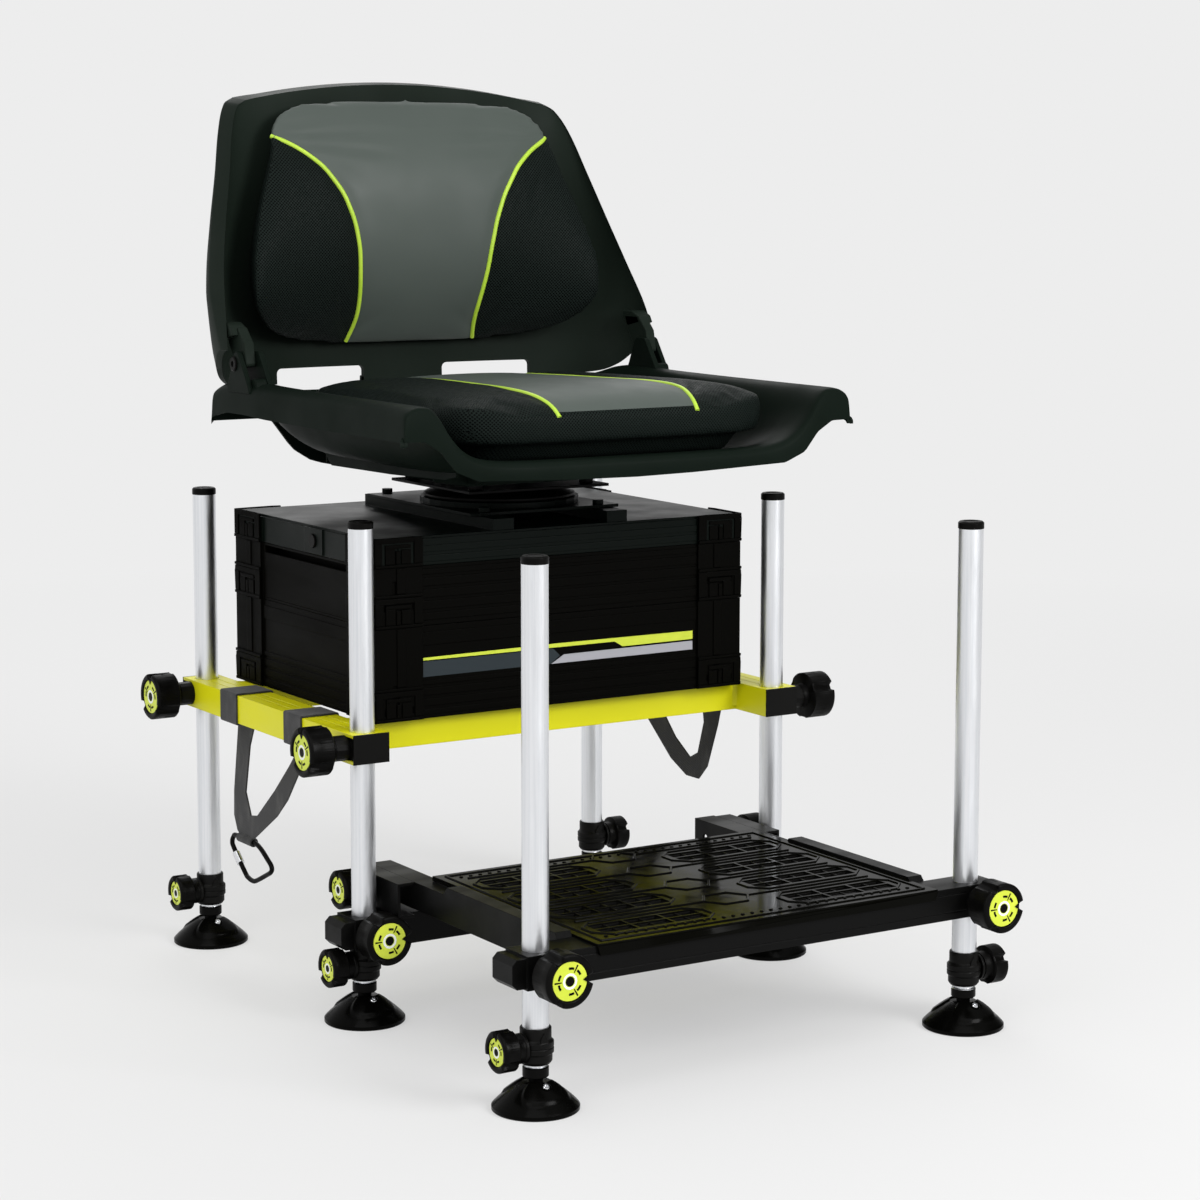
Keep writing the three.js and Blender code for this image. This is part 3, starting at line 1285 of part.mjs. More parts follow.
function cheek(inner, outer) {
  const base = PAN_FLOOR + PAN_RISE - FIT;
  const outline = [
    [CHEEK_BASE_FRONT_Y, base],
    [CHEEK_HEAD_FRONT_Y, CHEEK_TOP],
    [CHEEK_HEAD_REAR_Y, CHEEK_TOP],
    [CHEEK_BASE_REAR_Y, base],
    [CHEEK_BASE_REAR_Y, base - SEAT_WALL / 2],
    [CHEEK_BASE_FRONT_Y, base - SEAT_WALL / 2],
  ];
  return prism(outline, [Math.min(inner, outer), Math.max(inner, outer)], 'x');
}

function seatShell() {
  const columns = mirrored(SEAT_COLUMN_SHARES);
  const top = SEAT_ROW_SHARES.map((row) => columns.map(([side, column]) => seatPoint(row, side, column)));
  const pan = skin(top, thickened(top, SEAT_WALL));
  const rim = SEAT_COLUMN_SHARES.slice(0, -2).map((column) => {
    const point = seatPoint(SEAT_ROW_SHARES[0], 1, column);
    return [point.x, point.z - SEAT_FACE_INSET * 2];
  });
  const rimEnd = seatPoint(SEAT_ROW_SHARES[0], 1, SEAT_COLUMN_SHARES[SEAT_COLUMN_SHARES.length - 2]);
  rim.push([rimEnd.x - SEAT_FACE_INSET, rimEnd.z]);
  const lower = SEAT_FACE_SHARES.map(([across, up]) => [across * SEAT_HALF_WIDTH, PAN_FLOOR + up * PAN_RISE]);
  const half = [...rim, ...lower];
  const outline = [...half, ...half.slice(1).reverse().map(([x, z]) => [-x, z])];
  const faceFrom = SEAT_FRONT_Y + SEAT_FACE_INSET;
  const face = prism(outline, [faceFrom, faceFrom + SEAT_FACE_WALL], 'y');
  const hardware = [-1, 1].flatMap((side) => {
    const outer = side * CHEEK_OUTER_X;
    const outerInner = outer - side * CHEEK_WALL;
    const innerOuter = outerInner - side * CHEEK_GAP;
    const innerInner = innerOuter - side * CHEEK_WALL;
    const pinSpan = [innerInner, outer + side * BACK_SCREW_HEAD];
    const headSpan = [outer - side * OVERRUN, outer + side * BACK_SCREW_HEAD];
    const place = [0, BACK_PIVOT_Y, BACK_PIVOT_Z];
    return [
      cheek(outerInner, outer),
      cheek(innerInner, innerOuter),
      rod(place, BACK_PIN_RADIUS, [Math.min(...pinSpan), Math.max(...pinSpan)], 'x', ROD_STEPS),
      rod(place, BACK_SCREW_RADIUS, [Math.min(...headSpan), Math.max(...headSpan)], 'x', HOLE_STEPS),
    ];
  });
  return join([pan, face, ...hardware, ...swivelHead()]);
}

const RACE_TOP = LID_TOP + SWIVEL_RAIL_HEIGHT + SWIVEL_BASE_WALL + SWIVEL_RACE_HEIGHT;

function swivelHead() {
  const bottom = RACE_TOP + SWIVEL_GAP;
  const dishTop = bottom + SWIVEL_DISH_HEIGHT;
  const dish = turned([
    [0, bottom],
    [SWIVEL_DISH_RADIUS, bottom],
    [SWIVEL_DISH_RADIUS, bottom + SWIVEL_DISH_RIM],
    [SWIVEL_DISH_NECK_RADIUS, dishTop],
    [0, dishTop],
  ], SWIVEL_STEPS).translate(0, SWIVEL_Y, 0);
  const pinSpan = [RACE_TOP - SWIVEL_RACE_HEIGHT, bottom + FIT];
  const pin = rod([0, SWIVEL_Y, 0], SWIVEL_PIN_RADIUS, pinSpan, 'z', LEG_STEPS);
  const plate = block(
    [-SEAT_PLATE_HALF, SEAT_PLATE_HALF],
    [SWIVEL_Y - SEAT_PLATE_HALF, SWIVEL_Y + SEAT_PLATE_HALF],
    [dishTop - FIT, dishTop + SEAT_PLATE_WALL],
  );
  const studs = [-SEAT_STUD_OFFSET, SEAT_STUD_OFFSET].flatMap((x) => (
    [-SEAT_STUD_OFFSET, SEAT_STUD_OFFSET].map((y) => (
      rod([x, SWIVEL_Y + y, 0], SEAT_STUD_RADIUS, [dishTop, PAN_FLOOR - SEAT_WALL / 2], 'z', ROD_STEPS)
    ))
  ));
  return [dish, pin, plate, ...studs];
}

// Backrest
function backEdge(heightShare) {
  return {
    halfWidth: tableAt(BACK_EDGE_SHARES, heightShare, 1) * BACK_HALF_WIDTH,
    wrap: tableAt(BACK_EDGE_SHARES, heightShare, 2) * BACK_WRAP,
  };
}

function backFace(x, z) {
  const heightShare = (z - BACK_BOTTOM) / BACK_HEIGHT;
  const { halfWidth, wrap } = backEdge(heightShare);
  const across = Math.min(Math.abs(x) / halfWidth, 1);
  const middle = BACK_FACE_Y + BACK_LEAN * heightShare;
  return middle - wrap * (1 - Math.sqrt(1 - across ** 4));
}

function backPoints([rowShare, crownShare, rowRimShare], side, [acrossShare, columnRimShare, liftShare]) {
  const heightShare = Math.max(rowShare, 0) + liftShare * (1 - rowShare) ** 4;
  const { halfWidth, wrap } = backEdge(heightShare);
  const x = side * acrossShare * halfWidth;
  const crown = crownShare * BACK_CROWN * (1 - acrossShare ** 2);
  const z = BACK_BOTTOM + heightShare * BACK_HEIGHT + crown;
  const y = BACK_FACE_Y + BACK_LEAN * heightShare - wrap * (1 - Math.sqrt(1 - acrossShare ** 4));
  const rimShare = Math.max(rowRimShare, columnRimShare);
  const front = new THREE.Vector3(x, y, z);
  const flareZ = rowShare > 0.5 ? rowRimShare * BACK_TOP_FLARE : 0;
  const back = new THREE.Vector3(
    x + side * columnRimShare * BACK_FLARE,
    y + BACK_WALL + rimShare * BACK_RIM,
    z + flareZ,
  );
  return { front, back };
}

function backrestShell() {
  const columns = mirrored(BACK_COLUMN_SHARES);
  const grid = BACK_ROW_SHARES.map((row) => columns.map(([side, column]) => backPoints(row, side, column)));
  const fronts = grid.map((line) => line.map(({ front }) => front));
  const backs = grid.map((line) => line.map(({ back }) => back));
  const panel = skin(fronts, backs);
  const depth = [BACK_FACE_Y - BACK_WRAP / 2, BACK_FACE_Y + BACK_WRAP / 2];
  const slots = [-1, 1].map((side) => block(
    [side * BACK_TAB_HALF, side * BACK_SLOT_OUTER_X],
    depth,
    [BACK_BOTTOM - OVERRUN, BACK_SLOT_TOP],
  ));
  // The middle tab hangs down behind the seat.
  const tab = block(
    [-BACK_TAB_HALF, BACK_TAB_HALF],
    [BACK_FACE_Y + FIT, BACK_FACE_Y + BACK_WALL + BACK_RIM / 2],
    [BACK_BOTTOM - BACK_TAB_DROP, BACK_BOTTOM + BACK_WALL],
  );
  const tongues = [-1, 1].map((side) => {
    const outer = CHEEK_OUTER_X - CHEEK_WALL - FIT;
    const inner = outer - CHEEK_GAP + 2 * FIT;
    const span = [side * inner, side * outer];
    const rootSpan = [side * inner, side * (BACK_HALF_WIDTH + FIT)];
    const pivot = [0, BACK_PIVOT_Y, BACK_PIVOT_Z];
    const barrel = rod(pivot, TONGUE_RADIUS, [Math.min(...span), Math.max(...span)], 'x', LEG_STEPS);
    const top = BACK_PIVOT_Z + TONGUE_RISE;
    const root = top - TONGUE_ROOT;
    const rear = BACK_PIVOT_Y + TONGUE_BACK;
    const stalk = prism([
      [BACK_PIVOT_Y - TONGUE_RADIUS, BACK_PIVOT_Z],
      [BACK_PIVOT_Y + TONGUE_RADIUS, BACK_PIVOT_Z],
      [rear + TONGUE_RADIUS, root],
      [rear + TONGUE_RADIUS, top],
      [rear, top],
    ], [Math.min(...span), Math.max(...span)], 'x');
    const flare = prism([
      [rear, root],
      [rear + TONGUE_ROOT, root],
      [rear + TONGUE_ROOT, top],
      [rear, top],
    ], [Math.min(...rootSpan), Math.max(...rootSpan)], 'x');
    return join([barrel, stalk, flare]);
  });
  const bores = [-1, 1].map((side) => {
    const reach = [side * (BACK_HALF_WIDTH - 2 * CHEEK_GAP), side * CHEEK_OUTER_X];
    const pivot = [0, BACK_PIVOT_Y, BACK_PIVOT_Z];
    const bore = [Math.min(...reach), Math.max(...reach)];
    return rod(pivot, BACK_PIN_RADIUS + FIT, bore, 'x', HOLE_STEPS);
  });
  return cut(join([cut(panel, slots), tab, ...tongues]), bores);
}

// Cushions: crowned faces that draw in to a seam, on a back that follows the shell
const CUSHION_SPOKES = 32;
const FACE_RING_SHARES = [0.35, 0.62, 0.82, 0.94, 0.985];
const UNDER_RING_SHARES = [0.96, 0.9, 0.78, 0.55, 0.3];

function seatCushion() {
  const centreY = (SEAT_CUSHION_FRONT_Y + SEAT_CUSHION_REAR_Y) / 2;
  const halfDepth = (SEAT_CUSHION_REAR_Y - SEAT_CUSHION_FRONT_Y) / 2;
  const seam = Array.from({ length: CUSHION_SPOKES }, (_, spoke) => {
    const angle = ((spoke + 0.5) / CUSHION_SPOKES) * 2 * Math.PI;
    const x = Math.sign(Math.cos(angle)) * Math.abs(Math.cos(angle)) ** CUSHION_CORNER_SHARE;
    const y = Math.sign(Math.sin(angle)) * Math.abs(Math.sin(angle)) ** CUSHION_CORNER_SHARE;
    return [x * SEAT_CUSHION_HALF_WIDTH, y * halfDepth];
  });
  const place = (share, heightAt) => seam.map(([x, y]) => (
    new THREE.Vector3(x * share, centreY + y * share, heightAt(x * share, centreY + y * share, share))
  ));
  const upper = (x, y, share) => SEAT_CUSHION_TOP + SEAT_CUSHION_CROWN * Math.sqrt(1 - share ** 6);
  const under = (x, y) => Math.min(panHeight(x, y) + CUSHION_GAP, SEAT_CUSHION_SEAM);
  const loops = [
    ...FACE_RING_SHARES.map((share) => place(share, upper)),
    place(1, () => SEAT_CUSHION_SEAM),
    ...UNDER_RING_SHARES.map((share) => place(share, under)),
  ];
  const first = new THREE.Vector3(0, centreY, upper(0, centreY, 0));
  const last = new THREE.Vector3(0, centreY, under(0, centreY));
  return rings(first, loops, last);
}

function backCushion() {
  const seamHalf = BACK_SEAM_SHARES.map(([across, up, sweep]) => [
    across * BACK_CUSHION_HALF_WIDTH,
    BACK_CUSHION_SEAM_Y + sweep * BACK_CUSHION_SWEEP,
    BACK_CUSHION_BOTTOM + up * BACK_CUSHION_HEIGHT,
  ]);
  const seam = [...seamHalf, ...seamHalf.slice(1, -1).reverse().map(([x, y, z]) => [-x, y, z])];
  const middleAt = (z) => {
    const share = (z - BACK_CUSHION_BOTTOM) / BACK_CUSHION_HEIGHT;
    return BACK_CUSHION_SEAM_Y + tableAt(BACK_MIDDLE_SHARES, share, 1) * BACK_CUSHION_SWEEP;
  };
  const place = (share, depthAt) => seam.map(([x, y, z]) => {
    const here = BACK_CUSHION_CENTRE + (z - BACK_CUSHION_CENTRE) * share;
    return new THREE.Vector3(x * share, depthAt(x * share, here, y, share), here);
  });
  const face = (x, z, seamY, share) => {
    const crown = BACK_CUSHION_BULGE * Math.sqrt(1 - share ** 6);
    return (middleAt(z) + BACK_CUSHION_BULGE) * (1 - share ** 3) + seamY * share ** 3 - crown;
  };
  const back = (x, z) => backFace(x, z) - BACK_CUSHION_GAP;
  const loops = [
    ...FACE_RING_SHARES.map((share) => place(share, face)),
    place(1, (x, z, seamY) => seamY),
    ...UNDER_RING_SHARES.map((share) => place(share, back)),
  ];
  const first = new THREE.Vector3(0, face(0, BACK_CUSHION_CENTRE, 0, 0), BACK_CUSHION_CENTRE);
  const last = new THREE.Vector3(0, back(0, BACK_CUSHION_CENTRE), BACK_CUSHION_CENTRE);
  return rings(first, loops, last);
}

// Straps and carabiner
function strap(side, shares) {
  const x = side * LEG_X;
  const half = RAIL_WIDTH / 2 + FIT;
  const bands = [STRAP_REAR_Y, STRAP_FRONT_Y].map((middle) => {
    const y = [middle - STRAP_WIDTH / 2, middle + STRAP_WIDTH / 2];
    const outer = block(
      [x - half - STRAP_WALL, x + half + STRAP_WALL],
      y,
      [RAIL_BOTTOM - FIT - STRAP_WALL, RAIL_TOP + FIT + STRAP_WALL],
    );
    const inner = block(
      [x - half, x + half],
      [y[0] - OVERRUN, y[1] + OVERRUN],
      [RAIL_BOTTOM - FIT, RAIL_TOP + FIT],
    );
    return cut(outer, [inner]);
  });
  const outline = shares.map(([along, down]) => [along * STRAP_REACH, STRAP_HANG_TOP - down * STRAP_DROP]);
  const hang = prism(outline, [x - STRAP_WALL / 2, x + STRAP_WALL / 2], 'x');
  return join([...bands, hang]);
}

function leftStrap() {
  const x = -LEG_X;
  const eye = WIRE_RADIUS + WIRE_CLEARANCE;
  const reach = [STRAP_EYE_FRONT_Y, STRAP_EYE_REAR_Y];
  const roll = rod([x, 0, STRAP_EYE_Z], eye + STRAP_WALL, reach, 'y', HOLE_STEPS);
  const bore = rod([x, 0, STRAP_EYE_Z], eye, [reach[0] - OVERRUN, reach[1] + OVERRUN], 'y', HOLE_STEPS);
  return cut(join([strap(-1, LEFT_STRAP_SHARES), roll]), [bore]);
}

function carabiner() {
  const points = CARABINER_SHARES.map(([along, down]) => new THREE.Vector3(
    -LEG_X,
    CARABINER_FRONT_Y + along * CARABINER_LENGTH,
    STRAP_EYE_Z - down * CARABINER_DROP,
  ));
  const loops = points.map((point, index) => {
    const before = points[(index + points.length - 1) % points.length];
    const after = points[(index + 1) % points.length];
    const along = after.clone().sub(before).normalize();
    const outward = new THREE.Vector3(0, along.z, -along.y);
    return Array.from({ length: ROD_STEPS }, (_, step) => {
      const angle = (step / ROD_STEPS) * 2 * Math.PI;
      const spread = outward.clone().multiplyScalar(Math.cos(angle) * WIRE_RADIUS);
      return point.clone().add(spread).add(new THREE.Vector3(Math.sin(angle) * WIRE_RADIUS, 0, 0));
    });
  });
  const positions = loops.flat().flatMap((point) => point.toArray());
  const faces = [];
  loops.forEach((_, loop) => {
    const next = (loop + 1) % loops.length;
    for (let step = 0; step < ROD_STEPS; step += 1) {
      const beside = (step + 1) % ROD_STEPS;
      const [a, b] = [loop * ROD_STEPS + step, loop * ROD_STEPS + beside];
      const [c, d] = [next * ROD_STEPS + beside, next * ROD_STEPS + step];
      faces.push(a, b, c, a, c, d);
    }
  });
  return indexed(positions, faces);
}

// Assembly
const object = new THREE.Group();

const sideName = (side) => (side < 0 ? 'left' : 'right');
const legPlaces = [-1, 1].flatMap((side) => [
  { side, y: BOX_LEG_Y, top: BOX_LEG_TOP, name: `rear_${sideName(side)}`, end: side },
  { side, y: -BOX_LEG_Y, top: BOX_LEG_TOP, name: `front_${sideName(side)}`, end: -side },
  { side, y: -PLATE_LEG_Y, top: PLATE_LEG_TOP, name: `footplate_${sideName(side)}`, end: 0 },
]);

const collarShape = legCollar();
const collarKnobShape = collarKnob();
const innerShape = innerLeg();
const footShape = foot();
const frameKnobShape = bigKnob(CLAMP_BOSS_REACH, CLAMP_NECK);

legPlaces.forEach(({ side, y, top, name, end }) => {
  const leg = new THREE.Group();
  leg.position.set(side * LEG_X, y, 0);
  leg.rotation.z = side < 0 ? Math.PI : 0;
  const knobMesh = meshOf(`collar_knob_${name}`, collarKnobShape, blackPlastic);
  knobMesh.position.z = COLLAR_KNOB_HEIGHT;
  leg.add(
    meshOf(`leg_tube_${name}`, legTube(top), bareAlloy),
    meshOf(`leg_collar_${name}`, collarShape, blackPlastic),
    knobMesh,
    meshOf(`inner_leg_${name}`, innerShape, bareAlloy),
    meshOf(`foot_${name}`, footShape, blackPlastic),
  );
  if (end !== 0) {
    const frameKnob = meshOf(`frame_knob_${name}`, frameKnobShape, blackPlastic);
    frameKnob.position.z = RAIL_MID;
    leg.add(meshOf(`frame_clamp_${name}`, frameClamp(end), blackPlastic), frameKnob);
  }
  object.add(leg);
});

const footplate = new THREE.Group();
footplate.add(
  meshOf('rear_bar', rearBar(), blackAlloy),
  meshOf('footplate_frame', footplateFrame(), blackAlloy),
  meshOf('tread_plate', treadPlate(), glossPlastic),
);
const rearKnobShape = bigKnob(REAR_BOSS_REACH, REAR_BAR_NECK);
const frontKnobShape = bigKnob(FRONT_BOSS_REACH, FRONT_BAR_NECK);
const pivotKnobShape = knob({
  start: ARM_INNER_X - TREAD_WALL,
  neckFrom: ARM_OUTER_X + FIT + BRACKET_WIDTH + FIT,
  neck: PIVOT_NECK,
  neckRadius: PIVOT_NECK_RADIUS,
  radius: PIVOT_KNOB_RADIUS,
  depth: PIVOT_KNOB_DEPTH,
  notchWidth: COLLAR_KNOB_NOTCH_WIDTH,
  notchDepth: COLLAR_KNOB_NOTCH_DEPTH,
  face: 0,
  steps: SMALL_KNOB_STEPS,
});
[-1, 1].forEach((side) => {
  const rearKnob = meshOf(`rear_bar_knob_${sideName(side)}`, rearKnobShape, blackPlastic);
  rearKnob.position.set(side * LEG_X, -BOX_LEG_Y, REAR_BAR_BOTTOM + BAR_HEIGHT / 2);
  rearKnob.rotation.z = -Math.PI / 2;
  const frontKnob = meshOf(`front_bar_knob_${sideName(side)}`, frontKnobShape, blackPlastic);
  frontKnob.position.set(side * LEG_X, -PLATE_LEG_Y, FRONT_BAR_BOTTOM + BAR_HEIGHT / 2);
  frontKnob.rotation.z = -Math.PI / 2;
  const pivotKnob = meshOf(`pivot_knob_${sideName(side)}`, pivotKnobShape, blackPlastic);
  pivotKnob.position.set(0, PIVOT_Y, PIVOT_Z);
  pivotKnob.rotation.z = side < 0 ? Math.PI : 0;
  footplate.add(rearKnob, frontKnob, pivotKnob);
});
object.add(footplate);

const box = new THREE.Group();
box.add(
  meshOf('main_frame', mainFrame(), lime),
  meshOf('base_tray', baseTray(), blackPlastic),
  meshOf('drawer_case', drawerCase(), blackPlastic),
  meshOf('side_drawer', sideDrawer(), blackPlastic),
  meshOf('lid', lid(), blackPlastic),
  meshOf('lid_latch', lidLatch(), blackPlastic),
  meshOf('left_strap', leftStrap(), webbing),
  meshOf('right_strap', strap(1, RIGHT_STRAP_SHARES), webbing),
  meshOf('carabiner', carabiner(), wire),
);
object.add(box);

const seat = new THREE.Group();
seat.add(
  meshOf('seat_shell', seatShell(), shellPlastic),
  meshOf('seat_cushion', seatCushion(), vinyl),
  meshOf('backrest_shell', backrestShell(), shellPlastic),
  meshOf('backrest_cushion', backCushion(), vinyl),
);
object.add(seat);

export default object;
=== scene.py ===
"""Looks for the fishing seat box: materials, finer moulded shapes, simulated cushions, light and camera.

Sizes are millimetres in the part's own frame and become metres where a mesh is made.
"""
import json
import math

import bmesh
import bpy
from mathutils import Matrix, Vector
from mathutils.bvhtree import BVHTree


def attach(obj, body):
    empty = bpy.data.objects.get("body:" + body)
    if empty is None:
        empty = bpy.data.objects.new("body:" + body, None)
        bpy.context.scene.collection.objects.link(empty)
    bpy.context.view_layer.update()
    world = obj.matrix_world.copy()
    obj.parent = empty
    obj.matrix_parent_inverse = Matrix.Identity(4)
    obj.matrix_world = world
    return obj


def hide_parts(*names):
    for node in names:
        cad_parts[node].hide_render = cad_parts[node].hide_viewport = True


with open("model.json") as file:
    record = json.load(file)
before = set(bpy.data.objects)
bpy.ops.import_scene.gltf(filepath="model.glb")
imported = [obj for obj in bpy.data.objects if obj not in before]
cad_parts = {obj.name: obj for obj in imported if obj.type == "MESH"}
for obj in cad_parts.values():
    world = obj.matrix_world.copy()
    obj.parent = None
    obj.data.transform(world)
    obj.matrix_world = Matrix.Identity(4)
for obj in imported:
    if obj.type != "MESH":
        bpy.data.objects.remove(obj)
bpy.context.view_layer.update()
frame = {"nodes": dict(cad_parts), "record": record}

MM = 0.001
SIDES = ((-1, "left"), (1, "right"))
SIDE_AXES = {-1: "-x", 1: "x"}

# Camera fitted to the photograph
CAMERA_PLACE = (-1609.65, -2796.94, 857.18)
CAMERA_YAW = 32.302
CAMERA_PITCH = 7.251
CAMERA_ROLL = 0.080
CAMERA_LENS = 89.229
CAMERA_SHIFT_X = -0.0077953
CAMERA_SHIFT_Y = -0.0438882

# Facets, and the small hole down the middle of every turned piece
ROUND_STEPS = 48
SMALL_STEPS = 24
RIM_STEPS = 144
CORE = 0.5

# Legs
LEG_X = 251
BOX_LEG_Y = 185
PLATE_LEG_Y = 522.5
LEG_TOPS = {"rear": 510, "front": 510, "footplate": 513}
LEG_YS = {"rear": BOX_LEG_Y, "front": -BOX_LEG_Y, "footplate": -PLATE_LEG_Y}
TUBE_BOTTOM = 48.3
TUBE_RADIUS = 12.5
TUBE_BORE = 10.8
CAP_RADIUS = 12.95
CAP_HEIGHT = 7.5
CAP_BEVEL = 1.6

# Seat shell and backrest shell, as in the part's source
SEAT_HALF_WIDTH = 265
SEAT_FRONT_Y = -303
SEAT_DEPTH = 434
PAN_FLOOR = 553
PAN_RISE = 78
SKIRT_DEPTH = 34
SEAT_WALL = 4
BACK_HALF_WIDTH = 268.8
BACK_BOTTOM = 620
BACK_HEIGHT = 311.6
BACK_CROWN = 19.4
BACK_WRAP = 111
BACK_FACE_Y = 188
BACK_LEAN = 12
BACK_WALL = 5
BACK_RIM = 15
BACK_FLARE = 7
BACK_TOP_FLARE = 3
BACK_TAB_HALF = 50
BACK_SLOT_OUTER_X = 163
BACK_SLOT_TOP = 637
BACK_TAB_DROP = 16
SLOT_CORNER = 6
BACK_LOW_RIM = 0.35
BACK_LOW_REACH = 0.3

SEAT_ROW_SHARES = [
    (0, 0.955, 0.165),
    (0.008, 0.99, 0.225),
    (0.028, 1, 0.245),
    (0.071, 1, 0.215),
    (0.145, 1, 0.12),
    (0.237, 1, 0.035),
    (0.42, 1, 0),
    (0.698, 1.01, 0),
    (0.813, 1.03, 0.03),
    (0.896, 1.03, 0.16),
    (0.952, 1, 0.42),
    (0.984, 0.955, 0.7),
    (1, 0.92, 0.815),
]
SEAT_COLUMN_SHARES = [
    (0, 0, 0),
    (0.25, 0, 0),
    (0.51, 0.013, 0),
    (0.66, 0.076, 0),
    (0.743, 0.24, 0),
    (0.804, 0.52, 0),
    (0.849, 0.82, 0),
    (0.887, 0.975, 0),
    (0.932, 1, 0),
    (0.97, 1, 0.09),
    (0.993, 1, 0.3),
    (1, 1, 0.9),
    (1, 1, 1),
]
# Lower edge of the wall that closes the seat's rear, as shares of the half width and the rise
SEAT_REAR_SHARES = [
    (0, -0.28),
    (0.47, -0.26),
    (0.56, -0.17),
    (0.64, 0),
    (0.74, 0.44),
    (0.8, 0.45),
    (1, 0.45),
]
SEAT_FACE_SHARES = [
    (0, -0.026),
    (0.264, -0.013),
    (0.69, 0.038),
    (0.783, 0.167),
    (0.845, 0.423),
    (0.913, 0.564),
    (1, 0.57),
]
BACK_EDGE_SHARES = [
    (0, 1, 1.1),
    (0.128, 1, 1),
    (0.257, 0.986, 0.9),
    (0.417, 0.949, 0.69),
    (0.578, 0.9, 0.515),
    (0.738, 0.848, 0.36),
    (0.899, 0.796, 0.19),
    (0.979, 0.748, 0.08),
    (1, 0.701, 0.04),
]
BACK_ROW_SHARES = [
    (0, 0, 0.5),
    (0.02, 0, 0.45),
    (0.055, 0, 0.3),
    (0.1, 0, 0.1),
    (0.16, 0, 0),
    (0.257, 0, 0),
    (0.37, 0, 0),
    (0.48, 0, 0),
    (0.59, 0, 0),
    (0.7, 0, 0),
    (0.81, 0.25, 0),
    (0.9, 0.66, 0.15),
    (0.955, 0.85, 0.6),
    (0.985, 0.95, 0.97),
    (1, 1, 1),
]
BACK_COLUMN_SHARES = [
    (0, 0, 0),
    (0.12, 0, 0),
    (0.19, 0, 0),
    (0.4, 0, 0),
    (0.6, 0, 0),
    (0.7, 0, 0),
    (0.8, 0, 0.003),
    (0.88, 0.12, 0.013),
    (0.925, 0.55, 0.033),
    (0.955, 0.8, 0.06),
    (0.985, 0.96, 0.105),
    (0.997, 1, 0.137),
    (1, 1, 0.148),
]

# Cushions
SEAT_CUSHION_HALF_WIDTH = 195
SEAT_CUSHION_FRONT_Y = -290
SEAT_CUSHION_REAR_Y = 84
SEAT_CUSHION_SEAM = 615
SEAT_CUSHION_RISE = 24.5
SEAT_CUSHION_FOOT = 587
SEAT_CUSHION_FRONT_SEAM = 618
SEAT_CUSHION_GAP = 2.2
BACK_CUSHION_HALF_WIDTH = 220
BACK_CUSHION_BOTTOM = 661
BACK_CUSHION_HEIGHT = 275
BACK_CUSHION_SEAM_Y = 114
BACK_CUSHION_SWEEP = 66
BACK_CUSHION_CENTRE = 800
BACK_CUSHION_BULGE = 8
BACK_CUSHION_GAP = 3
CUSHION_SPOKES = 64
VOXEL = 4
SMOOTH_TURNS = 6
PUFF_FRAMES = 20
CLOTH_SETTINGS = {
    "quality": 5,
    "mass": 0.3,
    "tension_stiffness": 18,
    "compression_stiffness": 18,
    "bending_stiffness": 1.5,
    "use_pressure": True,
    "uniform_pressure_force": 4,
}
SEAT_PUFF_CAP = 2.5
BACK_PUFF_CAP = 5
PIPING_RADIUS = 2.6
PIPING_SINK = 0.2
PIPING_STEP = 6
SEAM_VALLEY = 2.2
SEAM_REACH = 9

FACE_RING_SHARES = [0.2, 0.4, 0.56, 0.7, 0.8, 0.87, 0.92, 0.955, 0.98, 0.993]
UNDER_RING_SHARES = [0.9, 0.84, 0.75, 0.5, 0.25]
# The seat cushion's side: shares of the outline and of the drop from its seam to its foot
SEAT_SIDE_SHARES = [(1, 0), (1, 0.48), (0.985, 0.88), (0.965, 1), (0.9, 1)]
BACK_SEAM_SHARES = [
    (0, 0, 0.95),
    (0.3, 0.002, 0.93),
    (0.6, 0.015, 0.8),
    (0.79, 0.045, 0.55),
    (0.9, 0.09, 0.33),
    (0.97, 0.15, 0.12),
    (1, 0.22, 0),
    (1, 0.32, 0.03),
    (0.957, 0.463, 0.21),
    (0.915, 0.574, 0.36),
    (0.86, 0.685, 0.49),
    (0.815, 0.796, 0.6),
    (0.79, 0.87, 0.79),
    (0.74, 0.93, 0.88),
    (0.6, 0.975, 0.95),
    (0.35, 0.994, 0.98),
    (0, 1, 1),
]
BACK_MIDDLE_SHARES = [
    (0, 0.85),
    (0.09, 0.5),
    (0.17, 0.37),
    (0.28, 0.3),
    (0.39, 0.25),
    (0.5, 0.22),
    (0.61, 0.22),
    (0.72, 0.27),
    (0.8, 0.36),
    (0.9, 0.6),
    (1, 0.95),
]
# Piping on the back cushion: height and half distance between the two lines, as shares.
BACK_PIPING_SHARES = [
    (0, 0.375),
    (0.03, 0.365),
    (0.07, 0.352),
    (0.12, 0.345),
    (0.2, 0.352),
    (0.288, 0.366),
    (0.396, 0.38),
    (0.506, 0.409),
    (0.615, 0.463),
    (0.723, 0.559),
    (0.792, 0.668),
    (0.833, 0.772),
    (0.856, 0.83),
    (0.864, 0.9),
]
# Piping on the seat cushion: place along the depth and half distance between the two lines, as shares.
SEAT_PIPING_SHARES = [
    (0, 0.42),
    (0.05, 0.438),
    (0.12, 0.466),
    (0.2, 0.475),
    (0.3, 0.46),
    (0.5, 0.41),
    (0.7, 0.37),
    (0.824, 0.362),
    (0.9, 0.4),
    (0.95, 0.46),
    (1, 0.54),
]
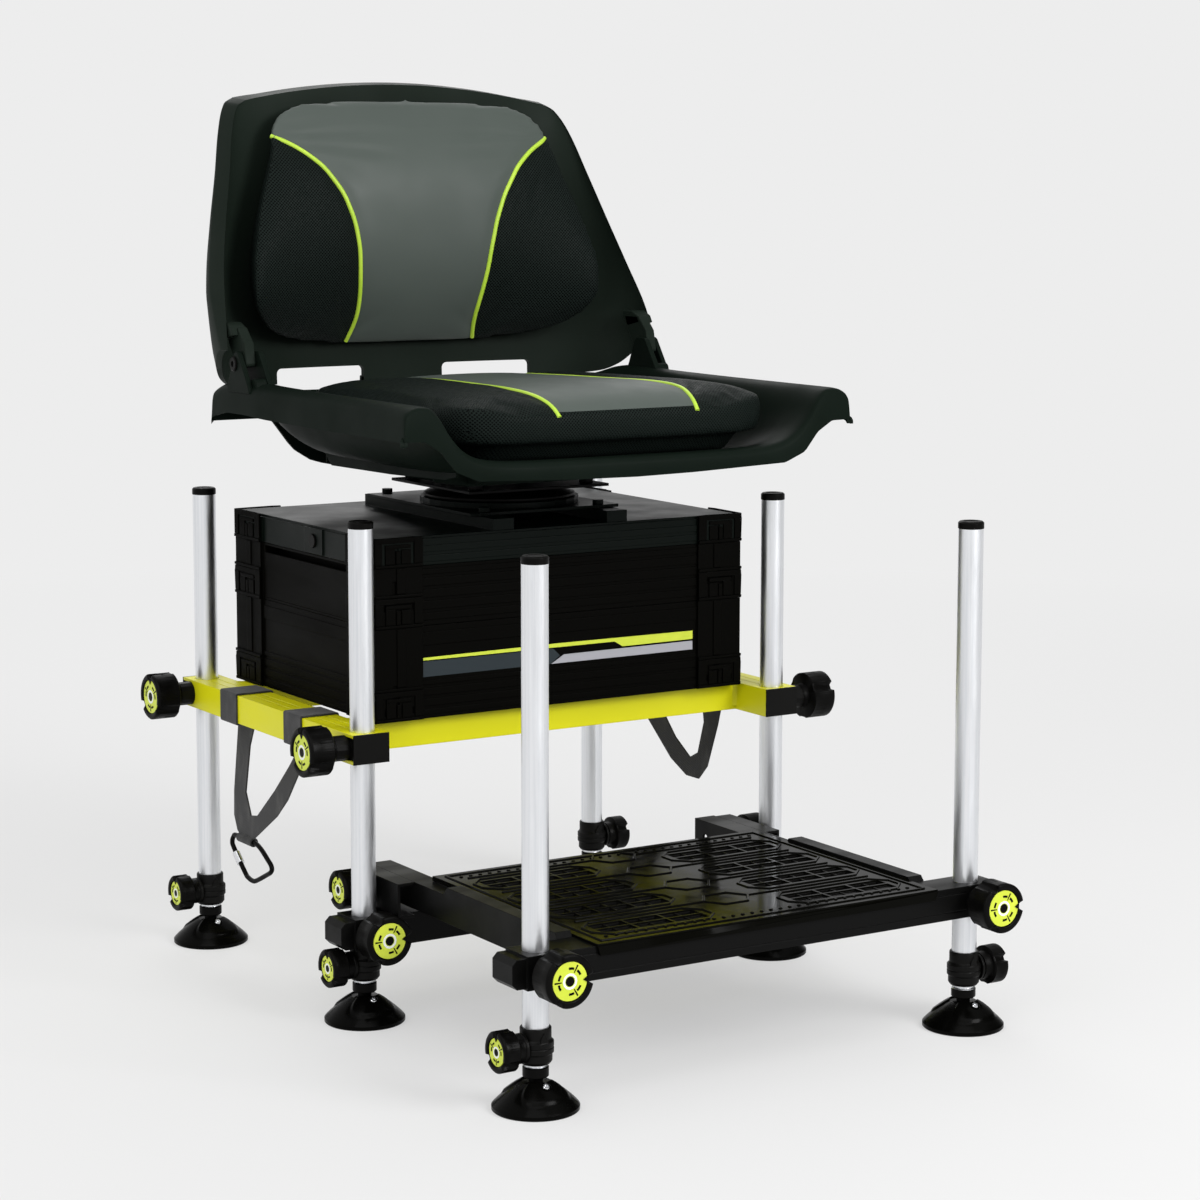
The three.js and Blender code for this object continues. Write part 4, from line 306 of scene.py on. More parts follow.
# Rise of the seat cushion's top along its depth, as shares of the depth and the rise.
SEAT_CROWN_SHARES = [
    (0, 0),
    (0.013, 0.16),
    (0.027, 0.38),
    (0.053, 0.6),
    (0.107, 0.86),
    (0.187, 0.985),
    (0.294, 1),
    (0.4, 0.95),
    (0.615, 0.88),
    (0.83, 0.77),
    (0.936, 0.66),
    (0.985, 0.45),
    (1, 0),
]
ACROSS_POWER = 2.7

# Rounded edges, and the angles from which an edge shows as one
DISC_BEVEL = 0.2
RIB_BEVEL = 0.3
FINE_BEVEL = 0.35
SMALL_BEVEL = 0.4
PLATE_BEVEL = 0.5
WEB_BEVEL = 0.8
TAB_BEVEL = 1.0
CHEEK_BEVEL = 1.2
TONGUE_BEVEL = 1.5
KEEN_ANGLE = 30
FINE_ANGLE = 32
USUAL_ANGLE = 38
SHARP_ANGLE = 40
WIDE_ANGLE = 50
ROUND_ANGLE = 80
SOFT_ANGLE = 180
MERGE_DISTANCE = 0.01


# Small maths
def table_at(table, place, column):
    """Smooth reading of a table whose first column rises."""
    if place <= table[0][0]:
        return table[0][column]
    if place >= table[-1][0]:
        return table[-1][column]
    upper = next(index for index, row in enumerate(table) if place <= row[0])
    low, high = table[upper - 1], table[upper]
    before = table[max(upper - 2, 0)]
    after = table[min(upper + 1, len(table) - 1)]
    width = high[0] - low[0]
    share = (place - low[0]) / width
    rise_low = (high[column] - before[column]) / (high[0] - before[0]) * width
    rise_high = (after[column] - low[column]) / (after[0] - low[0]) * width
    step = high[column] - low[column]
    if step == 0:
        return low[column]
    limit = 3 * abs(step)
    sign = 1 if step > 0 else -1
    rise_low = sign * min(max(sign * rise_low, 0), limit)
    rise_high = sign * min(max(sign * rise_high, 0), limit)
    square, cube = share ** 2, share ** 3
    return (
        (2 * cube - 3 * square + 1) * low[column]
        + (cube - 2 * square + share) * rise_low
        + (3 * square - 2 * cube) * high[column]
        + (cube - square) * rise_high
    )


def straight_at(table, place, column):
    """Straight-line reading of a table whose first column rises."""
    if place <= table[0][0]:
        return table[0][column]
    for low, high in zip(table, table[1:]):
        if place <= high[0]:
            return low[column] + (high[column] - low[column]) * (place - low[0]) / (high[0] - low[0])
    return table[-1][column]


def dense(table, steps):
    """The table's rows with smooth ones between them."""
    indexed = [(index, *row) for index, row in enumerate(table)]
    made = []
    for step in range((len(table) - 1) * steps + 1):
        made.append(tuple(table_at(indexed, step / steps, column) for column in range(1, len(indexed[0]))))
    return made


# Materials
EDGE_SAMPLES = 6
USUAL_RANGE = (0.3, 0.7)
PAPER_ROUGHNESS = 0.8


def fill(node, values):
    """Sets a shader node's inputs by name."""
    for label, value in values.items():
        node.inputs[label].default_value = value


class Finish:
    """A material whose looks are built from a few procedural layers on a Principled shader."""

    def __init__(self, name, colour, roughness, metallic=0.0, specular=0.5):
        self.material = bpy.data.materials.new(name)
        self.material.use_nodes = True
        self.tree = self.material.node_tree
        self.shader = self.tree.nodes["Principled BSDF"]
        self.colour = (*colour, 1.0)
        fill(self.shader, {"Base Color": self.colour, "Roughness": roughness, "Metallic": metallic})
        fill(self.shader, {"Specular IOR Level": specular})
        self.place = self.tree.nodes.new("ShaderNodeTexCoord").outputs["Object"]
        self.normal = None

    def node(self, kind, values=None, **settings):
        made = self.tree.nodes.new(kind)
        for key, value in settings.items():
            setattr(made, key, value)
        fill(made, values or {})
        return made

    def link(self, source, target):
        self.tree.links.new(source, target)

    def stretched(self, scale, turn=(0, 0, 0)):
        mapping = self.node("ShaderNodeMapping", {"Scale": scale, "Rotation": turn})
        self.link(self.place, mapping.inputs["Vector"])
        return mapping.outputs["Vector"]

    def noise(self, scale, detail, stretch=(1, 1, 1), roughness=0.5):
        """A cloudy value that can be drawn out along an axis."""
        texture = self.node("ShaderNodeTexNoise", {"Scale": scale, "Detail": detail, "Roughness": roughness})
        self.link(self.stretched(stretch), texture.inputs["Vector"])
        return texture.outputs["Fac"]

    def cells(self, pitch, turn=(0, 0, 0), randomness=0.0):
        """Distance from the middle of cells of one pitch."""
        texture = self.node("ShaderNodeTexVoronoi", {"Scale": 1 / (pitch * MM), "Randomness": randomness})
        self.link(self.stretched((1, 1, 1), turn), texture.inputs["Vector"])
        return texture.outputs["Distance"]

    def spread(self, value, low, high, out_low=0.0, out_high=1.0):
        """A value moved from one range to another."""
        limits = {"From Min": low, "From Max": high, "To Min": out_low, "To Max": out_high}
        ranged = self.node("ShaderNodeMapRange", limits)
        self.link(value, ranged.inputs["Value"])
        return ranged.outputs["Result"]

    def add_normal(self, layer):
        if self.normal is not None:
            self.link(self.normal, layer.inputs["Normal"])
        self.normal = layer.outputs["Normal"]
        self.link(self.normal, self.shader.inputs["Normal"])

    def bump(self, height, depth, strength):
        layer = self.node("ShaderNodeBump", {"Strength": strength, "Distance": depth * MM})
        self.link(height, layer.inputs["Height"])
        self.add_normal(layer)

    def round_edges(self, radius):
        self.add_normal(self.node("ShaderNodeBevel", {"Radius": radius * MM}, samples=EDGE_SAMPLES))

    def vary_roughness(self, value, low, high):
        self.link(self.spread(value, *USUAL_RANGE, low, high), self.shader.inputs["Roughness"])

    def vary_colour(self, value, other, low=USUAL_RANGE[0], high=USUAL_RANGE[1]):
        mix = self.node("ShaderNodeMix", data_type="RGBA")
        for label, colour in (("A", self.colour), ("B", (*other, 1.0))):
            socket = next(s for s in mix.inputs if s.name == label and s.type == "RGBA")
            socket.default_value = colour
        self.link(self.spread(value, low, high), mix.inputs["Factor"])
        result = next(s for s in mix.outputs if s.type == "RGBA")
        self.link(result, self.shader.inputs["Base Color"])


# Looks: the layers follow in the order edges, pores, grain, gloss and tint.
# pores: pitch, depth, strength. grain: scale, detail, depth, strength, stretch.
# gloss: scale, detail, lowest and highest roughness, stretch. tint: scale, detail, other colour.
LOOKS = {
    "lime": {
        "name": "lime_anodised", "colour": (0.68, 0.655, 0.006), "roughness": 0.38, "specular": 0.25,
        "edges": 1.0, "grain": (900, 3, 0.05, 0.35), "gloss": (18, 4, 0.3, 0.46, (1, 1, 4)),
        "tint": (7, 3, (0.63, 0.61, 0.004)),
    },
    "steel": {
        "name": "bright_steel", "colour": (0.74, 0.75, 0.77), "roughness": 0.22, "metallic": 1.0,
        "grain": (1200, 2, 0.02, 0.4), "gloss": (300, 3, 0.16, 0.3),
    },
    "bar": {
        "name": "black_anodised", "colour": (0.0022, 0.0022, 0.0021), "roughness": 0.4, "specular": 0.08,
        "edges": 1.0, "grain": (1500, 2, 0.03, 0.5, (0.02, 1, 1)), "gloss": (30, 4, 0.32, 0.5, (0.2, 1, 1)),
    },
    "plastic": {
        "name": "black_moulded", "colour": (0.0026, 0.0025, 0.0022), "roughness": 0.44, "specular": 0.1,
        "edges": 0.8, "grain": (1400, 3, 0.05, 0.45), "gloss": (25, 4, 0.36, 0.54),
    },
    "knob": {
        "name": "black_knob", "colour": (0.0020, 0.0019, 0.0017), "roughness": 0.38, "specular": 0.06,
        "grain": (1600, 2, 0.04, 0.4), "gloss": (60, 3, 0.3, 0.48),
    },
    "rubber": {
        "name": "foot_rubber", "colour": (0.0012, 0.0012, 0.0010), "roughness": 0.2, "specular": 0.04,
        "grain": (90, 3, 0.15, 0.3), "gloss": (70, 4, 0.14, 0.32),
    },
    "gloss": {
        "name": "black_gloss", "colour": (0.0020, 0.0020, 0.0014), "roughness": 0.1, "specular": 0.03,
        "grain": (40, 2, 0.12, 0.2), "gloss": (60, 5, 0.07, 0.16),
    },
    "box": {
        "name": "box_plastic", "colour": (0.0011, 0.0010, 0.0006), "roughness": 0.5, "specular": 0.03,
        "edges": 1.2, "grain": (500, 4, 0.06, 0.4, (0.25, 0.25, 2)),
        "gloss": (12, 5, 0.42, 0.62, (0.4, 0.4, 2)),
    },
    "lid": {
        "name": "lid_satin", "colour": (0.0012, 0.0030, 0.0020), "roughness": 0.4, "specular": 0.07,
        "edges": 1.2, "grain": (700, 4, 0.05, 0.4), "gloss": (20, 4, 0.34, 0.48),
    },
    "shell": {
        "name": "shell_grained", "colour": (0.0035, 0.0064, 0.0044), "roughness": 0.5, "specular": 0.03,
        "pores": (1.3, 0.09, 0.35), "grain": (1100, 3, 0.04, 0.5), "gloss": (14, 5, 0.42, 0.58),
        "tint": (9, 4, (0.0052, 0.0088, 0.0064)),
    },
    # The backrest's shell is the same plastic as the seat's. Its lighter colour is painted light, standing in
    # for the stronger light that falls on the backrest.
    "bucket": {
        "name": "backrest_shell_painted_lighter", "colour": (0.0085, 0.0130, 0.0096), "roughness": 0.5, "specular": 0.04,
        "pores": (1.3, 0.09, 0.35), "grain": (1100, 3, 0.04, 0.5), "gloss": (14, 5, 0.42, 0.58),
        "tint": (9, 4, (0.0105, 0.0155, 0.0118)),
    },
    "vinyl": {
        "name": "grey_vinyl", "colour": (0.064, 0.078, 0.069), "roughness": 0.5, "specular": 0.25,
        "pores": (0.9, 0.06, 0.4), "grain": (60, 3, 0.2, 0.25), "gloss": (18, 4, 0.44, 0.58),
        "tint": (6, 4, (0.056, 0.069, 0.061)),
    },
    "piping": {
        "name": "lime_piping", "colour": (0.44, 0.63, 0.045), "roughness": 0.42,
        "grain": (700, 3, 0.05, 0.4), "gloss": (40, 3, 0.36, 0.5), "tint": (30, 3, (0.36, 0.56, 0.03)),
    },
    "disc": {
        "name": "lime_disc", "colour": (0.60, 0.68, 0.045), "roughness": 0.34,
        "grain": (800, 2, 0.03, 0.4), "gloss": (60, 3, 0.28, 0.42), "tint": (50, 3, (0.52, 0.62, 0.03)),
    },
    "white": {
        "name": "white_mark", "colour": (0.78, 0.80, 0.78), "roughness": 0.4,
        "grain": (900, 2, 0.02, 0.4), "gloss": (60, 3, 0.34, 0.48),
    },
    "silver": {
        "name": "decal_silver", "colour": (0.34, 0.34, 0.37), "roughness": 0.4,
        "grain": (900, 2, 0.02, 0.4), "gloss": (40, 3, 0.34, 0.48),
    },
    "slate": {
        "name": "decal_slate", "colour": (0.016, 0.024, 0.029), "roughness": 0.4, "specular": 0.25,
        "grain": (900, 2, 0.02, 0.4), "gloss": (40, 3, 0.34, 0.48),
    },
}


# Looks with layers of their own: first name, colour, roughness, metallic and specular
ALLOY_LOOK = ("bare_alloy", (0.84, 0.85, 0.87), 0.34, 1.0, 0.5)
ALLOY_STREAKS = (420, 3, (1, 1, 0.012), 0.6)
ALLOY_TINT = ((0.72, 0.74, 0.77), 0.35, 0.75)
ALLOY_GLOSS = (160, 4, (1, 1, 0.1))
ALLOY_GLOSS_RANGE = (0.28, 0.45)
ALLOY_GRAIN = (0.03, 0.5)
MESH_LOOK = ("mesh_cover", (0.0005, 0.0007, 0.0006), 0.46, 0.0, 0.04)
MESH_PITCH = 2.6
# Lighter colour on the weave between the holes: partly the weave's own tone, partly a painted highlight
MESH_WEAVE_AND_HIGHLIGHT_TINT = ((0.0088, 0.0132, 0.0114), 0.28, 0.38)
MESH_HOLE_EDGE = (0.2, 0.42)
MESH_HOLE_DEPTH = (0.8, 0.8)
MESH_FOLDS = (45, 3)
MESH_FOLD_DEPTH = (0.5, 0.25)
MESH_GLOSS = (200, 3)
MESH_GLOSS_RANGE = (0.4, 0.56)
WEBBING_LOOK = ("webbing", (0.020, 0.020, 0.021), 0.72, 0.0, 0.2)
WEBBING_RIBS = 220
WEBBING_RIB_DEPTH = (0.25, 0.6)
WEBBING_GRAIN = (900, 3)
WEBBING_GRAIN_DEPTH = (0.12, 0.4)
WEBBING_WEAR = (90, 4, (1, 1, 0.4))
WEBBING_WEAR_TINT = ((0.050, 0.049, 0.048), 0.5, 0.75)
WEBBING_SHEEN = 0.15


def layered_finish(look):
    """A material made from one row of the looks."""
    made = Finish(
        look["name"], look["colour"], look["roughness"], look.get("metallic", 0.0), look.get("specular", 0.5)
    )
    if "edges" in look:
        made.round_edges(look["edges"])
    if "pores" in look:
        pitch, depth, strength = look["pores"]
        made.bump(made.cells(pitch, randomness=1.0), depth, strength)
    scale, detail, depth, strength, *stretch = look["grain"]
    made.bump(made.noise(scale, detail, *stretch), depth, strength)
    scale, detail, low, high, *stretch = look["gloss"]
    made.vary_roughness(made.noise(scale, detail, *stretch), low, high)
    if "tint" in look:
        scale, detail, other = look["tint"]
        made.vary_colour(made.noise(scale, detail), other)
    return made.material


def alloy_finish():
    """Bare tube with long drawn streaks."""
    made = Finish(*ALLOY_LOOK)
    streaks = made.noise(*ALLOY_STREAKS)
    made.vary_colour(streaks, *ALLOY_TINT)
    made.vary_roughness(made.noise(*ALLOY_GLOSS), *ALLOY_GLOSS_RANGE)
    made.bump(streaks, *ALLOY_GRAIN)
    return made.material


def mesh_finish():
    """Open black fabric whose round holes lie on the diagonals of the cover's own coordinates."""
    made = Finish(*MESH_LOOK)
    made.place = made.node("ShaderNodeTexCoord").outputs["UV"]
    holes = made.cells(MESH_PITCH, turn=(0, 0, math.pi / 4))
    # The weave between the holes is lighter: its own tone with a painted highlight on it
    made.vary_colour(holes, *MESH_WEAVE_AND_HIGHLIGHT_TINT)
    made.bump(made.spread(holes, *MESH_HOLE_EDGE), *MESH_HOLE_DEPTH)
    made.place = made.node("ShaderNodeTexCoord").outputs["Object"]
    made.bump(made.noise(*MESH_FOLDS), *MESH_FOLD_DEPTH)
    made.vary_roughness(made.noise(*MESH_GLOSS), *MESH_GLOSS_RANGE)
    return made.material


def webbing_finish():
    """Woven strap with slanting ribs and worn patches."""
    made = Finish(*WEBBING_LOOK)
    bands = {"wave_type": "BANDS", "bands_direction": "DIAGONAL"}
    ribs = made.node("ShaderNodeTexWave", {"Scale": WEBBING_RIBS}, **bands)
    made.link(made.place, ribs.inputs["Vector"])
    made.bump(ribs.outputs["Fac"], *WEBBING_RIB_DEPTH)
    made.bump(made.noise(*WEBBING_GRAIN), *WEBBING_GRAIN_DEPTH)
    made.vary_colour(made.noise(*WEBBING_WEAR), *WEBBING_WEAR_TINT)
    fill(made.shader, {"Sheen Weight": WEBBING_SHEEN})
    return made.material


FINISHES = {key: layered_finish(look) for key, look in LOOKS.items()}
FINISHES["alloy"] = alloy_finish()
FINISHES["mesh"] = mesh_finish()
FINISHES["webbing"] = webbing_finish()


# Meshes
def linked(name, data):
    """A new object in the scene."""
    made = bpy.data.objects.new(name, data)
    bpy.context.scene.collection.objects.link(made)
    return made


def mesh_of(name, vertices, faces):
    """A mesh in metres from millimetre points, with its faces turned outward."""
    mesh = bpy.data.meshes.new(name)
    mesh.from_pydata([tuple(value * MM for value in vertex) for vertex in vertices], [], faces)
    work = bmesh.new()
    work.from_mesh(mesh)
    bmesh.ops.remove_doubles(work, verts=work.verts, dist=MERGE_DISTANCE * MM)
    bmesh.ops.recalc_face_normals(work, faces=work.faces)
    work.to_mesh(mesh)
    work.free()
    return mesh


def piece(name, vertices, faces, finish, body, slot, stands_for=(), bevel=0.0, flat_angle=USUAL_ANGLE):
    """A mesh object in the part's frame from millimetre points."""
    mesh = mesh_of(name, vertices, faces)
    made = linked(name, mesh)
    mesh.materials.append(FINISHES[finish])
    mesh.shade_smooth()
    if bevel:
        rounding = made.modifiers.new("edges", "BEVEL")
        rounding.width = bevel * MM
        rounding.segments = 2
        rounding.limit_method = "ANGLE"
        rounding.angle_limit = math.radians(flat_angle)
        rounding.harden_normals = True
    else:
        mesh.set_sharp_from_angle(angle=math.radians(flat_angle))
    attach(made, body)
    if stands_for:
        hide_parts(*stands_for)
    return made


def ring_faces(rings, steps, closed=False):
    """Faces between rings of points, with one over each end where the rings are not closed."""
    faces = []
    for ring in range(rings if closed else rings - 1):
        here = ring * steps
        after = (ring + 1) % rings * steps
        for step in range(steps):
            beside = (step + 1) % steps
            faces.append((here + step, here + beside, after + beside, after + step))
    if not closed:
        faces.append(tuple(range(steps)))
        faces.append(tuple(range((rings - 1) * steps, rings * steps)))
    return faces


def turned(profile, steps, closed=False):
    """Points and faces of a revolve about Z through (radius, height) points."""
    angles = [2 * math.pi * step / steps for step in range(steps)]
    vertices = [(r * math.cos(angle), r * math.sin(angle), z) for r, z in profile for angle in angles]
    return vertices, ring_faces(len(profile), steps, closed)


def moved(shape, x=0, y=0, z=0):
    """A shape shifted without a turn."""
    vertices, faces = shape
    return [(a + x, b + y, c + z) for a, b, c in vertices], faces


def both(side, low, high):
    """A span between two distances on one side of the middle."""
    return sorted((side * low, side * high))


def placed(shape, place=(0, 0, 0), axis="z", turn=0.0):
    """A shape made about +Z, turned about it and then laid along an axis and moved."""
    vertices, faces = shape
    lay = {
        "z": Matrix.Identity(3),
        "x": Matrix.Rotation(math.pi / 2, 3, "Y"),
        "-x": Matrix.Rotation(-math.pi / 2, 3, "Y"),
        "-y": Matrix.Rotation(math.pi / 2, 3, "X"),
    }[axis]
    whole = lay @ Matrix.Rotation(turn, 3, "Z")
    return [tuple(whole @ Vector(vertex) + Vector(place)) for vertex in vertices], faces


def joined(*shapes):
    """Several shapes as one."""
    vertices, faces = [], []
    for some_vertices, some_faces in shapes:
        start = len(vertices)
        vertices.extend(some_vertices)
        faces.extend(tuple(index + start for index in face) for face in some_faces)
    return vertices, faces


def block(x, y, z):
    """Points and faces of a box between two corners."""
    vertices = [(a, b, c) for c in z for b in y for a in x]
    faces = [(0, 1, 3, 2), (4, 5, 7, 6), (0, 1, 5, 4), (2, 3, 7, 6), (0, 2, 6, 4), (1, 3, 7, 5)]
    return vertices, faces


def prism(outline, span, axis):
    """An outline pushed along an axis: (y, z) points along x, (x, z) along y, (x, y) along z."""
    order = {
        "x": lambda a, b, depth: (depth, a, b),
        "y": lambda a, b, depth: (a, depth, b),
        "z": lambda a, b, depth: (a, b, depth),
    }[axis]
    count = len(outline)
    vertices = [order(a, b, depth) for depth in span for a, b in outline]
    faces = [tuple(range(count)), tuple(range(count, 2 * count))]
    for index in range(count):
        beside = (index + 1) % count
        faces.append((index, beside, count + beside, count + index))
    return vertices, faces


def skin(front, back):
    """A closed skin between a front and a back grid of points."""
    rows, columns = len(front), len(front[0])
    vertices = [point for line in front for point in line] + [point for line in back for point in line]
    base = rows * columns
    faces = []
    for row in range(rows - 1):
        for column in range(columns - 1):
            a = row * columns + column
            faces.append((a, a + 1, a + columns + 1, a + columns))
            faces.append((base + a, base + a + columns, base + a + columns + 1, base + a + 1))
    for row in range(rows - 1):
        for column in (0, columns - 1):
            a = row * columns + column
            faces.append((a, a + columns, base + a + columns, base + a))
    for column in range(columns - 1):
        for row in (0, rows - 1):
            a = row * columns + column
            faces.append((a, a + 1, base + a + 1, base + a))
    return vertices, faces


def swept(points, radius, steps, closed=False):
    """A round rod along points, with flat ends where it is open."""
    path = [Vector(point) for point in points]
    count = len(path)
    vertices = []
    side = None
    for index, point in enumerate(path):
        before = path[index - 1] if closed or index > 0 else path[index]
        after = path[(index + 1) % count] if closed or index + 1 < count else path[index]
        along = (after - before).normalized()
        if side is None:
            side = along.orthogonal().normalized()
        side = (side - along * side.dot(along)).normalized()
        other = along.cross(side)
        for step in range(steps):
            angle = 2 * math.pi * step / steps
            vertices.append(tuple(point + radius * (math.cos(angle) * side + math.sin(angle) * other)))
    return vertices, ring_faces(count, steps, closed)


def smooth_path(points, count, closed=False):
    """Points along a smooth curve through the given ones."""
    path = [Vector(point) for point in points]
    total = len(path)
    spans = total if closed else total - 1
    made = []
    for span in range(spans):
        a = path[(span - 1) % total] if closed or span > 0 else path[0]
        b = path[span]
        c = path[(span + 1) % total]
        d = path[(span + 2) % total] if closed or span + 2 < total else path[-1]
        for step in range(count):
            t = step / count
            made.append(0.5 * (
                2 * b
                + (c - a) * t
                + (2 * a - 5 * b + 4 * c - d) * t ** 2
                + (3 * b - a - 3 * c + d) * t ** 3
            ))
    if not closed:
        made.append(path[-1])
    return made


def mirrored(rows):
    """Rows with their side, from the far left through the middle to the far right."""
    return [(-1, row) for row in reversed(rows[1:])] + [(1, row) for row in rows]


# Knobs
KNOB_NOTCHES = 3
KNURL_SHARE = 0.55
KNURL_COUNT = 60
NOTCH_HALF_ANGLE = 0.21
NOTCH_POWER = 4
KNOB_EDGE = 1.2
KNOB_FACE_DEPTH = 2
NOTCH_FLOOR = 0.5
BIG_RIM = (25, 27, 18.5, 5.2, 0.7)
# Where the neck starts, its length and radius, then the rim's radius and depth, the face's radius,
# the depth of the notches and of the knurling
KNOB_SIZES = {
    "frame": (35.3, 6.5, 13, *BIG_RIM),
    "rear": (24.3, 5, 13, *BIG_RIM),
    "front": (27.8, 7, 13, *BIG_RIM),
    "collar": (17.9, 8, 14, 19.5, 17, 13.5, 4.4, 0.55),
    "pivot": (234.3, 6, 9, 20, 22, 14, 4.4, 0.55),
}
RAIL_MID = 283
REAR_BAR_MID = 94.4
FRONT_BAR_MID = 134
COLLAR_KNOB_HEIGHT = 59.5
PIVOT_Y = -148
PIVOT_Z = 128.5

# The knob's lime face and its marks: heights above the recess, radii as shares, angles in radians
DISC_GAP = 0.4
DISC_SINK = 0.5
DISC_RISE = 0.7
MARK_RISE = 0.95
POINTER_RISE = 1.5
HUB_HOLE = 0.4
ARC_STEPS = 12
WHOLE_TURN = 2 * math.pi * 0.999
FACE_HUB_SHARE = 0.26
FACE_LOOP_SHARES = (0.3, 0.42)
FACE_MARK_SHARES = [(0.6, 0.72, -0.62, -0.16), (0.6, 0.72, 0.16, 0.62), (0.48, 0.9, -0.05, 0.05)]
FACE_POINTER_SHARES = [(1.02, -0.17), (1.02, 0.17), (0.76, 0)]


def notch_share(angle):
    """One in the middle of a notch of the rim and zero between the notches."""
    place = (angle * KNOB_NOTCHES / (2 * math.pi)) % 1
    off = min(place, 1 - place) * 2 * math.pi / KNOB_NOTCHES
    return max(0.0, 1 - (off / NOTCH_HALF_ANGLE) ** NOTCH_POWER)


def knob_shape(kind):
    """A knob about +Z: neck, knurled rim, plain lip with three scooped notches and a recessed face."""
    start, neck, neck_radius, radius, depth, face_radius, notch, knurl = KNOB_SIZES[kind]
    edge = KNOB_EDGE
    rim = start + neck
    top = rim + depth
    # Height and radius of each ring, then its shares of the notch, the knurling and the scoop
    levels = [
        (start, neck_radius, 0, 0, 0),
        (rim - edge, neck_radius, 0, 0, 0),
        (rim, neck_radius + edge, 0, 0, 0),
        (rim, radius - edge, 0.2, 0, 0),
        (rim + edge, radius, 0.25, 0, 0),
        (rim + edge * 2, radius, 0.3, 1, 0),
        (rim + depth * KNURL_SHARE, radius, 0.6, 1, 0),
        (rim + depth * KNURL_SHARE + edge, radius, 0.75, 0, 0),
        (top - edge * 3, radius, 1, 0, 0.3),
        (top - edge, radius, 1, 0, 1),
        (top, radius - edge, 1, 0, 1),
        (top, face_radius + edge, 0, 0, 1),
        (top - edge * 0.4, face_radius + edge * 0.3, 0, 0, 1),
        (top - KNOB_FACE_DEPTH, face_radius, 0, 0, 0),
        (top - KNOB_FACE_DEPTH, CORE, 0, 0, 0),
    ]
    vertices = []
    for height, ring_radius, notched, knurled, dipped in levels:
        for step in range(RIM_STEPS):
            angle = 2 * math.pi * step / RIM_STEPS
            scoop = notch_share(angle)
            ridge = abs(math.sin(angle * KNURL_COUNT / 2))
            r = ring_radius - notch * scoop * notched - knurl * knurled * (1 - ridge) * (1 - scoop)
            if notched:
                r = max(r, min(ring_radius, face_radius + edge * 1.1))
            z = height - dipped * scoop * (KNOB_FACE_DEPTH - NOTCH_FLOOR)
            vertices.append((r * math.cos(angle), r * math.sin(angle), z))
    return vertices, ring_faces(len(levels), RIM_STEPS)


def arc_band(inner, outer, start, end, span):
    """A flat arc between two radii and two angles."""
    angles = [start + (end - start) * step / ARC_STEPS for step in range(ARC_STEPS + 1)]
    outline = [(outer * math.cos(angle), outer * math.sin(angle)) for angle in angles]
    outline += [(inner * math.cos(angle), inner * math.sin(angle)) for angle in reversed(angles)]
    return prism(outline, span, "z")


def add_knob(name, kind, place, axis):
    """A knob with its lime disc, white ring, dark arcs and ticks, and a pointer at the disc's rim."""
    start, neck, _, _, depth, face_radius, *_ = KNOB_SIZES[kind]
    floor = start + neck + depth - KNOB_FACE_DEPTH
    radius = face_radius - DISC_GAP
    span = (floor + DISC_SINK, floor + MARK_RISE)
    low, high = floor - DISC_SINK, floor + DISC_RISE
    disc = turned([(CORE, low), (radius, low), (radius, high), (CORE, high)], ROUND_STEPS)
    dark = [arc_band(HUB_HOLE, radius * FACE_HUB_SHARE, 0, WHOLE_TURN, span)]
    for index in range(KNOB_NOTCHES):
        middle = 2 * math.pi * (index + 0.5) / KNOB_NOTCHES
        for inner, outer, first, last in FACE_MARK_SHARES:
            dark.append(arc_band(radius * inner, radius * outer, middle + first, middle + last, span))
    pointer = [(radius * out, radius * across) for out, across in FACE_POINTER_SHARES]
    dark.append(prism(pointer, (floor + DISC_SINK, floor + POINTER_RISE), "z"))
    inner, outer = FACE_LOOP_SHARES
    loop = arc_band(radius * inner, radius * outer, 0, WHOLE_TURN, span)
    body = placed(knob_shape(kind), place, axis)
    piece(name + "_body", *body, "knob", name, "black_plastic", (name,), flat_angle=WIDE_ANGLE)
    piece(name + "_disc", *placed(disc, place, axis), "disc", name, "black_plastic", bevel=DISC_BEVEL)
    piece(name + "_marks", *placed(joined(*dark), place, axis), "knob", name, "black_plastic")
    piece(name + "_ring", *placed(loop, place, axis), "white", name, "black_plastic")


def add_knobs():
    """All sixteen knobs, each on its own body."""
    for side, word in SIDES:
        axis = SIDE_AXES[side]
        for row, y in LEG_YS.items():
            add_knob(f"collar_knob_{row}_{word}", "collar", (side * LEG_X, y, COLLAR_KNOB_HEIGHT), axis)
            if row != "footplate":
                add_knob(f"frame_knob_{row}_{word}", "frame", (side * LEG_X, y, RAIL_MID), axis)
        add_knob(f"rear_bar_knob_{word}", "rear", (side * LEG_X, -BOX_LEG_Y, REAR_BAR_MID), "-y")
        add_knob(f"front_bar_knob_{word}", "front", (side * LEG_X, -PLATE_LEG_Y, FRONT_BAR_MID), "-y")
        add_knob(f"pivot_knob_{word}", "pivot", (0, PIVOT_Y, PIVOT_Z), axis)


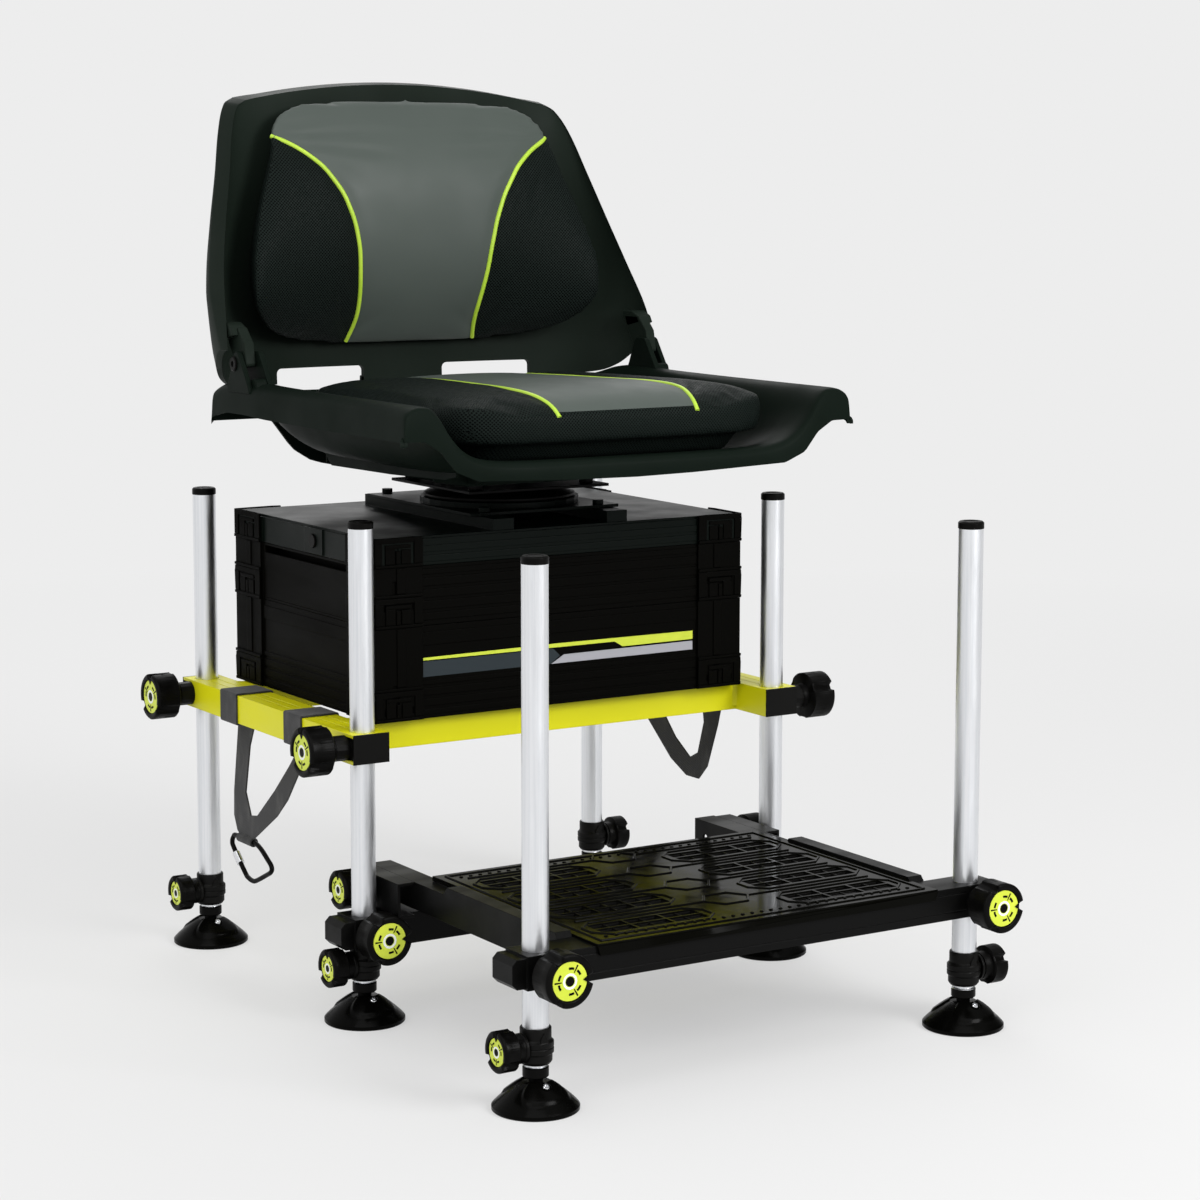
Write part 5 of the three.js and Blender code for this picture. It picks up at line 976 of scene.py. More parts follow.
# Legs: profiles are (radius, height) points
CAP_DISH_SHARES = (0.62, 0.56)
CAP_DISH_DEPTH = 0.8
COLLAR_PROFILE = [
    (10.7, 43.5), (13.4, 43.5), (15.6, 46.4), (15.6, 53), (17, 54.4), (17, 58.6), (16.4, 59.1), (16.4, 59.7),
    (17, 60.2), (17, 64.8), (15.6, 66), (14.7, 67.4), (14.7, 77), (14.2, 78), (12.8, 78), (12.8, 48),
    (10.7, 48),
]
BOSS_PROFILE = [(CORE, 14), (14, 14), (14, 16.6), (13.2, 17.5), (CORE, 17.5)]
EAR_OUTLINE = [(-5, 62), (5, 62), (3.2, 70), (0, 75), (-3.2, 70)]
EAR_SPAN = (14.2, 16.2)
INNER_PROFILE = [
    (CORE, 13), (5.6, 13), (6.8, 14.2), (6.8, 29.5), (8, 30.7), (11.2, 30.7), (12.3, 31.8), (12.3, 39.9),
    (11.2, 41), (10.2, 41), (10.2, 300), (8.6, 300), (8.6, 45), (CORE, 45),
]
FERRULE_TOP = 41
# The right front leg shows bare metal above this height of its ferrule
BARE_FERRULE_TOP = 36.5

# Feet
FOOT_PROFILE = [
    (CORE, 0.6), (37, 0.6), (38.2, 0), (40, 0), (41, 1), (41, 4.2), (39.5, 6), (36, 9.5), (32, 13.1),
    (28, 16.5), (24, 19.6), (20, 22.5), (16.5, 24.7), (13.2, 26.5), (CORE, 26.5),
]
SKIRT_STEPS = 4
SKIRT_BOTTOM = 4
SKIRT_INNER = 13
PAD_BOTTOM = 4.3
PAD_INNER = 13.4
PAD_ACROSS = 23.5
PAD_ALONG = 13.5
PAD_PLACE = 18.5
PAD_LIFT = 2.0
PAD_SOFTNESS = 0.16
FOOT_SCREW_Y = -18.5
FOOT_SCREW_Z = 25.2
FOOT_SCREW_LEAN = 34
CUP_PROFILE = [(1.5, -1), (5, -1), (5, 0.8), (4.4, 1.3), (3.7, 0.8), (3.7, 0.1), (1.5, 0.1)]
FOOT_SCREW_PROFILE = [(CORE, -1), (3.3, -1), (3.3, 0.8), (2.7, 1.5), (1.6, 1.5), (1.4, 0.4), (CORE, 0.4)]


def add_leg(row, word, side):
    """A tube with its cap, its collar and the inner leg with a dark ferrule."""
    name = f"{row}_{word}"
    body = f"leg_{name}"
    x, y, top = side * LEG_X, LEG_YS[row], LEG_TOPS[row]
    rim = top - CAP_HEIGHT
    tube = [(TUBE_RADIUS, TUBE_BOTTOM), (TUBE_RADIUS, rim), (TUBE_BORE, rim), (TUBE_BORE, TUBE_BOTTOM)]
    tube = placed(turned(tube, ROUND_STEPS, closed=True), (x, y, 0))
    piece(f"tube_{name}", *tube, "alloy", body, "bare_alloy", (f"leg_tube_{name}",))
    dish_outer, dish_inner = CAP_DISH_SHARES
    cap = [
        (CORE, rim),
        (CAP_RADIUS, rim),
        (CAP_RADIUS, top - CAP_BEVEL),
        (CAP_RADIUS - CAP_BEVEL, top),
        (CAP_RADIUS * dish_outer, top),
        (CAP_RADIUS * dish_inner, top - CAP_DISH_DEPTH),
        (CORE, top - CAP_DISH_DEPTH),
    ]
    cap = placed(turned(cap, ROUND_STEPS), (x, y, 0))
    piece(f"cap_{name}", *cap, "knob", body, "black_plastic", bevel=SMALL_BEVEL, flat_angle=KEEN_ANGLE)

    shapes = [
        turned(COLLAR_PROFILE, ROUND_STEPS, closed=True),
        placed(turned(BOSS_PROFILE, ROUND_STEPS), (0, 0, COLLAR_KNOB_HEIGHT), "x"),
        prism(EAR_OUTLINE, [-depth for depth in EAR_SPAN], "y"),
        prism(EAR_OUTLINE, EAR_SPAN, "y"),
    ]
    collar = moved(placed(joined(*shapes), turn=0 if side > 0 else math.pi), x, y)
    edges = ((f"leg_collar_{name}",), FINE_BEVEL, FINE_ANGLE)
    piece(f"collar_{name}", *collar, "plastic", body, "black_plastic", *edges)

    inner = placed(turned(INNER_PROFILE, ROUND_STEPS), (x, y, 0))
    made = piece(f"inner_{name}", *inner, "alloy", f"inner_{name}", "bare_alloy", (f"inner_leg_{name}",))
    made.data.materials.append(FINISHES["knob"])
    dark_below = BARE_FERRULE_TOP if (row, word) == ("footplate", "right") else FERRULE_TOP
    for face in made.data.polygons:
        if face.center.z < dark_below * MM:
            face.material_index = 1


def pad_lift(a, b):
    """How far the raised pads lift the skirt at a place of the disc."""
    reach = math.hypot(a / PAD_ACROSS, (abs(b) - PAD_PLACE) / PAD_ALONG)
    share = min(max((1 + PAD_SOFTNESS / 2 - reach) / PAD_SOFTNESS, 0), 1)
    return PAD_LIFT * share * share * (3 - 2 * share)


def add_foot(name, x, y):
    """A tilting disc foot: sloping skirt with raised pads front and back, a cup and its screw."""
    profile = [FOOT_PROFILE[0]]
    for low, high in zip(FOOT_PROFILE, FOOT_PROFILE[1:]):
        steps = SKIRT_STEPS if low[1] > SKIRT_BOTTOM and high[0] > SKIRT_INNER else 1
        for step in range(1, steps + 1):
            profile.append(tuple(a + (b - a) * step / steps for a, b in zip(low, high)))
    vertices, faces = turned(profile, RIM_STEPS)
    lifted = []
    for a, b, c in vertices:
        if c > PAD_BOTTOM and math.hypot(a, b) > PAD_INNER:
            c += pad_lift(a, b)
        lifted.append((a + x, b + y, c))
    body = f"foot_{name}"
    piece(f"mud_{name}", lifted, faces, "rubber", body, "black_plastic", (body,), flat_angle=FINE_ANGLE)
    lean = Matrix.Rotation(math.radians(FOOT_SCREW_LEAN), 3, "X")
    seat = Vector((x, y + FOOT_SCREW_Y, FOOT_SCREW_Z))
    parts = (("cup", CUP_PROFILE, "rubber"), ("screw", FOOT_SCREW_PROFILE, "steel"))
    for part, part_profile, finish in parts:
        vertices, faces = turned(part_profile, SMALL_STEPS)
        points = [tuple(lean @ Vector(point) + seat) for point in vertices]
        piece(f"foot_{part}_{name}", points, faces, finish, body, "bare_alloy", flat_angle=KEEN_ANGLE)


def add_legs():
    for side, word in SIDES:
        for row, y in LEG_YS.items():
            add_leg(row, word, side)
            add_foot(f"{row}_{word}", side * LEG_X, y)


# Seat shell
SHELL_STEPS = 4
LIP_ROLL = 3
REAR_LEAN = 1.5
EDGE_LEAST = 1
EDGE_ROWS_SHARES = (0, 0.12, 0.35, 0.6, 0.85)
# Webs under the pan: half distance, lower edge and rear end of each pair, then the lower edge's shape
LONG_WEBS = ((150, 538, 92), (110, 531, 118))
LONG_WEB_FRONT_Y = -200
LONG_WEB_FRONT_FOOT = 549
LONG_WEB_KNEES = ((-175, 6), (-60, 2))
LONG_WEB_TAIL = (16, 13)
LONG_WEB_MIDDLE_Y = 40
CROSS_WEB_YS = (-150, -90, 40, 90)
CROSS_WEB_HALF = 148
CROSS_WEB_LOWER = [(-148, 540), (-108, 533), (108, 533), (148, 540)]
WEB_THICKNESS = 3
WEB_SINK = 3
WEB_TOUCH = 2

# Hinge cheeks: inner and outer x and how far the front edge stands forward
CHEEK_SPANS = [(259, 264.6, 0), (239.6, 246, -12)]
CHEEK_PROFILE = [
    (38, 622, 1), (40, 629, 1), (43.5, 634, 1), (61, 659, 1), (64, 663.5, 1), (67.5, 665.5, 1),
    (71, 665.5, 0), (74.5, 663.5, 0), (77, 659, 0), (88, 635, 0), (92, 629, 0), (92, 622, 0),
]
CHEEK_SILL = [(30, 626), (33, 635.5), (36, 637.5), (44, 637.5), (50, 626)]
HINGE_PLACE = (264.5, 74, 652)
HINGE_SCREW_PROFILE = [(CORE, 0), (8, 0), (8, 1.2), (6.8, 2.2), (3.4, 2.2), (3, 0.8), (CORE, 0.8)]
HINGE_PIN_PROFILE = [(3.9, -24), (3.9, 0)]

# Swivel head: profiles rise from its underside
SWIVEL_Y = -28
SWIVEL_BOTTOM = 508
DISH_PROFILE = [(CORE, 0), (81, 0), (82, 1), (82, 3.2), (80, 4.4), (66, 8), (58, 12), (CORE, 12)]
SWIVEL_PLATE_HALF = 86
SWIVEL_PLATE_SPAN = (11.9, 15)
STUD_REACH = 68
NUT_PROFILE = [(8.5, 15), (8.5, 20), (7.5, 21)]
NUT_SIDES = 6
STUD_PROFILE = [(6, 15), (6, PAN_FLOOR - SWIVEL_BOTTOM)]


def seat_point(row, side, column):
    """A point of the seat shell's upper face from one row and one column of shares."""
    depth_share, arm_share, floor_share = row
    across_share, up_share, skirt_share = column
    arm_top = PAN_FLOOR + arm_share * PAN_RISE
    floor = PAN_FLOOR + floor_share * PAN_RISE
    z = floor + up_share * (arm_top - floor) - skirt_share * SKIRT_DEPTH
    return Vector((side * across_share * SEAT_HALF_WIDTH, SEAT_FRONT_Y + depth_share * SEAT_DEPTH, z))


def pan_height(x, y):
    """Height of the seat pan's upper face."""
    depth_share = (y - SEAT_FRONT_Y) / SEAT_DEPTH
    arm_top = straight_at(SEAT_ROW_SHARES, depth_share, 1) * PAN_RISE
    floor = straight_at(SEAT_ROW_SHARES, depth_share, 2) * PAN_RISE
    up = straight_at(SEAT_COLUMN_SHARES, abs(x) / SEAT_HALF_WIDTH, 1)
    return PAN_FLOOR + floor + up * (arm_top - floor)


def thickened(grid, wall):
    """A grid set off from another one by the wall."""
    rows, columns = len(grid), len(grid[0])
    made = []
    for row in range(rows):
        line = []
        for column in range(columns):
            along = grid[min(row + 1, rows - 1)][column] - grid[max(row - 1, 0)][column]
            across = grid[row][min(column + 1, columns - 1)] - grid[row][max(column - 1, 0)]
            normal = across.cross(along)
            if normal.length == 0:
                normal = Vector((0, 0, 1))
            line.append(grid[row][column] - normal.normalized() * wall)
        made.append(line)
    return made


def closing_rows(row, columns, table, outward, shares):
    """Rows of points that close the shell's front or rear, between its lower edge and its rim."""
    made = []
    for share in shares:
        line = []
        for side, column in columns:
            rim = seat_point(row, side, column)
            low = min(PAN_FLOOR + straight_at(table, column[0], 1) * PAN_RISE, rim.z - EDGE_LEAST)
            line.append(Vector((rim.x, rim.y + outward(share), low + share * (rim.z - low))))
        made.append(line)
    return made


def add_seat_shell():
    """The pan with its rolled front lip, closed arm ends, rear wall and the webs under it."""
    columns = mirrored(dense(SEAT_COLUMN_SHARES, SHELL_STEPS))
    rows = dense(SEAT_ROW_SHARES, SHELL_STEPS)
    grid = closing_rows(
        rows[0], columns, SEAT_FACE_SHARES, lambda share: -LIP_ROLL * share * (1 - share), EDGE_ROWS_SHARES
    )
    grid += [[seat_point(row, side, column) for side, column in columns] for row in rows]
    grid += closing_rows(
        rows[-1], columns, SEAT_REAR_SHARES, lambda share: REAR_LEAN * (1 - share), reversed(EDGE_ROWS_SHARES)
    )
    inner = thickened(grid, SEAT_WALL)
    shape = skin([[tuple(p) for p in line] for line in grid], [[tuple(p) for p in line] for line in inner])
    piece("seat_pan", *shape, "shell", "seat", "shell_plastic", ("seat_shell",), flat_angle=SHARP_ANGLE)
    add_seat_webs()
    add_hinges()
    add_swivel_head()


def add_seat_webs():
    webs = []
    tail_length, tail_rise = LONG_WEB_TAIL
    for x, low, rear in LONG_WEBS:
        outline = [
            (LONG_WEB_FRONT_Y, pan_height(x, LONG_WEB_FRONT_Y) - WEB_SINK),
            (LONG_WEB_FRONT_Y, LONG_WEB_FRONT_FOOT),
            *((y, low + rise) for y, rise in LONG_WEB_KNEES),
            (rear - tail_length, low),
            (rear, low + tail_rise),
            (rear, pan_height(x, rear) - WEB_SINK),
            (LONG_WEB_MIDDLE_Y, pan_height(x, LONG_WEB_MIDDLE_Y) - WEB_TOUCH),
        ]
        for side in (-1, 1):
            webs.append(prism(outline, both(side, x, x - WEB_THICKNESS), "x"))
    for y in CROSS_WEB_YS:
        high = pan_height(CROSS_WEB_HALF, y) - WEB_TOUCH
        outline = [(-CROSS_WEB_HALF, high), *CROSS_WEB_LOWER, (CROSS_WEB_HALF, high)]
        webs.append(prism(outline, (y, y + WEB_THICKNESS), "y"))
    piece("seat_webs", *joined(*webs), "shell", "seat", "shell_plastic", bevel=WEB_BEVEL)


def add_hinges():
    """Cheeks on the seat's rear corners with the backrest's screws and pins."""
    x, y, z = HINGE_PLACE
    for side, word in SIDES:
        cheeks = []
        for inner, outer, front in CHEEK_SPANS:
            outline = [(y + front * lean, z) for y, z, lean in CHEEK_PROFILE]
            cheeks.append(prism(outline, both(side, inner, outer), "x"))
        cheeks.append(prism(CHEEK_SILL, both(side, CHEEK_SPANS[1][1], CHEEK_SPANS[0][0]), "x"))
        piece(f"cheeks_{word}", *joined(*cheeks), "shell", "seat", "shell_plastic", bevel=CHEEK_BEVEL)
        screw = placed(turned(HINGE_SCREW_PROFILE, SMALL_STEPS), (side * x, y, z), SIDE_AXES[side])
        piece(f"pivot_screw_{word}", *screw, "knob", "seat", "shell_plastic")
        pin = placed(turned(HINGE_PIN_PROFILE, SMALL_STEPS), (side * x, y, z), SIDE_AXES[side])
        piece(f"pivot_pin_{word}", *pin, "steel", "seat", "bare_alloy")


def add_swivel_head():
    def raised(profile):
        return [(radius, SWIVEL_BOTTOM + rise) for radius, rise in profile]

    dish = placed(turned(raised(DISH_PROFILE), ROUND_STEPS * 2), (0, SWIVEL_Y, 0))
    piece("swivel_dish", *dish, "bar", "seat", "black_alloy", flat_angle=KEEN_ANGLE)
    half = SWIVEL_PLATE_HALF
    low, high = SWIVEL_PLATE_SPAN
    span = (SWIVEL_BOTTOM + low, SWIVEL_BOTTOM + high)
    shapes = [block((-half, half), (SWIVEL_Y - half, SWIVEL_Y + half), span)]
    for x in (-STUD_REACH, STUD_REACH):
        for y in (SWIVEL_Y - STUD_REACH, SWIVEL_Y + STUD_REACH):
            shapes.append(placed(turned(raised(NUT_PROFILE), NUT_SIDES), (x, y, 0)))
            shapes.append(placed(turned(raised(STUD_PROFILE), SMALL_STEPS), (x, y, 0)))
    piece("swivel_plate", *joined(*shapes), "bar", "seat", "black_alloy", bevel=PLATE_BEVEL)


# Backrest shell
WRAP_POWER = 4
SLOT_CORNER_STEPS = 6
SLOT_FOOT = BACK_BOTTOM - 20
SLOT_SPAN = (BACK_FACE_Y - 90, BACK_FACE_Y + 60)
TAB_OVERLAP = 5
TAB_CORNER = [(0, 5), (1.5, 1.5), (5, 0)]
TAB_SPAN = (BACK_FACE_Y + 0.3, BACK_FACE_Y + BACK_WALL + BACK_RIM / 2)
TONGUE_SPAN = (246.6, 258.4)
TONGUE_PROFILE = [
    (57, 652), (58.5, 649.5), (62, 648.5), (81, 648.5), (85, 652), (100, 672), (108, 690), (78, 690),
    (62, 674),
]
TONGUE_ROOT_SPAN = (246.6, 265)
TONGUE_ROOT = [(75, 682), (100, 677), (112, 686), (112, 695), (92, 695), (80, 690)]


def back_edge(height_share):
    """The panel's half width at a height and how far its sides wrap forward there."""
    half_width = table_at(BACK_EDGE_SHARES, height_share, 1) * BACK_HALF_WIDTH
    wrap = table_at(BACK_EDGE_SHARES, height_share, 2) * BACK_WRAP
    return half_width, wrap


def back_depth(height_share, wrap, across):
    return BACK_FACE_Y + BACK_LEAN * height_share - wrap * (1 - math.sqrt(max(1 - across ** WRAP_POWER, 0)))


def back_face(x, z):
    """Where the panel's front face stands."""
    height_share = (z - BACK_BOTTOM) / BACK_HEIGHT
    half_width, wrap = back_edge(height_share)
    return back_depth(height_share, wrap, min(abs(x) / half_width, 1))


def back_points(row, side, column):
    """A point of the panel's front face and the one behind it."""
    row_share, crown_share, row_rim = row
    across, column_rim, lift = column
    height_share = row_share + lift * (1 - row_share) ** WRAP_POWER
    half_width, wrap = back_edge(height_share)
    x = side * across * half_width
    y = back_depth(height_share, wrap, across)
    z = BACK_BOTTOM + height_share * BACK_HEIGHT + crown_share * BACK_CROWN * (1 - across ** 2)
    rim = max(row_rim, column_rim)
    flare = row_rim * BACK_TOP_FLARE if row_share > 0.5 else 0
    low = min(1, BACK_LOW_RIM + (1 - BACK_LOW_RIM) * row_share / BACK_LOW_REACH)
    back = (x + side * column_rim * BACK_FLARE * low, y + BACK_WALL + rim * BACK_RIM * low, z + flare)
    return (x, y, z), back


def add_backrest_shell():
    """The wrapped panel with its rim, two slots with round corners and the tab between them."""
    columns = mirrored(dense(BACK_COLUMN_SHARES, SHELL_STEPS))
    front, back = [], []
    for row in dense(BACK_ROW_SHARES, SHELL_STEPS):
        pairs = [back_points(row, side, column) for side, column in columns]
        front.append([pair[0] for pair in pairs])
        back.append([pair[1] for pair in pairs])
    # The backrest's panel, tab and tongues take the shell colour painted lighter for the light on them
    shape = (*skin(front, back), "bucket", "backrest", "shell_plastic", ("backrest_shell",))
    made = piece("backrest_bucket", *shape, flat_angle=WIDE_ANGLE)
    outline = [(BACK_TAB_HALF, SLOT_FOOT)]
    level = BACK_SLOT_TOP - SLOT_CORNER
    for x, start in ((BACK_TAB_HALF + SLOT_CORNER, math.pi), (BACK_SLOT_OUTER_X - SLOT_CORNER, math.pi / 2)):
        for step in range(SLOT_CORNER_STEPS + 1):
            angle = start - step / SLOT_CORNER_STEPS * math.pi / 2
            outline.append((x + SLOT_CORNER * math.cos(angle), level + SLOT_CORNER * math.sin(angle)))
    outline.append((BACK_SLOT_OUTER_X, SLOT_FOOT))
    slots = [prism([(side * a, b) for a, b in outline], SLOT_SPAN, "y") for side in (-1, 1)]
    cut_out(made, joined(*slots))
    high, drop = BACK_BOTTOM + TAB_OVERLAP, BACK_BOTTOM - BACK_TAB_DROP
    left = [(-BACK_TAB_HALF, high)] + [(a - BACK_TAB_HALF, drop + b) for a, b in TAB_CORNER]
    tab = prism(left + [(-a, b) for a, b in reversed(left)], TAB_SPAN, "y")
    piece("backrest_tab", *tab, "bucket", "backrest", "shell_plastic", bevel=TAB_BEVEL)
    for side, word in SIDES:
        tongue = prism(TONGUE_PROFILE, both(side, *TONGUE_SPAN), "x")
        root = prism(TONGUE_ROOT, both(side, *TONGUE_ROOT_SPAN), "x")
        shape = joined(tongue, root)
        piece(f"tongue_{word}", *shape, "bucket", "backrest", "shell_plastic", bevel=TONGUE_BEVEL)


def cut_out(made, shape):
    """Cuts a closed shape out of an object's mesh."""
    mesh = mesh_of("cutter", *shape)
    cutter = linked("cutter", mesh)
    hole = made.modifiers.new("cut", "BOOLEAN")
    hole.operation = "DIFFERENCE"
    hole.solver = "EXACT"
    hole.object = cutter
    bpy.context.view_layer.update()
    apply_modifiers(made)
    bpy.data.objects.remove(cutter)
    bpy.data.meshes.remove(mesh)
    made.data.shade_smooth()
    made.data.set_sharp_from_angle(angle=math.radians(SHARP_ANGLE))


# Cushions
SEAT_SQUARENESS = 0.34
SEAT_EDGE_POWER = 0.45
BACK_SEAM_STEPS = 120
BACK_FACE_POWER = 3
BACK_BULGE_POWER = 6
# Seams: a slope is read over this share, a stuffed cover is held this near a seam
SLOPE_SHARE = 0.01
SEAM_HOLD = 4
BACK_SEAM_REACH = 14
BACK_SEAM_HALF_WIDTH = 200
BACK_SEAM_MARGIN_SHARE = 0.03
BACK_HOLD_REACH = 9
SEAT_SEAM_REACH = 6
SEAT_HOLD_REACH = 4
SEAT_SNAP_SHARE = 0.6
# Where the piping starts along its cushion and how far it runs, as shares
BACK_PIPING_RUN = (-0.01, 0.012)
SEAT_PIPING_RUN = (0.005, 0.985, 1.5)
BACK_PIPING_START_Y = 40
SEAT_PIPING_START_Z = 700
PIPING_PLACES = 160
PIPING_STEPS = 12


def rings(first, loops, last):
    """A closed skin from a first point over loops of points to a last one."""
    spokes = len(loops[0])
    vertices = [first] + [point for loop in loops for point in loop] + [last]
    faces = []
    end = len(vertices) - 1
    for spoke in range(spokes):
        beside = (spoke + 1) % spokes
        faces.append((0, 1 + spoke, 1 + beside))
        for loop in range(len(loops) - 1):
            a, b = 1 + loop * spokes, 1 + (loop + 1) * spokes
            faces.append((a + spoke, b + spoke, b + beside, a + beside))
        a = 1 + (len(loops) - 1) * spokes
        faces.append((a + spoke, end, a + beside))
    return vertices, faces


def seat_cushion_shape():
    """A squarish cushion whose underside rests on the seat pan."""
    centre = (SEAT_CUSHION_FRONT_Y + SEAT_CUSHION_REAR_Y) / 2
    half_depth = (SEAT_CUSHION_REAR_Y - SEAT_CUSHION_FRONT_Y) / 2
    seam = []
    for spoke in range(CUSHION_SPOKES):
        angle = 2 * math.pi * (spoke + 0.5) / CUSHION_SPOKES
        parts = (math.cos(angle), math.sin(angle))
        x, y = (math.copysign(abs(part) ** SEAT_SQUARENESS, part) for part in parts)
        seam.append((x * SEAT_CUSHION_HALF_WIDTH, y * half_depth))

    def upper(x, y):
        along = (y + half_depth) / (2 * half_depth)
        across = min(abs(x) / SEAT_CUSHION_HALF_WIDTH, 1)
        rise = table_at(SEAT_CROWN_SHARES, along, 1) * (1 - across ** ACROSS_POWER) ** SEAT_EDGE_POWER
        return SEAT_CUSHION_SEAM + SEAT_CUSHION_RISE * rise

    def under(x, y):
        return min(pan_height(x, y) + SEAT_CUSHION_GAP, SEAT_CUSHION_FOOT)

    loops = [[(x * s, centre + y * s, upper(x * s, y * s)) for x, y in seam] for s in FACE_RING_SHARES]
    for s, drop in SEAT_SIDE_SHARES:
        height = SEAT_CUSHION_SEAM + (SEAT_CUSHION_FOOT - SEAT_CUSHION_SEAM) * drop
        loops.append([(x * s, centre + y * s, height) for x, y in seam])
    for s in UNDER_RING_SHARES[1:]:
        loops.append([(x * s, centre + y * s, under(x * s, centre + y * s)) for x, y in seam])
    return rings((0, centre, upper(0, 0)), loops, (0, centre, under(0, centre)))


def resampled_seam():
    """The back cushion's outline as evenly spread points."""
    table = [(index, *row) for index, row in enumerate(BACK_SEAM_SHARES)]
    path = []
    for step in range(BACK_SEAM_STEPS + 1):
        place = step / BACK_SEAM_STEPS * (len(table) - 1)
        across, up, sweep = (table_at(table, place, column) for column in (1, 2, 3))
        path.append(Vector((
            max(across, 0) * BACK_CUSHION_HALF_WIDTH,
            BACK_CUSHION_SEAM_Y + sweep * BACK_CUSHION_SWEEP,
            BACK_CUSHION_BOTTOM + up * BACK_CUSHION_HEIGHT,
        )))
    lengths = [0.0]
    for low, high in zip(path, path[1:]):
        lengths.append(lengths[-1] + (high - low).length)
    half = CUSHION_SPOKES // 2
    points = []
    for step in range(half + 1):
        goal = lengths[-1] * step / half
        upper = max(next(index for index, length in enumerate(lengths) if length >= goal - 1e-9), 1)
        share = (goal - lengths[upper - 1]) / (lengths[upper] - lengths[upper - 1])
        points.append(path[upper - 1].lerp(path[upper], share))
    return [tuple(p) for p in points] + [(-p.x, p.y, p.z) for p in reversed(points[1:-1])]


def back_share(z):
    return (z - BACK_CUSHION_BOTTOM) / BACK_CUSHION_HEIGHT


def back_middle(z):
    return BACK_CUSHION_SEAM_Y + table_at(BACK_MIDDLE_SHARES, back_share(z), 1) * BACK_CUSHION_SWEEP


def back_cushion_shape():
    """A cushion whose seam sweeps forward with the backrest's sides."""
    seam = resampled_seam()

    def shrunk(share, depth):
        points = []
        for x, y, z in seam:
            height = BACK_CUSHION_CENTRE + (z - BACK_CUSHION_CENTRE) * share
            points.append((x * share, depth(x * share, height, y, share), height))
        return points

    def face(x, z, seam_y, share):
        crown = BACK_CUSHION_BULGE * math.sqrt(1 - share ** BACK_BULGE_POWER)
        bend = share ** BACK_FACE_POWER
        return (back_middle(z) + BACK_CUSHION_BULGE) * (1 - bend) + seam_y * bend - crown

    def back(x, z, seam_y=0, share=0):
        return back_face(x, z) - BACK_CUSHION_GAP

    loops = [shrunk(s, face) for s in FACE_RING_SHARES]
    loops.append(seam)
    loops += [shrunk(s, back) for s in UNDER_RING_SHARES]
    first = (0, face(0, BACK_CUSHION_CENTRE, 0, 0), BACK_CUSHION_CENTRE)
    last = (0, back(0, BACK_CUSHION_CENTRE), BACK_CUSHION_CENTRE)
    return rings(first, loops, last)


def remeshed(made):
    """Rebuilds the object's mesh from even voxels and calms their steps."""
    voxels = made.modifiers.new("voxels", "REMESH")
    voxels.mode = "VOXEL"
    voxels.voxel_size = VOXEL * MM
    calm = made.modifiers.new("calm", "SMOOTH")
    calm.factor = 0.5
    calm.iterations = SMOOTH_TURNS
    apply_modifiers(made)


def apply_modifiers(made):
    graph = bpy.context.evaluated_depsgraph_get()
    result = bpy.data.meshes.new_from_object(made.evaluated_get(graph))
    old = made.data
    made.modifiers.clear()
    made.data = result
    bpy.data.meshes.remove(old)


def puffed(made, pinned, cap):
    """Blows the mesh up like a stuffed cover; pinned(co) tells which points stay."""
    group = made.vertex_groups.new(name="pinned")
    rest = [vertex.co.copy() for vertex in made.data.vertices]
    for vertex in made.data.vertices:
        weight = pinned(vertex.co / MM)
        if weight > 0:
            group.add([vertex.index], weight, "REPLACE")
    cloth = made.modifiers.new("cloth", "CLOTH")
    for key, value in CLOTH_SETTINGS.items():
        setattr(cloth.settings, key, value)
    cloth.settings.effector_weights.gravity = 0
    cloth.settings.vertex_group_mass = "pinned"
    cloth.point_cache.frame_start = 1
    cloth.point_cache.frame_end = PUFF_FRAMES
    scene = bpy.context.scene
    for number in range(1, PUFF_FRAMES + 1):
        scene.frame_set(number)
    graph = bpy.context.evaluated_depsgraph_get()
    blown = made.evaluated_get(graph).to_mesh()
    ends = [vertex.co.copy() for vertex in blown.vertices]
    made.evaluated_get(graph).to_mesh_clear()
    made.modifiers.clear()
    made.vertex_groups.clear()
    for vertex, start, end in zip(made.data.vertices, rest, ends):
        move = end - start
        if move.length > cap * MM:
            move *= cap * MM / move.length
        vertex.co = start + move
    scene.frame_set(1)


class Seams:
    """A cushion's two piping lines: half their distance by place along the cushion, as shares."""

    def __init__(self, table, axis, low, length, half_width):
        self.table = table
        self.axis = axis
        self.low = low
        self.length = length
        self.half_width = half_width

    def share(self, point):
        return (point[self.axis] - self.low) / self.length

    def half(self, share):
        return straight_at(self.table, share, 1) * self.half_width

    def distance(self, point):
        """How far a cushion point is from the nearer line, in millimetres."""
        share = self.share(point)
        rise = self.half(share + SLOPE_SHARE) - self.half(share - SLOPE_SHARE)
        slope = rise / (2 * SLOPE_SHARE * self.length)
        return (abs(point[0]) - self.half(share)) / math.sqrt(1 + slope ** 2)


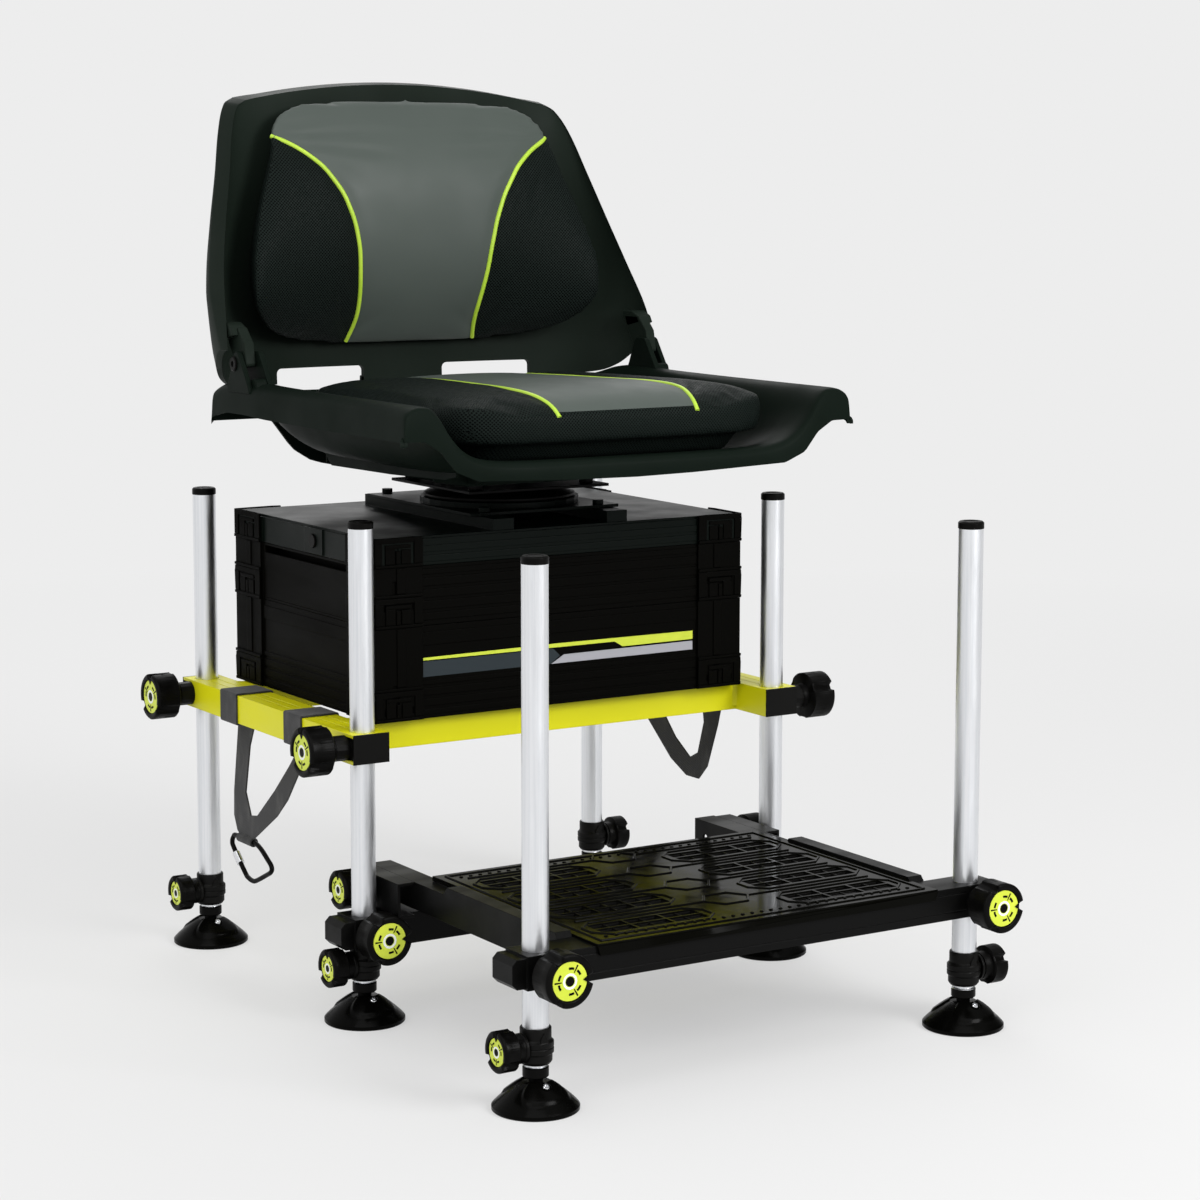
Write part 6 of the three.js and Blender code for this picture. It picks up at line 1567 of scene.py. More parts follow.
def upholstered(made, seams, sewn, held, grey, snapped, outward, cap):
    """Blows a cushion up, sinks it along its seams, smooths it once and gives each panel its cover."""
    def pinned(point):
        if held(point) or (sewn(point) and abs(seams.distance(point)) < SEAM_HOLD):
            return 1.0
        return 0.0

    remeshed(made)
    puffed(made, pinned, cap)
    for vertex in made.data.vertices:
        place = vertex.co / MM
        if sewn(place):
            valley = SEAM_VALLEY * math.exp(-(seams.distance(place) / SEAM_REACH) ** 2)
            vertex.co = vertex.co - outward * valley * MM
    made.data.materials.clear()
    made.data.materials.append(FINISHES["vinyl"])
    made.data.materials.append(FINISHES["mesh"])
    rounding = made.modifiers.new("smooth", "SUBSURF")
    rounding.levels = 1
    rounding.render_levels = 1
    apply_modifiers(made)
    mesh = made.data
    mesh.shade_smooth()
    covers = [set() for vertex in mesh.vertices]
    for face in mesh.polygons:
        face.material_index = 0 if grey(face.center / MM) else 1
        for index in face.vertices:
            covers[index].add(face.material_index)
    for vertex, cover in zip(mesh.vertices, covers):
        if len(cover) == 2:
            vertex.co = snapped(vertex.co / MM) * MM
    unwrapped(mesh)


def unwrapped(mesh):
    """Flat cover coordinates in metres, laid on each face from the side it mostly looks to."""
    layer = mesh.uv_layers.new(name="cover")
    for face in mesh.polygons:
        normal = [abs(part) for part in face.normal]
        away = normal.index(max(normal))
        first, second = [axis for axis in range(3) if axis != away]
        for loop in face.loop_indices:
            place = mesh.vertices[mesh.loops[loop].vertex_index].co
            layer.data[loop].uv = (place[first], place[second])


def surface_points(made, points, direction, sink):
    """Points dropped onto the cushion along a direction, then sunk a little."""
    tree = BVHTree.FromObject(made, bpy.context.evaluated_depsgraph_get())
    ray = Vector(direction)
    landed = []
    for point in points:
        start = Vector(point) * MM
        hit = tree.ray_cast(start, ray)[0]
        if hit is None and landed:
            level = start + ray * ray.dot(landed[-1] * MM - start)
            hit = tree.find_nearest(level)[0]
        if hit is not None:
            landed.append(hit / MM + ray * sink)
    return landed


def add_piping(name, made, seams, shares, side, start, direction, body):
    """A round cord along one seam, dropped onto the cushion from a plane before it."""
    points = []
    for share in shares:
        point = [side * seams.half(share), start, start]
        point[seams.axis] = seams.low + share * seams.length
        points.append(point)
    landed = surface_points(made, points, direction, PIPING_SINK)
    kept = [landed[0]]
    for point in landed[1:]:
        if (point - kept[-1]).length > PIPING_STEP:
            kept.append(point)
    for turn in range(2):
        kept = [kept[0]] + [(a + 2 * b + c) / 4 for a, b, c in zip(kept, kept[1:], kept[2:])] + [kept[-1]]
    cord = swept(smooth_path(kept, 2), PIPING_RADIUS, PIPING_STEPS)
    piece(name, *cord, "piping", body, "vinyl", flat_angle=ROUND_ANGLE)


def add_back_cushion():
    shape, stands_for = back_cushion_shape(), ("backrest_cushion",)
    made = piece("back_cushion", *shape, "vinyl", "backrest", "vinyl", stands_for, flat_angle=SOFT_ANGLE)
    top_share = BACK_PIPING_SHARES[-1][0]
    seams = Seams(BACK_PIPING_SHARES, 2, BACK_CUSHION_BOTTOM, BACK_CUSHION_HEIGHT, BACK_CUSHION_HALF_WIDTH)

    def behind(point, reach):
        return point[1] > back_face(point[0], point[2]) - reach

    def sewn(point):
        hidden = behind(point, BACK_SEAM_REACH) and abs(point[0]) < BACK_SEAM_HALF_WIDTH
        return not hidden and seams.share(point) <= top_share + BACK_SEAM_MARGIN_SHARE

    def held(point):
        return behind(point, BACK_HOLD_REACH)

    def grey(centre):
        share = seams.share(centre)
        return share > top_share or abs(centre[0]) < seams.half(share)

    def snapped(point):
        half = seams.half(seams.share(point))
        if abs(abs(point[0]) - half) < VOXEL:
            point[0] = math.copysign(half, point[0])
        return point

    upholstered(made, seams, sewn, held, grey, snapped, Vector((0, -1, 0)), BACK_PUFF_CAP)
    first, length = BACK_PIPING_RUN
    shares = [first + (top_share + length) * step / PIPING_PLACES for step in range(PIPING_PLACES + 1)]
    for side, word in SIDES:
        name = f"back_piping_{word}"
        add_piping(name, made, seams, shares, side, BACK_PIPING_START_Y, (0, 1, 0), "backrest")


def add_seat_cushion():
    shape, stands_for = seat_cushion_shape(), ("seat_cushion",)
    made = piece("seat_cushion_cover", *shape, "vinyl", "seat", "vinyl", stands_for, flat_angle=SOFT_ANGLE)
    depth = SEAT_CUSHION_REAR_Y - SEAT_CUSHION_FRONT_Y
    seams = Seams(SEAT_PIPING_SHARES, 1, SEAT_CUSHION_FRONT_Y, depth, SEAT_CUSHION_HALF_WIDTH)

    def sewn(point):
        return point[2] >= SEAT_CUSHION_SEAM - SEAT_SEAM_REACH

    def held(point):
        return point[2] < SEAT_CUSHION_FOOT + SEAT_HOLD_REACH

    def grey(centre):
        return abs(centre[0]) < seams.half(seams.share(centre)) and centre[2] > SEAT_CUSHION_FRONT_SEAM

    def snapped(point):
        half = seams.half(seams.share(point))
        if abs(abs(point[0]) - half) < VOXEL * SEAT_SNAP_SHARE:
            point[0] = math.copysign(half, point[0])
        elif abs(point[2] - SEAT_CUSHION_FRONT_SEAM) < VOXEL:
            point[2] = SEAT_CUSHION_FRONT_SEAM
        return point

    upholstered(made, seams, sewn, held, grey, snapped, Vector((0, 0, 1)), SEAT_PUFF_CAP)
    first, length, power = SEAT_PIPING_RUN
    shares = [first + length * (step / PIPING_PLACES) ** power for step in range(PIPING_PLACES + 1)]
    for side, word in SIDES:
        name = f"seat_piping_{word}"
        add_piping(name, made, seams, shares, side, SEAT_PIPING_START_Z, (0, 0, -1), "seat")


# Tread plate
TREAD_HALF_WIDTH = 198
TREAD_REAR_Y = -232
TREAD_FRONT_Y = -545.6
TREAD_TOP = 153.5
TREAD_FACE = TREAD_TOP - 1.2
TREAD_UNDER = 150.3
TREAD_WALL = 2.8
TREAD_SKIRT_FRONT_Y = -501.5
TREAD_SKIRT_FOOT = 147.3
TREAD_LIP_FOOT = 141
SLOT_ROWS = 4
SLOTS_ACROSS = 3
SLOTS_ALONG = 2
SLOT_GROUP_WIDTH = 118
SLOT_GROUP_DEPTH = 32
SLOT_GROUP_X = 112
SLOT_PITCH = 68
SLOT_FIRST_Y = -278
SLOT_RIB = 3
WEB_DEPTH = 9
WEB_WALL = 1.4
WEB_OVERLAP = 0.2
WEB_BAR_DROP = 2.4
# Raised ribs of the plate's pattern
RIB_HALF = 1.7
RIB_CREST_SHARE = 0.5
RIB_END_SHARE = 0.4
RIB_SINK = 0.2
FIELD_HALF_WIDTH = SLOT_GROUP_WIDTH / 2 + 9
FIELD_HALF_DEPTH = SLOT_GROUP_DEPTH / 2 + 8
FIELD_CORNER = 15
LADDER_HALF_WIDTH = 26
LADDER_HALF_DEPTH = 22
LADDER_REAR_MARGIN = 24
LADDER_FRONT_MARGIN = 18
LADDER_STOPS = (52, 172)
BORDER_X = 188
BORDER_MARGIN = 10
STUD_X = 176
STUD_PITCH = 11
STUD_MARGINS = (21, 20)
TREAD_STUD_PROFILE = [(2.2, TREAD_FACE - 0.2), (2.2, TREAD_FACE + 0.3), (1.2, TREAD_TOP)]
TREAD_STUD_SIDES = 8


def add_tread_plate():
    """A glossy plate with raised polygon ribs between slot groups, and a turned-down lip."""
    shapes = [slotted_plate()]
    for side in (-1, 1):
        x = both(side, TREAD_HALF_WIDTH - TREAD_WALL, TREAD_HALF_WIDTH)
        shapes.append(block(x, (TREAD_SKIRT_FRONT_Y, TREAD_REAR_Y), (TREAD_SKIRT_FOOT, TREAD_UNDER)))
    lip = [
        (-TREAD_HALF_WIDTH, TREAD_UNDER),
        (TREAD_HALF_WIDTH, TREAD_UNDER),
        (TREAD_HALF_WIDTH - TREAD_WALL, TREAD_LIP_FOOT),
        (-TREAD_HALF_WIDTH + TREAD_WALL, TREAD_LIP_FOOT),
    ]
    shapes.append(prism(lip, (TREAD_FRONT_Y, TREAD_FRONT_Y + TREAD_WALL), "y"))
    stands_for = ("tread_plate",)
    panel = joined(*shapes)
    piece("tread_panel", *panel, "gloss", "footplate", "tread_plastic", stands_for, bevel=PLATE_BEVEL)
    piece("tread_webs", *joined(*tread_webs()), "plastic", "footplate", "tread_plastic")
    piece("tread_ribs", *joined(*tread_ribs()), "gloss", "footplate", "tread_plastic", bevel=RIB_BEVEL)
    front, rear = STUD_MARGINS
    stud = turned(TREAD_STUD_PROFILE, TREAD_STUD_SIDES)
    studs = []
    for x in range(-STUD_X, STUD_X + 1, STUD_PITCH):
        for y in (TREAD_FRONT_Y + front, TREAD_REAR_Y - rear):
            studs.append(placed(stud, (x, y, 0)))
    piece("tread_studs", *joined(*studs), "gloss", "footplate", "tread_plastic")


def slot_boxes():
    """Left, right, front and rear of every slot."""
    width = (SLOT_GROUP_WIDTH - (SLOTS_ACROSS - 1) * SLOT_RIB) / SLOTS_ACROSS
    depth = (SLOT_GROUP_DEPTH - (SLOTS_ALONG - 1) * SLOT_RIB) / SLOTS_ALONG
    boxes = []
    for side in (-1, 1):
        for row in range(SLOT_ROWS):
            for across in range(SLOTS_ACROSS):
                for along in range(SLOTS_ALONG):
                    x = side * SLOT_GROUP_X - SLOT_GROUP_WIDTH / 2 + across * (width + SLOT_RIB)
                    y = SLOT_FIRST_Y - row * SLOT_PITCH - along * (depth + SLOT_RIB)
                    boxes.append((x, x + width, y - depth, y))
    return boxes


def tread_webs():
    """Thin walls hanging from the plate round and between the slots."""
    webs = []
    low, high = TREAD_UNDER - WEB_DEPTH, TREAD_UNDER + WEB_OVERLAP
    for x0, x1, y0, y1 in slot_boxes():
        for x in (x0 - WEB_WALL, x1):
            webs.append(block((x, x + WEB_WALL), (y0 - WEB_WALL, y1 + WEB_WALL), (low, high)))
        for y in (y0 - WEB_WALL, y1):
            webs.append(block((x0, x1), (y, y + WEB_WALL), (low, high)))
        middle = (x0 + x1) / 2
        bar = (middle - WEB_WALL / 2, middle + WEB_WALL / 2)
        webs.append(block(bar, (y0, y1), (low, TREAD_TOP - WEB_BAR_DROP)))
    return webs


def slotted_plate():
    """The plate as a grid of cells with the slots left open."""
    boxes = slot_boxes()
    xs = sorted({-TREAD_HALF_WIDTH, TREAD_HALF_WIDTH, *(value for box in boxes for value in box[:2])})
    ys = sorted({TREAD_FRONT_Y, TREAD_REAR_Y, *(value for box in boxes for value in box[2:])})

    def is_open(column, row):
        if not (0 <= column < len(xs) - 1 and 0 <= row < len(ys) - 1):
            return True
        x = (xs[column] + xs[column + 1]) / 2
        y = (ys[row] + ys[row + 1]) / 2
        return any(box[0] < x < box[1] and box[2] < y < box[3] for box in boxes)

    vertices = [(x, y, z) for z in (TREAD_UNDER, TREAD_FACE) for y in ys for x in xs]
    layer = len(xs) * len(ys)
    wide = len(xs)
    faces = []
    for row in range(len(ys) - 1):
        for column in range(wide - 1):
            if is_open(column, row):
                continue
            a = row * wide + column
            b, c, d = a + 1, a + 1 + wide, a + wide
            faces.append((a, d, c, b))
            faces.append((layer + a, layer + b, layer + c, layer + d))
            for near, (p, q) in (
                ((column, row - 1), (a, b)),
                ((column + 1, row), (b, c)),
                ((column, row + 1), (c, d)),
                ((column - 1, row), (d, a)),
            ):
                if is_open(*near):
                    faces.append((p, q, layer + q, layer + p))
    return vertices, faces


def rib(start, end):
    """A low ridge with sloping sides from one point of the plate to another."""
    a, b = Vector((*start, 0)), Vector((*end, 0))
    along = (b - a).normalized()
    side = Vector((-along.y, along.x, 0))
    a = a - along * RIB_HALF * RIB_END_SHARE
    b = b + along * RIB_HALF * RIB_END_SHARE
    foot, crest = TREAD_FACE - RIB_SINK, RIB_HALF * RIB_CREST_SHARE
    section = ((-RIB_HALF, foot), (-crest, TREAD_TOP), (crest, TREAD_TOP), (RIB_HALF, foot))
    vertices = []
    for point in (a, b):
        for reach, height in section:
            vertices.append((point.x + side.x * reach, point.y + side.y * reach, height))
    faces = [(0, 1, 2, 3), (4, 5, 6, 7), (0, 1, 5, 4), (1, 2, 6, 5), (2, 3, 7, 6), (3, 0, 4, 7)]
    return vertices, faces


def fence(points):
    """Ribs round a closed outline."""
    return [rib(start, end) for start, end in zip(points, points[1:] + points[:1])]


def tread_ribs():
    """Outlines of eight-sided fields round the slot groups, a ladder down the middle and a border."""
    shapes = []
    group_middle = SLOT_FIRST_Y - SLOT_GROUP_DEPTH / 2
    for side in (-1, 1):
        for row in range(SLOT_ROWS):
            x, y = side * SLOT_GROUP_X, group_middle - row * SLOT_PITCH
            points = []
            for a, b in ((-1, -1), (1, -1), (1, 1), (-1, 1)):
                pair = [
                    (x + a * FIELD_HALF_WIDTH, y + b * (FIELD_HALF_DEPTH - FIELD_CORNER)),
                    (x + a * (FIELD_HALF_WIDTH - FIELD_CORNER), y + b * FIELD_HALF_DEPTH),
                ]
                points += pair if a * b > 0 else pair[::-1]
            shapes += fence(points)
    for row in range(SLOT_ROWS + 1):
        y = group_middle - (row - 0.5) * SLOT_PITCH
        if not TREAD_FRONT_Y + LADDER_FRONT_MARGIN <= y <= TREAD_REAR_Y - LADDER_REAR_MARGIN:
            continue
        angles = [math.pi / 3 * step for step in range(6)]
        shapes += fence([
            (LADDER_HALF_WIDTH * math.cos(angle), y + LADDER_HALF_DEPTH * math.sin(angle)) for angle in angles
        ])
        near, far = LADDER_STOPS
        for side in (-1, 1):
            shapes.append(rib((side * LADDER_HALF_WIDTH, y), (side * near, y)))
            shapes.append(rib((side * near, y), (side * far, y)))
    front, rear = TREAD_FRONT_Y + BORDER_MARGIN, TREAD_REAR_Y - BORDER_MARGIN
    return shapes + fence([(-BORDER_X, front), (BORDER_X, front), (BORDER_X, rear), (-BORDER_X, rear)])


# Straps and carabiner
STRAP_REACH = 100
STRAP_DROP = 132
STRAP_HANG_TOP = 266
STRAP_WIDTH = 40
STRAP_WALL = 2
STRAP_YS = (83, -71)
RAIL_BOTTOM = 268
RAIL_TOP = 298
RAIL_HALF = 20
LEFT_STRAP_SHARES = [
    (1.03, 0), (1.17, 0.62), (1.18, 0.83), (1.1, 0.95), (1.03, 0.98), (0.72, 0.98), (0.61, 0.93),
    (0.12, 0.7), (-0.14, 0.53), (-0.26, 0.42), (-0.5, 0.2), (-0.91, 0), (-0.51, 0), (-0.2, 0.24),
    (0.16, 0.49), (0.6, 0.76), (0.76, 0.78), (0.88, 0.6), (0.76, 0.2), (0.63, 0),
]
RIGHT_STRAP_SHARES = [
    (1.03, 0), (0.62, 0.32), (0.12, 0.62), (-0.2, 0.73), (-0.45, 0.73), (-0.62, 0.6), (-0.82, 0.22),
    (-0.91, 0), (-0.51, 0), (-0.55, 0.22), (-0.43, 0.5), (-0.27, 0.56), (0.03, 0.42), (0.38, 0.16),
    (0.63, 0),
]
CARABINER_SHARES = [
    (0.4, 0), (0.88, 0), (0.96, 0.06), (1, 0.2), (0.96, 0.36), (0.68, 0.88), (0.6, 0.97), (0.5, 1),
    (0.4, 0.95), (0.14, 0.68), (0.04, 0.56), (0.02, 0.44), (0.1, 0.3),
]
CARABINER_LENGTH = 100
CARABINER_DROP = 43
CARABINER_FRONT_Y = 25
STRAP_EYE_Z = 134
WIRE_RADIUS = 2.6
WIRE_STEPS = 16
WIRE_PLACES = 6
BAND_GAP = 0.3
BAND_INNER_CORNER = 0.6
BAND_OUTER_CORNER = 2.4
BAND_CORNER_STEPS = 4
# The sewn end that holds the carabiner, heights running backward, and the carabiner's gate sleeve
EYE_PROFILE = [(3.1, -70), (5.1, -70), (5.1, -105), (3.1, -105)]
SLEEVE_RUN_SHARES = (0.2, 0.62)
SLEEVE_RADIUS = 4.2
SLEEVE_STEPS = 8
GATE_POINTS = (4, 5)


def band(x, y):
    """A closed loop of webbing round the rail, with rounded corners."""
    def loop(gap, corner):
        half, low, high = RAIL_HALF + gap - corner, RAIL_BOTTOM - gap + corner, RAIL_TOP + gap - corner
        points = []
        for start, (cx, cz) in enumerate(((half, high), (-half, high), (-half, low), (half, low))):
            for step in range(BAND_CORNER_STEPS + 1):
                angle = (start + step / BAND_CORNER_STEPS) * math.pi / 2
                points.append((x + cx + corner * math.cos(angle), cz + corner * math.sin(angle)))
        return points

    inner = loop(BAND_GAP, BAND_INNER_CORNER)
    outer = loop(BAND_GAP + STRAP_WALL, BAND_OUTER_CORNER)
    count = len(inner)
    vertices, faces = [], []
    for depth in (y - STRAP_WIDTH / 2, y + STRAP_WIDTH / 2):
        for loop_points in (inner, outer):
            vertices.extend((px, depth, pz) for px, pz in loop_points)
    for index in range(count):
        beside = (index + 1) % count
        a, b, c, d = 0, count, 2 * count, 3 * count
        faces.append((a + index, a + beside, c + beside, c + index))
        faces.append((b + index, d + index, d + beside, b + beside))
        faces.append((a + index, b + index, b + beside, a + beside))
        faces.append((c + index, c + beside, d + beside, d + index))
    return vertices, faces


def add_strap(side, shares, node):
    """A hanging loop of webbing with two bands round the rail, and a sewn end on the left."""
    x = side * LEG_X
    outline = [(along * STRAP_REACH, STRAP_HANG_TOP - down * STRAP_DROP) for along, down in shares]
    shapes = [prism(outline, (x - STRAP_WALL / 2, x + STRAP_WALL / 2), "x")]
    shapes += [band(x, y) for y in STRAP_YS]
    if side < 0:
        eye = placed(turned(EYE_PROFILE, SMALL_STEPS, closed=True), axis="-y")
        shapes.append(moved(eye, x, z=STRAP_EYE_Z))
    piece(node + "_webbing", *joined(*shapes), "webbing", "frame", "webbing", (node,), bevel=PLATE_BEVEL)


def add_carabiner():
    points = [
        (-LEG_X, CARABINER_FRONT_Y + along * CARABINER_LENGTH, STRAP_EYE_Z - down * CARABINER_DROP)
        for along, down in CARABINER_SHARES
    ]
    wire = swept(smooth_path(points, WIRE_PLACES, closed=True), WIRE_RADIUS, WIRE_STEPS, closed=True)
    piece("carabiner_wire", *wire, "knob", "carabiner", "black_wire", ("carabiner",), flat_angle=ROUND_ANGLE)
    start, end = (Vector(points[index]) for index in GATE_POINTS)
    low, high = (start.lerp(end, share) for share in SLEEVE_RUN_SHARES)
    gate = [low.lerp(high, step / SLEEVE_STEPS) for step in range(SLEEVE_STEPS + 1)]
    sleeve = swept(gate, SLEEVE_RADIUS, SMALL_STEPS)
    piece("carabiner_sleeve", *sleeve, "steel", "carabiner", "black_wire", bevel=SMALL_BEVEL)


# Decal and box details
BOX_HALF_WIDTH = 224
BOX_HALF_DEPTH = 163
POST_PROUD = 3
FRONT_POST = 55
SIDE_POST = 62
TIERS = ((298.4, 394.3, "frame"), (394.3, 456.3, "frame"), (456.3, 486.5, "lid"))
CLIP_RISE = 27
CLIP_LIFT = 4
CLIP_PROUD = 1.4
CLIP_GAP = 0.8
# A raised clip frame whose gaps draw two hooked shapes: along in thirds of the post, up as shares
CLIP_SHARES = [
    (0, 0.55, 0, 1), (0.55, 3, 0.8, 1), (2.55, 3, 0, 0.8), (0.75, 1.35, 0, 0.55), (0.75, 2.35, 0.6, 0.74),
    (1.75, 2.35, 0, 0.6), (1.42, 1.68, 0, 0.5),
]
LEDGE_PROUD = 1.9
LEDGE_RISE = 3.6
LEDGE_LIFT = 0.6
UPPER_LEDGE_SHARE = 0.8
SPINE_SHARES = (0.36, 0.55, 0.8)
RIDGE_PROUD = 0.9
DETAIL_SINK = 1
# Ridges: name, body, finish, ends of the box with ridges, heights
RIDGES = (
    ("low", "frame", "box", (-1, 1), ((302, 308), (311, 319), (322, 330), (333, 338), (374, 388))),
    ("middle", "frame", "box", (1,), ((400, 408), (411, 420), (423, 432), (435, 444), (447, 453))),
    ("top", "lid", "lid", (), ((460, 467), (470, 477))),
)
DECAL_SPAN = (POST_PROUD - BOX_HALF_DEPTH - 0.5, POST_PROUD - BOX_HALF_DEPTH + 0.2)
DECAL_BANDS = (
    ("lime", "disc", [
        (-169.7, 358.6), (64, 359), (74.1, 353), (163.6, 353.6), (163.6, 362.6), (-10, 363), (-169.7, 361.3),
    ]),
    ("silver", "silver", [(-14.5, 341.8), (163.5, 342.2), (163.5, 351.6), (1, 350.6)]),
    ("slate", "slate", [(-169.8, 341.5), (-15.5, 341.9), (-4, 350), (-12.2, 357.8), (-169.7, 357.5)]),
)


def add_decal():
    """Bands of a plain sticker on the base tray's front."""
    for name, finish, outline in DECAL_BANDS:
        piece(f"decal_{name}", *prism(outline, DECAL_SPAN, "y"), finish, "frame", "black_plastic")


def post_shapes(foot, top, wide):
    """Rectangles (along, up, proud) of one post's face in one tier."""
    third = wide / 3
    low = foot + CLIP_LIFT
    shapes = []
    for start, end, bottom, head in CLIP_SHARES:
        span = (low + CLIP_RISE * bottom, low + CLIP_RISE * head)
        shapes.append((third * start, third * end, *span, CLIP_PROUD))
    shapes.append((0, wide, foot + LEDGE_LIFT, foot + LEDGE_RISE, LEDGE_PROUD))
    if top > low + CLIP_RISE + LEDGE_RISE * 2:
        ledge = low + CLIP_RISE + CLIP_GAP
        start, end, proud = SPINE_SHARES
        shapes.append((0, wide, ledge, ledge + LEDGE_RISE * UPPER_LEDGE_SHARE, LEDGE_PROUD))
        shapes.append((wide * start, wide * end, ledge + LEDGE_RISE, top - CLIP_GAP, CLIP_PROUD * proud))
    return shapes


def add_box_details():
    """Clip frames and ledges on the corner posts and long ridges on the panels between them."""
    reach = BOX_HALF_WIDTH - FRONT_POST
    side_reach = BOX_HALF_DEPTH - SIDE_POST
    for foot, top, body in TIERS:
        shapes = []
        for end in (-1, 1):
            for side in (-1, 1):
                for a, b, low, high, proud in post_shapes(foot, top, FRONT_POST):
                    y = both(end, BOX_HALF_DEPTH - DETAIL_SINK, BOX_HALF_DEPTH + proud)
                    shapes.append(block(both(side, reach + a, reach + b), y, (low, high)))
                for a, b, low, high, proud in post_shapes(foot, top, SIDE_POST):
                    x = both(side, BOX_HALF_WIDTH - DETAIL_SINK, BOX_HALF_WIDTH + proud)
                    shapes.append(block(x, both(end, side_reach + a, side_reach + b), (low, high)))
        piece(f"clips_{int(foot)}", *joined(*shapes), "box", body, "black_plastic", bevel=FINE_BEVEL)
    front, flank = BOX_HALF_DEPTH - POST_PROUD, BOX_HALF_WIDTH - POST_PROUD
    for name, body, finish, ends, spans in RIDGES:
        shapes = []
        for low, high in spans:
            for end in (-1, 1):
                y = both(end, front - DETAIL_SINK, front + RIDGE_PROUD)
                shapes.append(block((-reach, reach), y, (low, high)))
                if end in ends:
                    x = both(end, flank - DETAIL_SINK, flank + RIDGE_PROUD)
                    shapes.append(block(x, (-side_reach, side_reach), (low, high)))
        piece(f"ridges_{name}", *joined(*shapes), finish, body, "black_plastic", bevel=PLATE_BEVEL)


# Finishes on the solids that stay
SLOT_FINISHES = {
    "lime_paint": "lime",
    "bare_alloy": "alloy",
    "black_alloy": "bar",
    "black_plastic": "plastic",
    "tread_plastic": "gloss",
    "shell_plastic": "shell",
    "vinyl": "vinyl",
    "webbing": "webbing",
    "black_wire": "knob",
}
NODE_FINISHES = {"base_tray": "box", "drawer_case": "box", "side_drawer": "box", "lid": "lid"}


def dress_nodes():
    slots = {part["node"]: part["material_slot"] for part in frame["record"]["subparts"]}
    for name, node in frame["nodes"].items():
        node.data.materials.clear()
        node.data.materials.append(FINISHES[NODE_FINISHES.get(name, SLOT_FINISHES[slots[name]])])


# Stage
BACKDROP = 0.847
FLOOR_ALBEDO = 0.30
FLOOR_LIT = 1.28
FADE_FROM = 1.1
FADE_TO = 3.2
FLOOR_RADIUS = 30
FLOOR_SIDES = 96
# The studio's dim side, which shades the right of the bare tubes
DIM_SIDE = (0.96, -0.28, 0.0)
DIM_RANGE = (0.45, 0.9, BACKDROP, BACKDROP * 0.05)
SUN_STRENGTH = 0.6
SUN_WIDTH = 40
SUN_TURN = (24, -14, 0)
# Name, place, target and size in millimetres, power in watts
SOFTBOXES = (
    ("left_softbox", (-2600, -1500, 1900), (-100, -100, 500), 1500, 16),
    ("front_softbox", (900, -2700, 1700), (0, -100, 450), 1200, 60),
    ("rear_softbox", (900, 2300, 2200), (0, 0, 500), 1600, 18),
)
SENSOR_WIDTH = 36
FAR_CLIP = 100


def add_floor():
    """A pale floor that takes soft shadows near the object and fades into the backdrop."""
    work = bmesh.new()
    bmesh.ops.create_circle(work, cap_ends=True, segments=FLOOR_SIDES, radius=FLOOR_RADIUS)
    mesh = bpy.data.meshes.new("floor")
    work.to_mesh(mesh)
    work.free()
    floor = linked("floor", mesh)
    paper = Finish("floor_paper", (FLOOR_ALBEDO,) * 3, PAPER_ROUGHNESS, 0.0, 0.0)
    glow_strength = BACKDROP - FLOOR_ALBEDO * FLOOR_LIT
    fill(paper.shader, {"Emission Color": (1, 1, 1, 1), "Emission Strength": glow_strength})
    glow = paper.node("ShaderNodeEmission", {"Strength": BACKDROP})
    reach = paper.node("ShaderNodeVectorMath", operation="LENGTH")
    paper.link(paper.place, reach.inputs[0])
    fade = paper.spread(reach.outputs["Value"], FADE_FROM, FADE_TO)
    mix = paper.node("ShaderNodeMixShader")
    output = paper.tree.nodes["Material Output"]
    paper.link(fade, mix.inputs["Fac"])
    paper.link(paper.shader.outputs["BSDF"], mix.inputs[1])
    paper.link(glow.outputs["Emission"], mix.inputs[2])
    paper.link(mix.outputs["Shader"], output.inputs["Surface"])
    mesh.materials.append(paper.material)


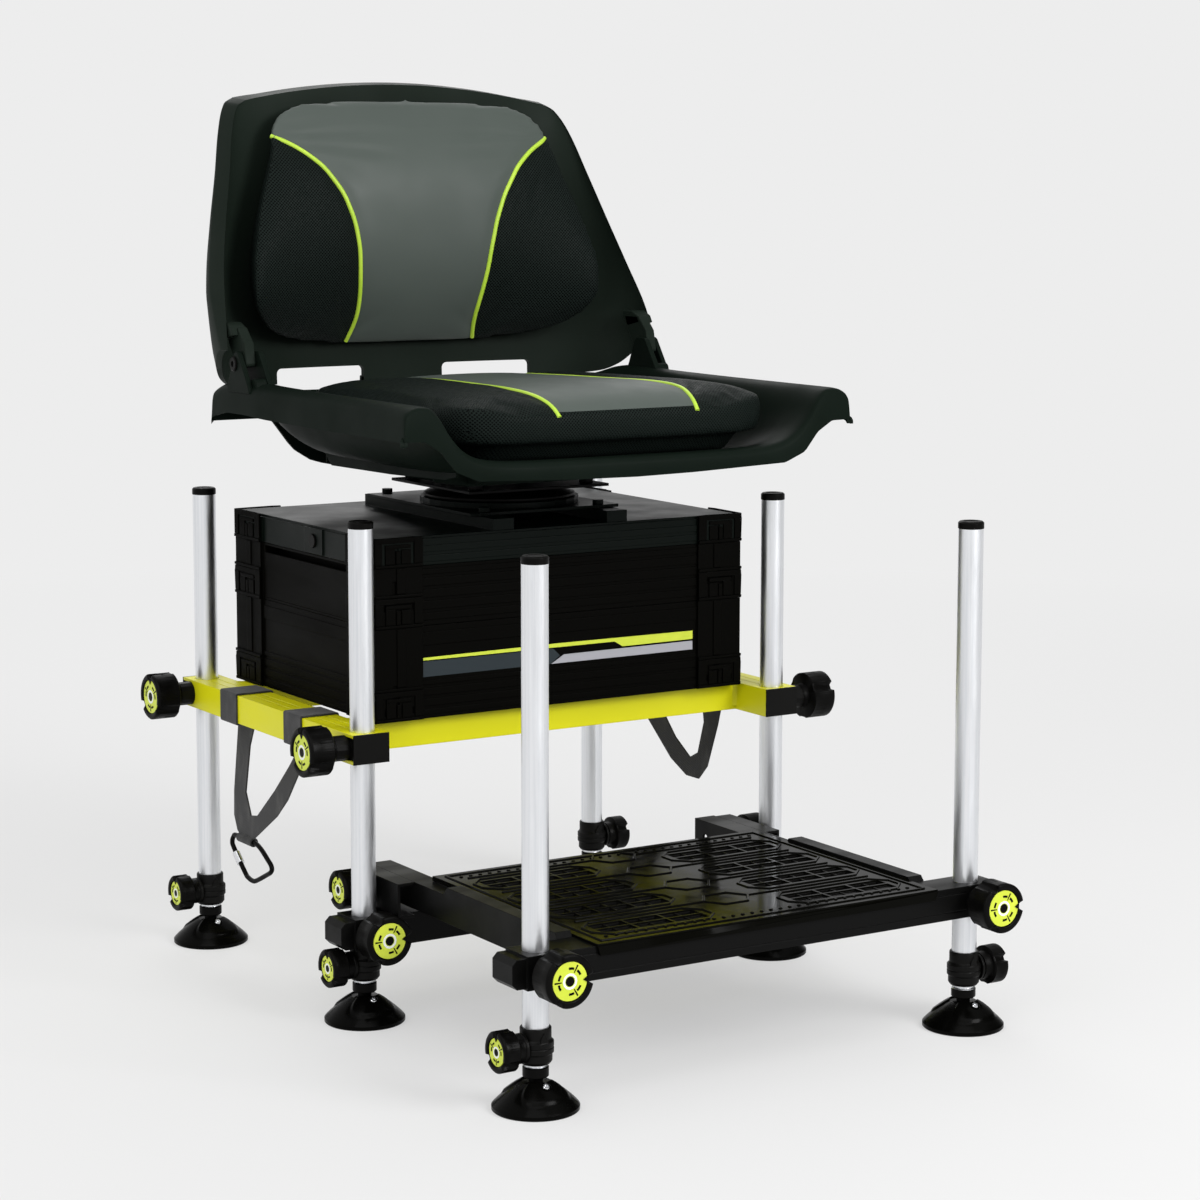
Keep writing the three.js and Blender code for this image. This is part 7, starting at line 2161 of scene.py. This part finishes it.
def add_lights():
    """A pale surround with one dim side, a broad sun and three softboxes."""
    world = bpy.data.worlds.new("studio")
    world.use_nodes = True
    tree = world.node_tree
    background = tree.nodes["Background"]
    direction = tree.nodes.new("ShaderNodeTexCoord")
    towards = tree.nodes.new("ShaderNodeVectorMath")
    towards.operation = "DOT_PRODUCT"
    towards.inputs[1].default_value = DIM_SIDE
    dimmed = tree.nodes.new("ShaderNodeMapRange")
    dimmed.interpolation_type = "SMOOTHSTEP"
    fill(dimmed, dict(zip(("From Min", "From Max", "To Min", "To Max"), DIM_RANGE)))
    tree.links.new(direction.outputs["Generated"], towards.inputs[0])
    tree.links.new(towards.outputs["Value"], dimmed.inputs["Value"])
    tree.links.new(dimmed.outputs["Result"], background.inputs["Color"])
    fill(background, {"Strength": 1.0})
    bpy.context.scene.world = world
    sun = bpy.data.lights.new("soft_sun", "SUN")
    sun.energy = SUN_STRENGTH
    sun.angle = math.radians(SUN_WIDTH)
    linked("soft_sun", sun).rotation_euler = [math.radians(angle) for angle in SUN_TURN]
    for name, place, target, size, power in SOFTBOXES:
        area = bpy.data.lights.new(name, "AREA")
        area.shape = "SQUARE"
        area.size = size * MM
        area.energy = power
        lamp = linked(name, area)
        start = Vector(place) * MM
        lamp.location = start
        lamp.rotation_euler = (Vector(target) * MM - start).to_track_quat("-Z", "Y").to_euler()


def add_camera():
    data = bpy.data.cameras.new("photo_camera")
    data.sensor_width = SENSOR_WIDTH
    data.lens = CAMERA_LENS
    data.shift_x = CAMERA_SHIFT_X
    data.shift_y = CAMERA_SHIFT_Y
    data.clip_end = FAR_CLIP
    camera = linked("photo_camera", data)
    yaw, pitch, roll = (math.radians(angle) for angle in (CAMERA_YAW, CAMERA_PITCH, CAMERA_ROLL))
    forward = Vector((math.sin(yaw) * math.cos(pitch), math.cos(yaw) * math.cos(pitch), -math.sin(pitch)))
    level = Vector((math.cos(yaw), -math.sin(yaw), 0))
    upright = level.cross(forward)
    right = level * math.cos(roll) + upright * math.sin(roll)
    up = upright * math.cos(roll) - level * math.sin(roll)
    turn = Matrix((right, up, -forward)).transposed()
    camera.matrix_world = Matrix.Translation(Vector(CAMERA_PLACE) * MM) @ turn.to_4x4()
    bpy.context.scene.camera = camera


bpy.context.scene.view_settings.view_transform = "Standard"
add_camera()
add_lights()
add_floor()
dress_nodes()
add_legs()
add_knobs()
add_seat_shell()
add_backrest_shell()
add_back_cushion()
add_seat_cushion()
add_tread_plate()
add_strap(-1, LEFT_STRAP_SHARES, "left_strap")
add_strap(1, RIGHT_STRAP_SHARES, "right_strap")
add_carabiner()
add_decal()
add_box_details()

bpy.context.view_layer.update()
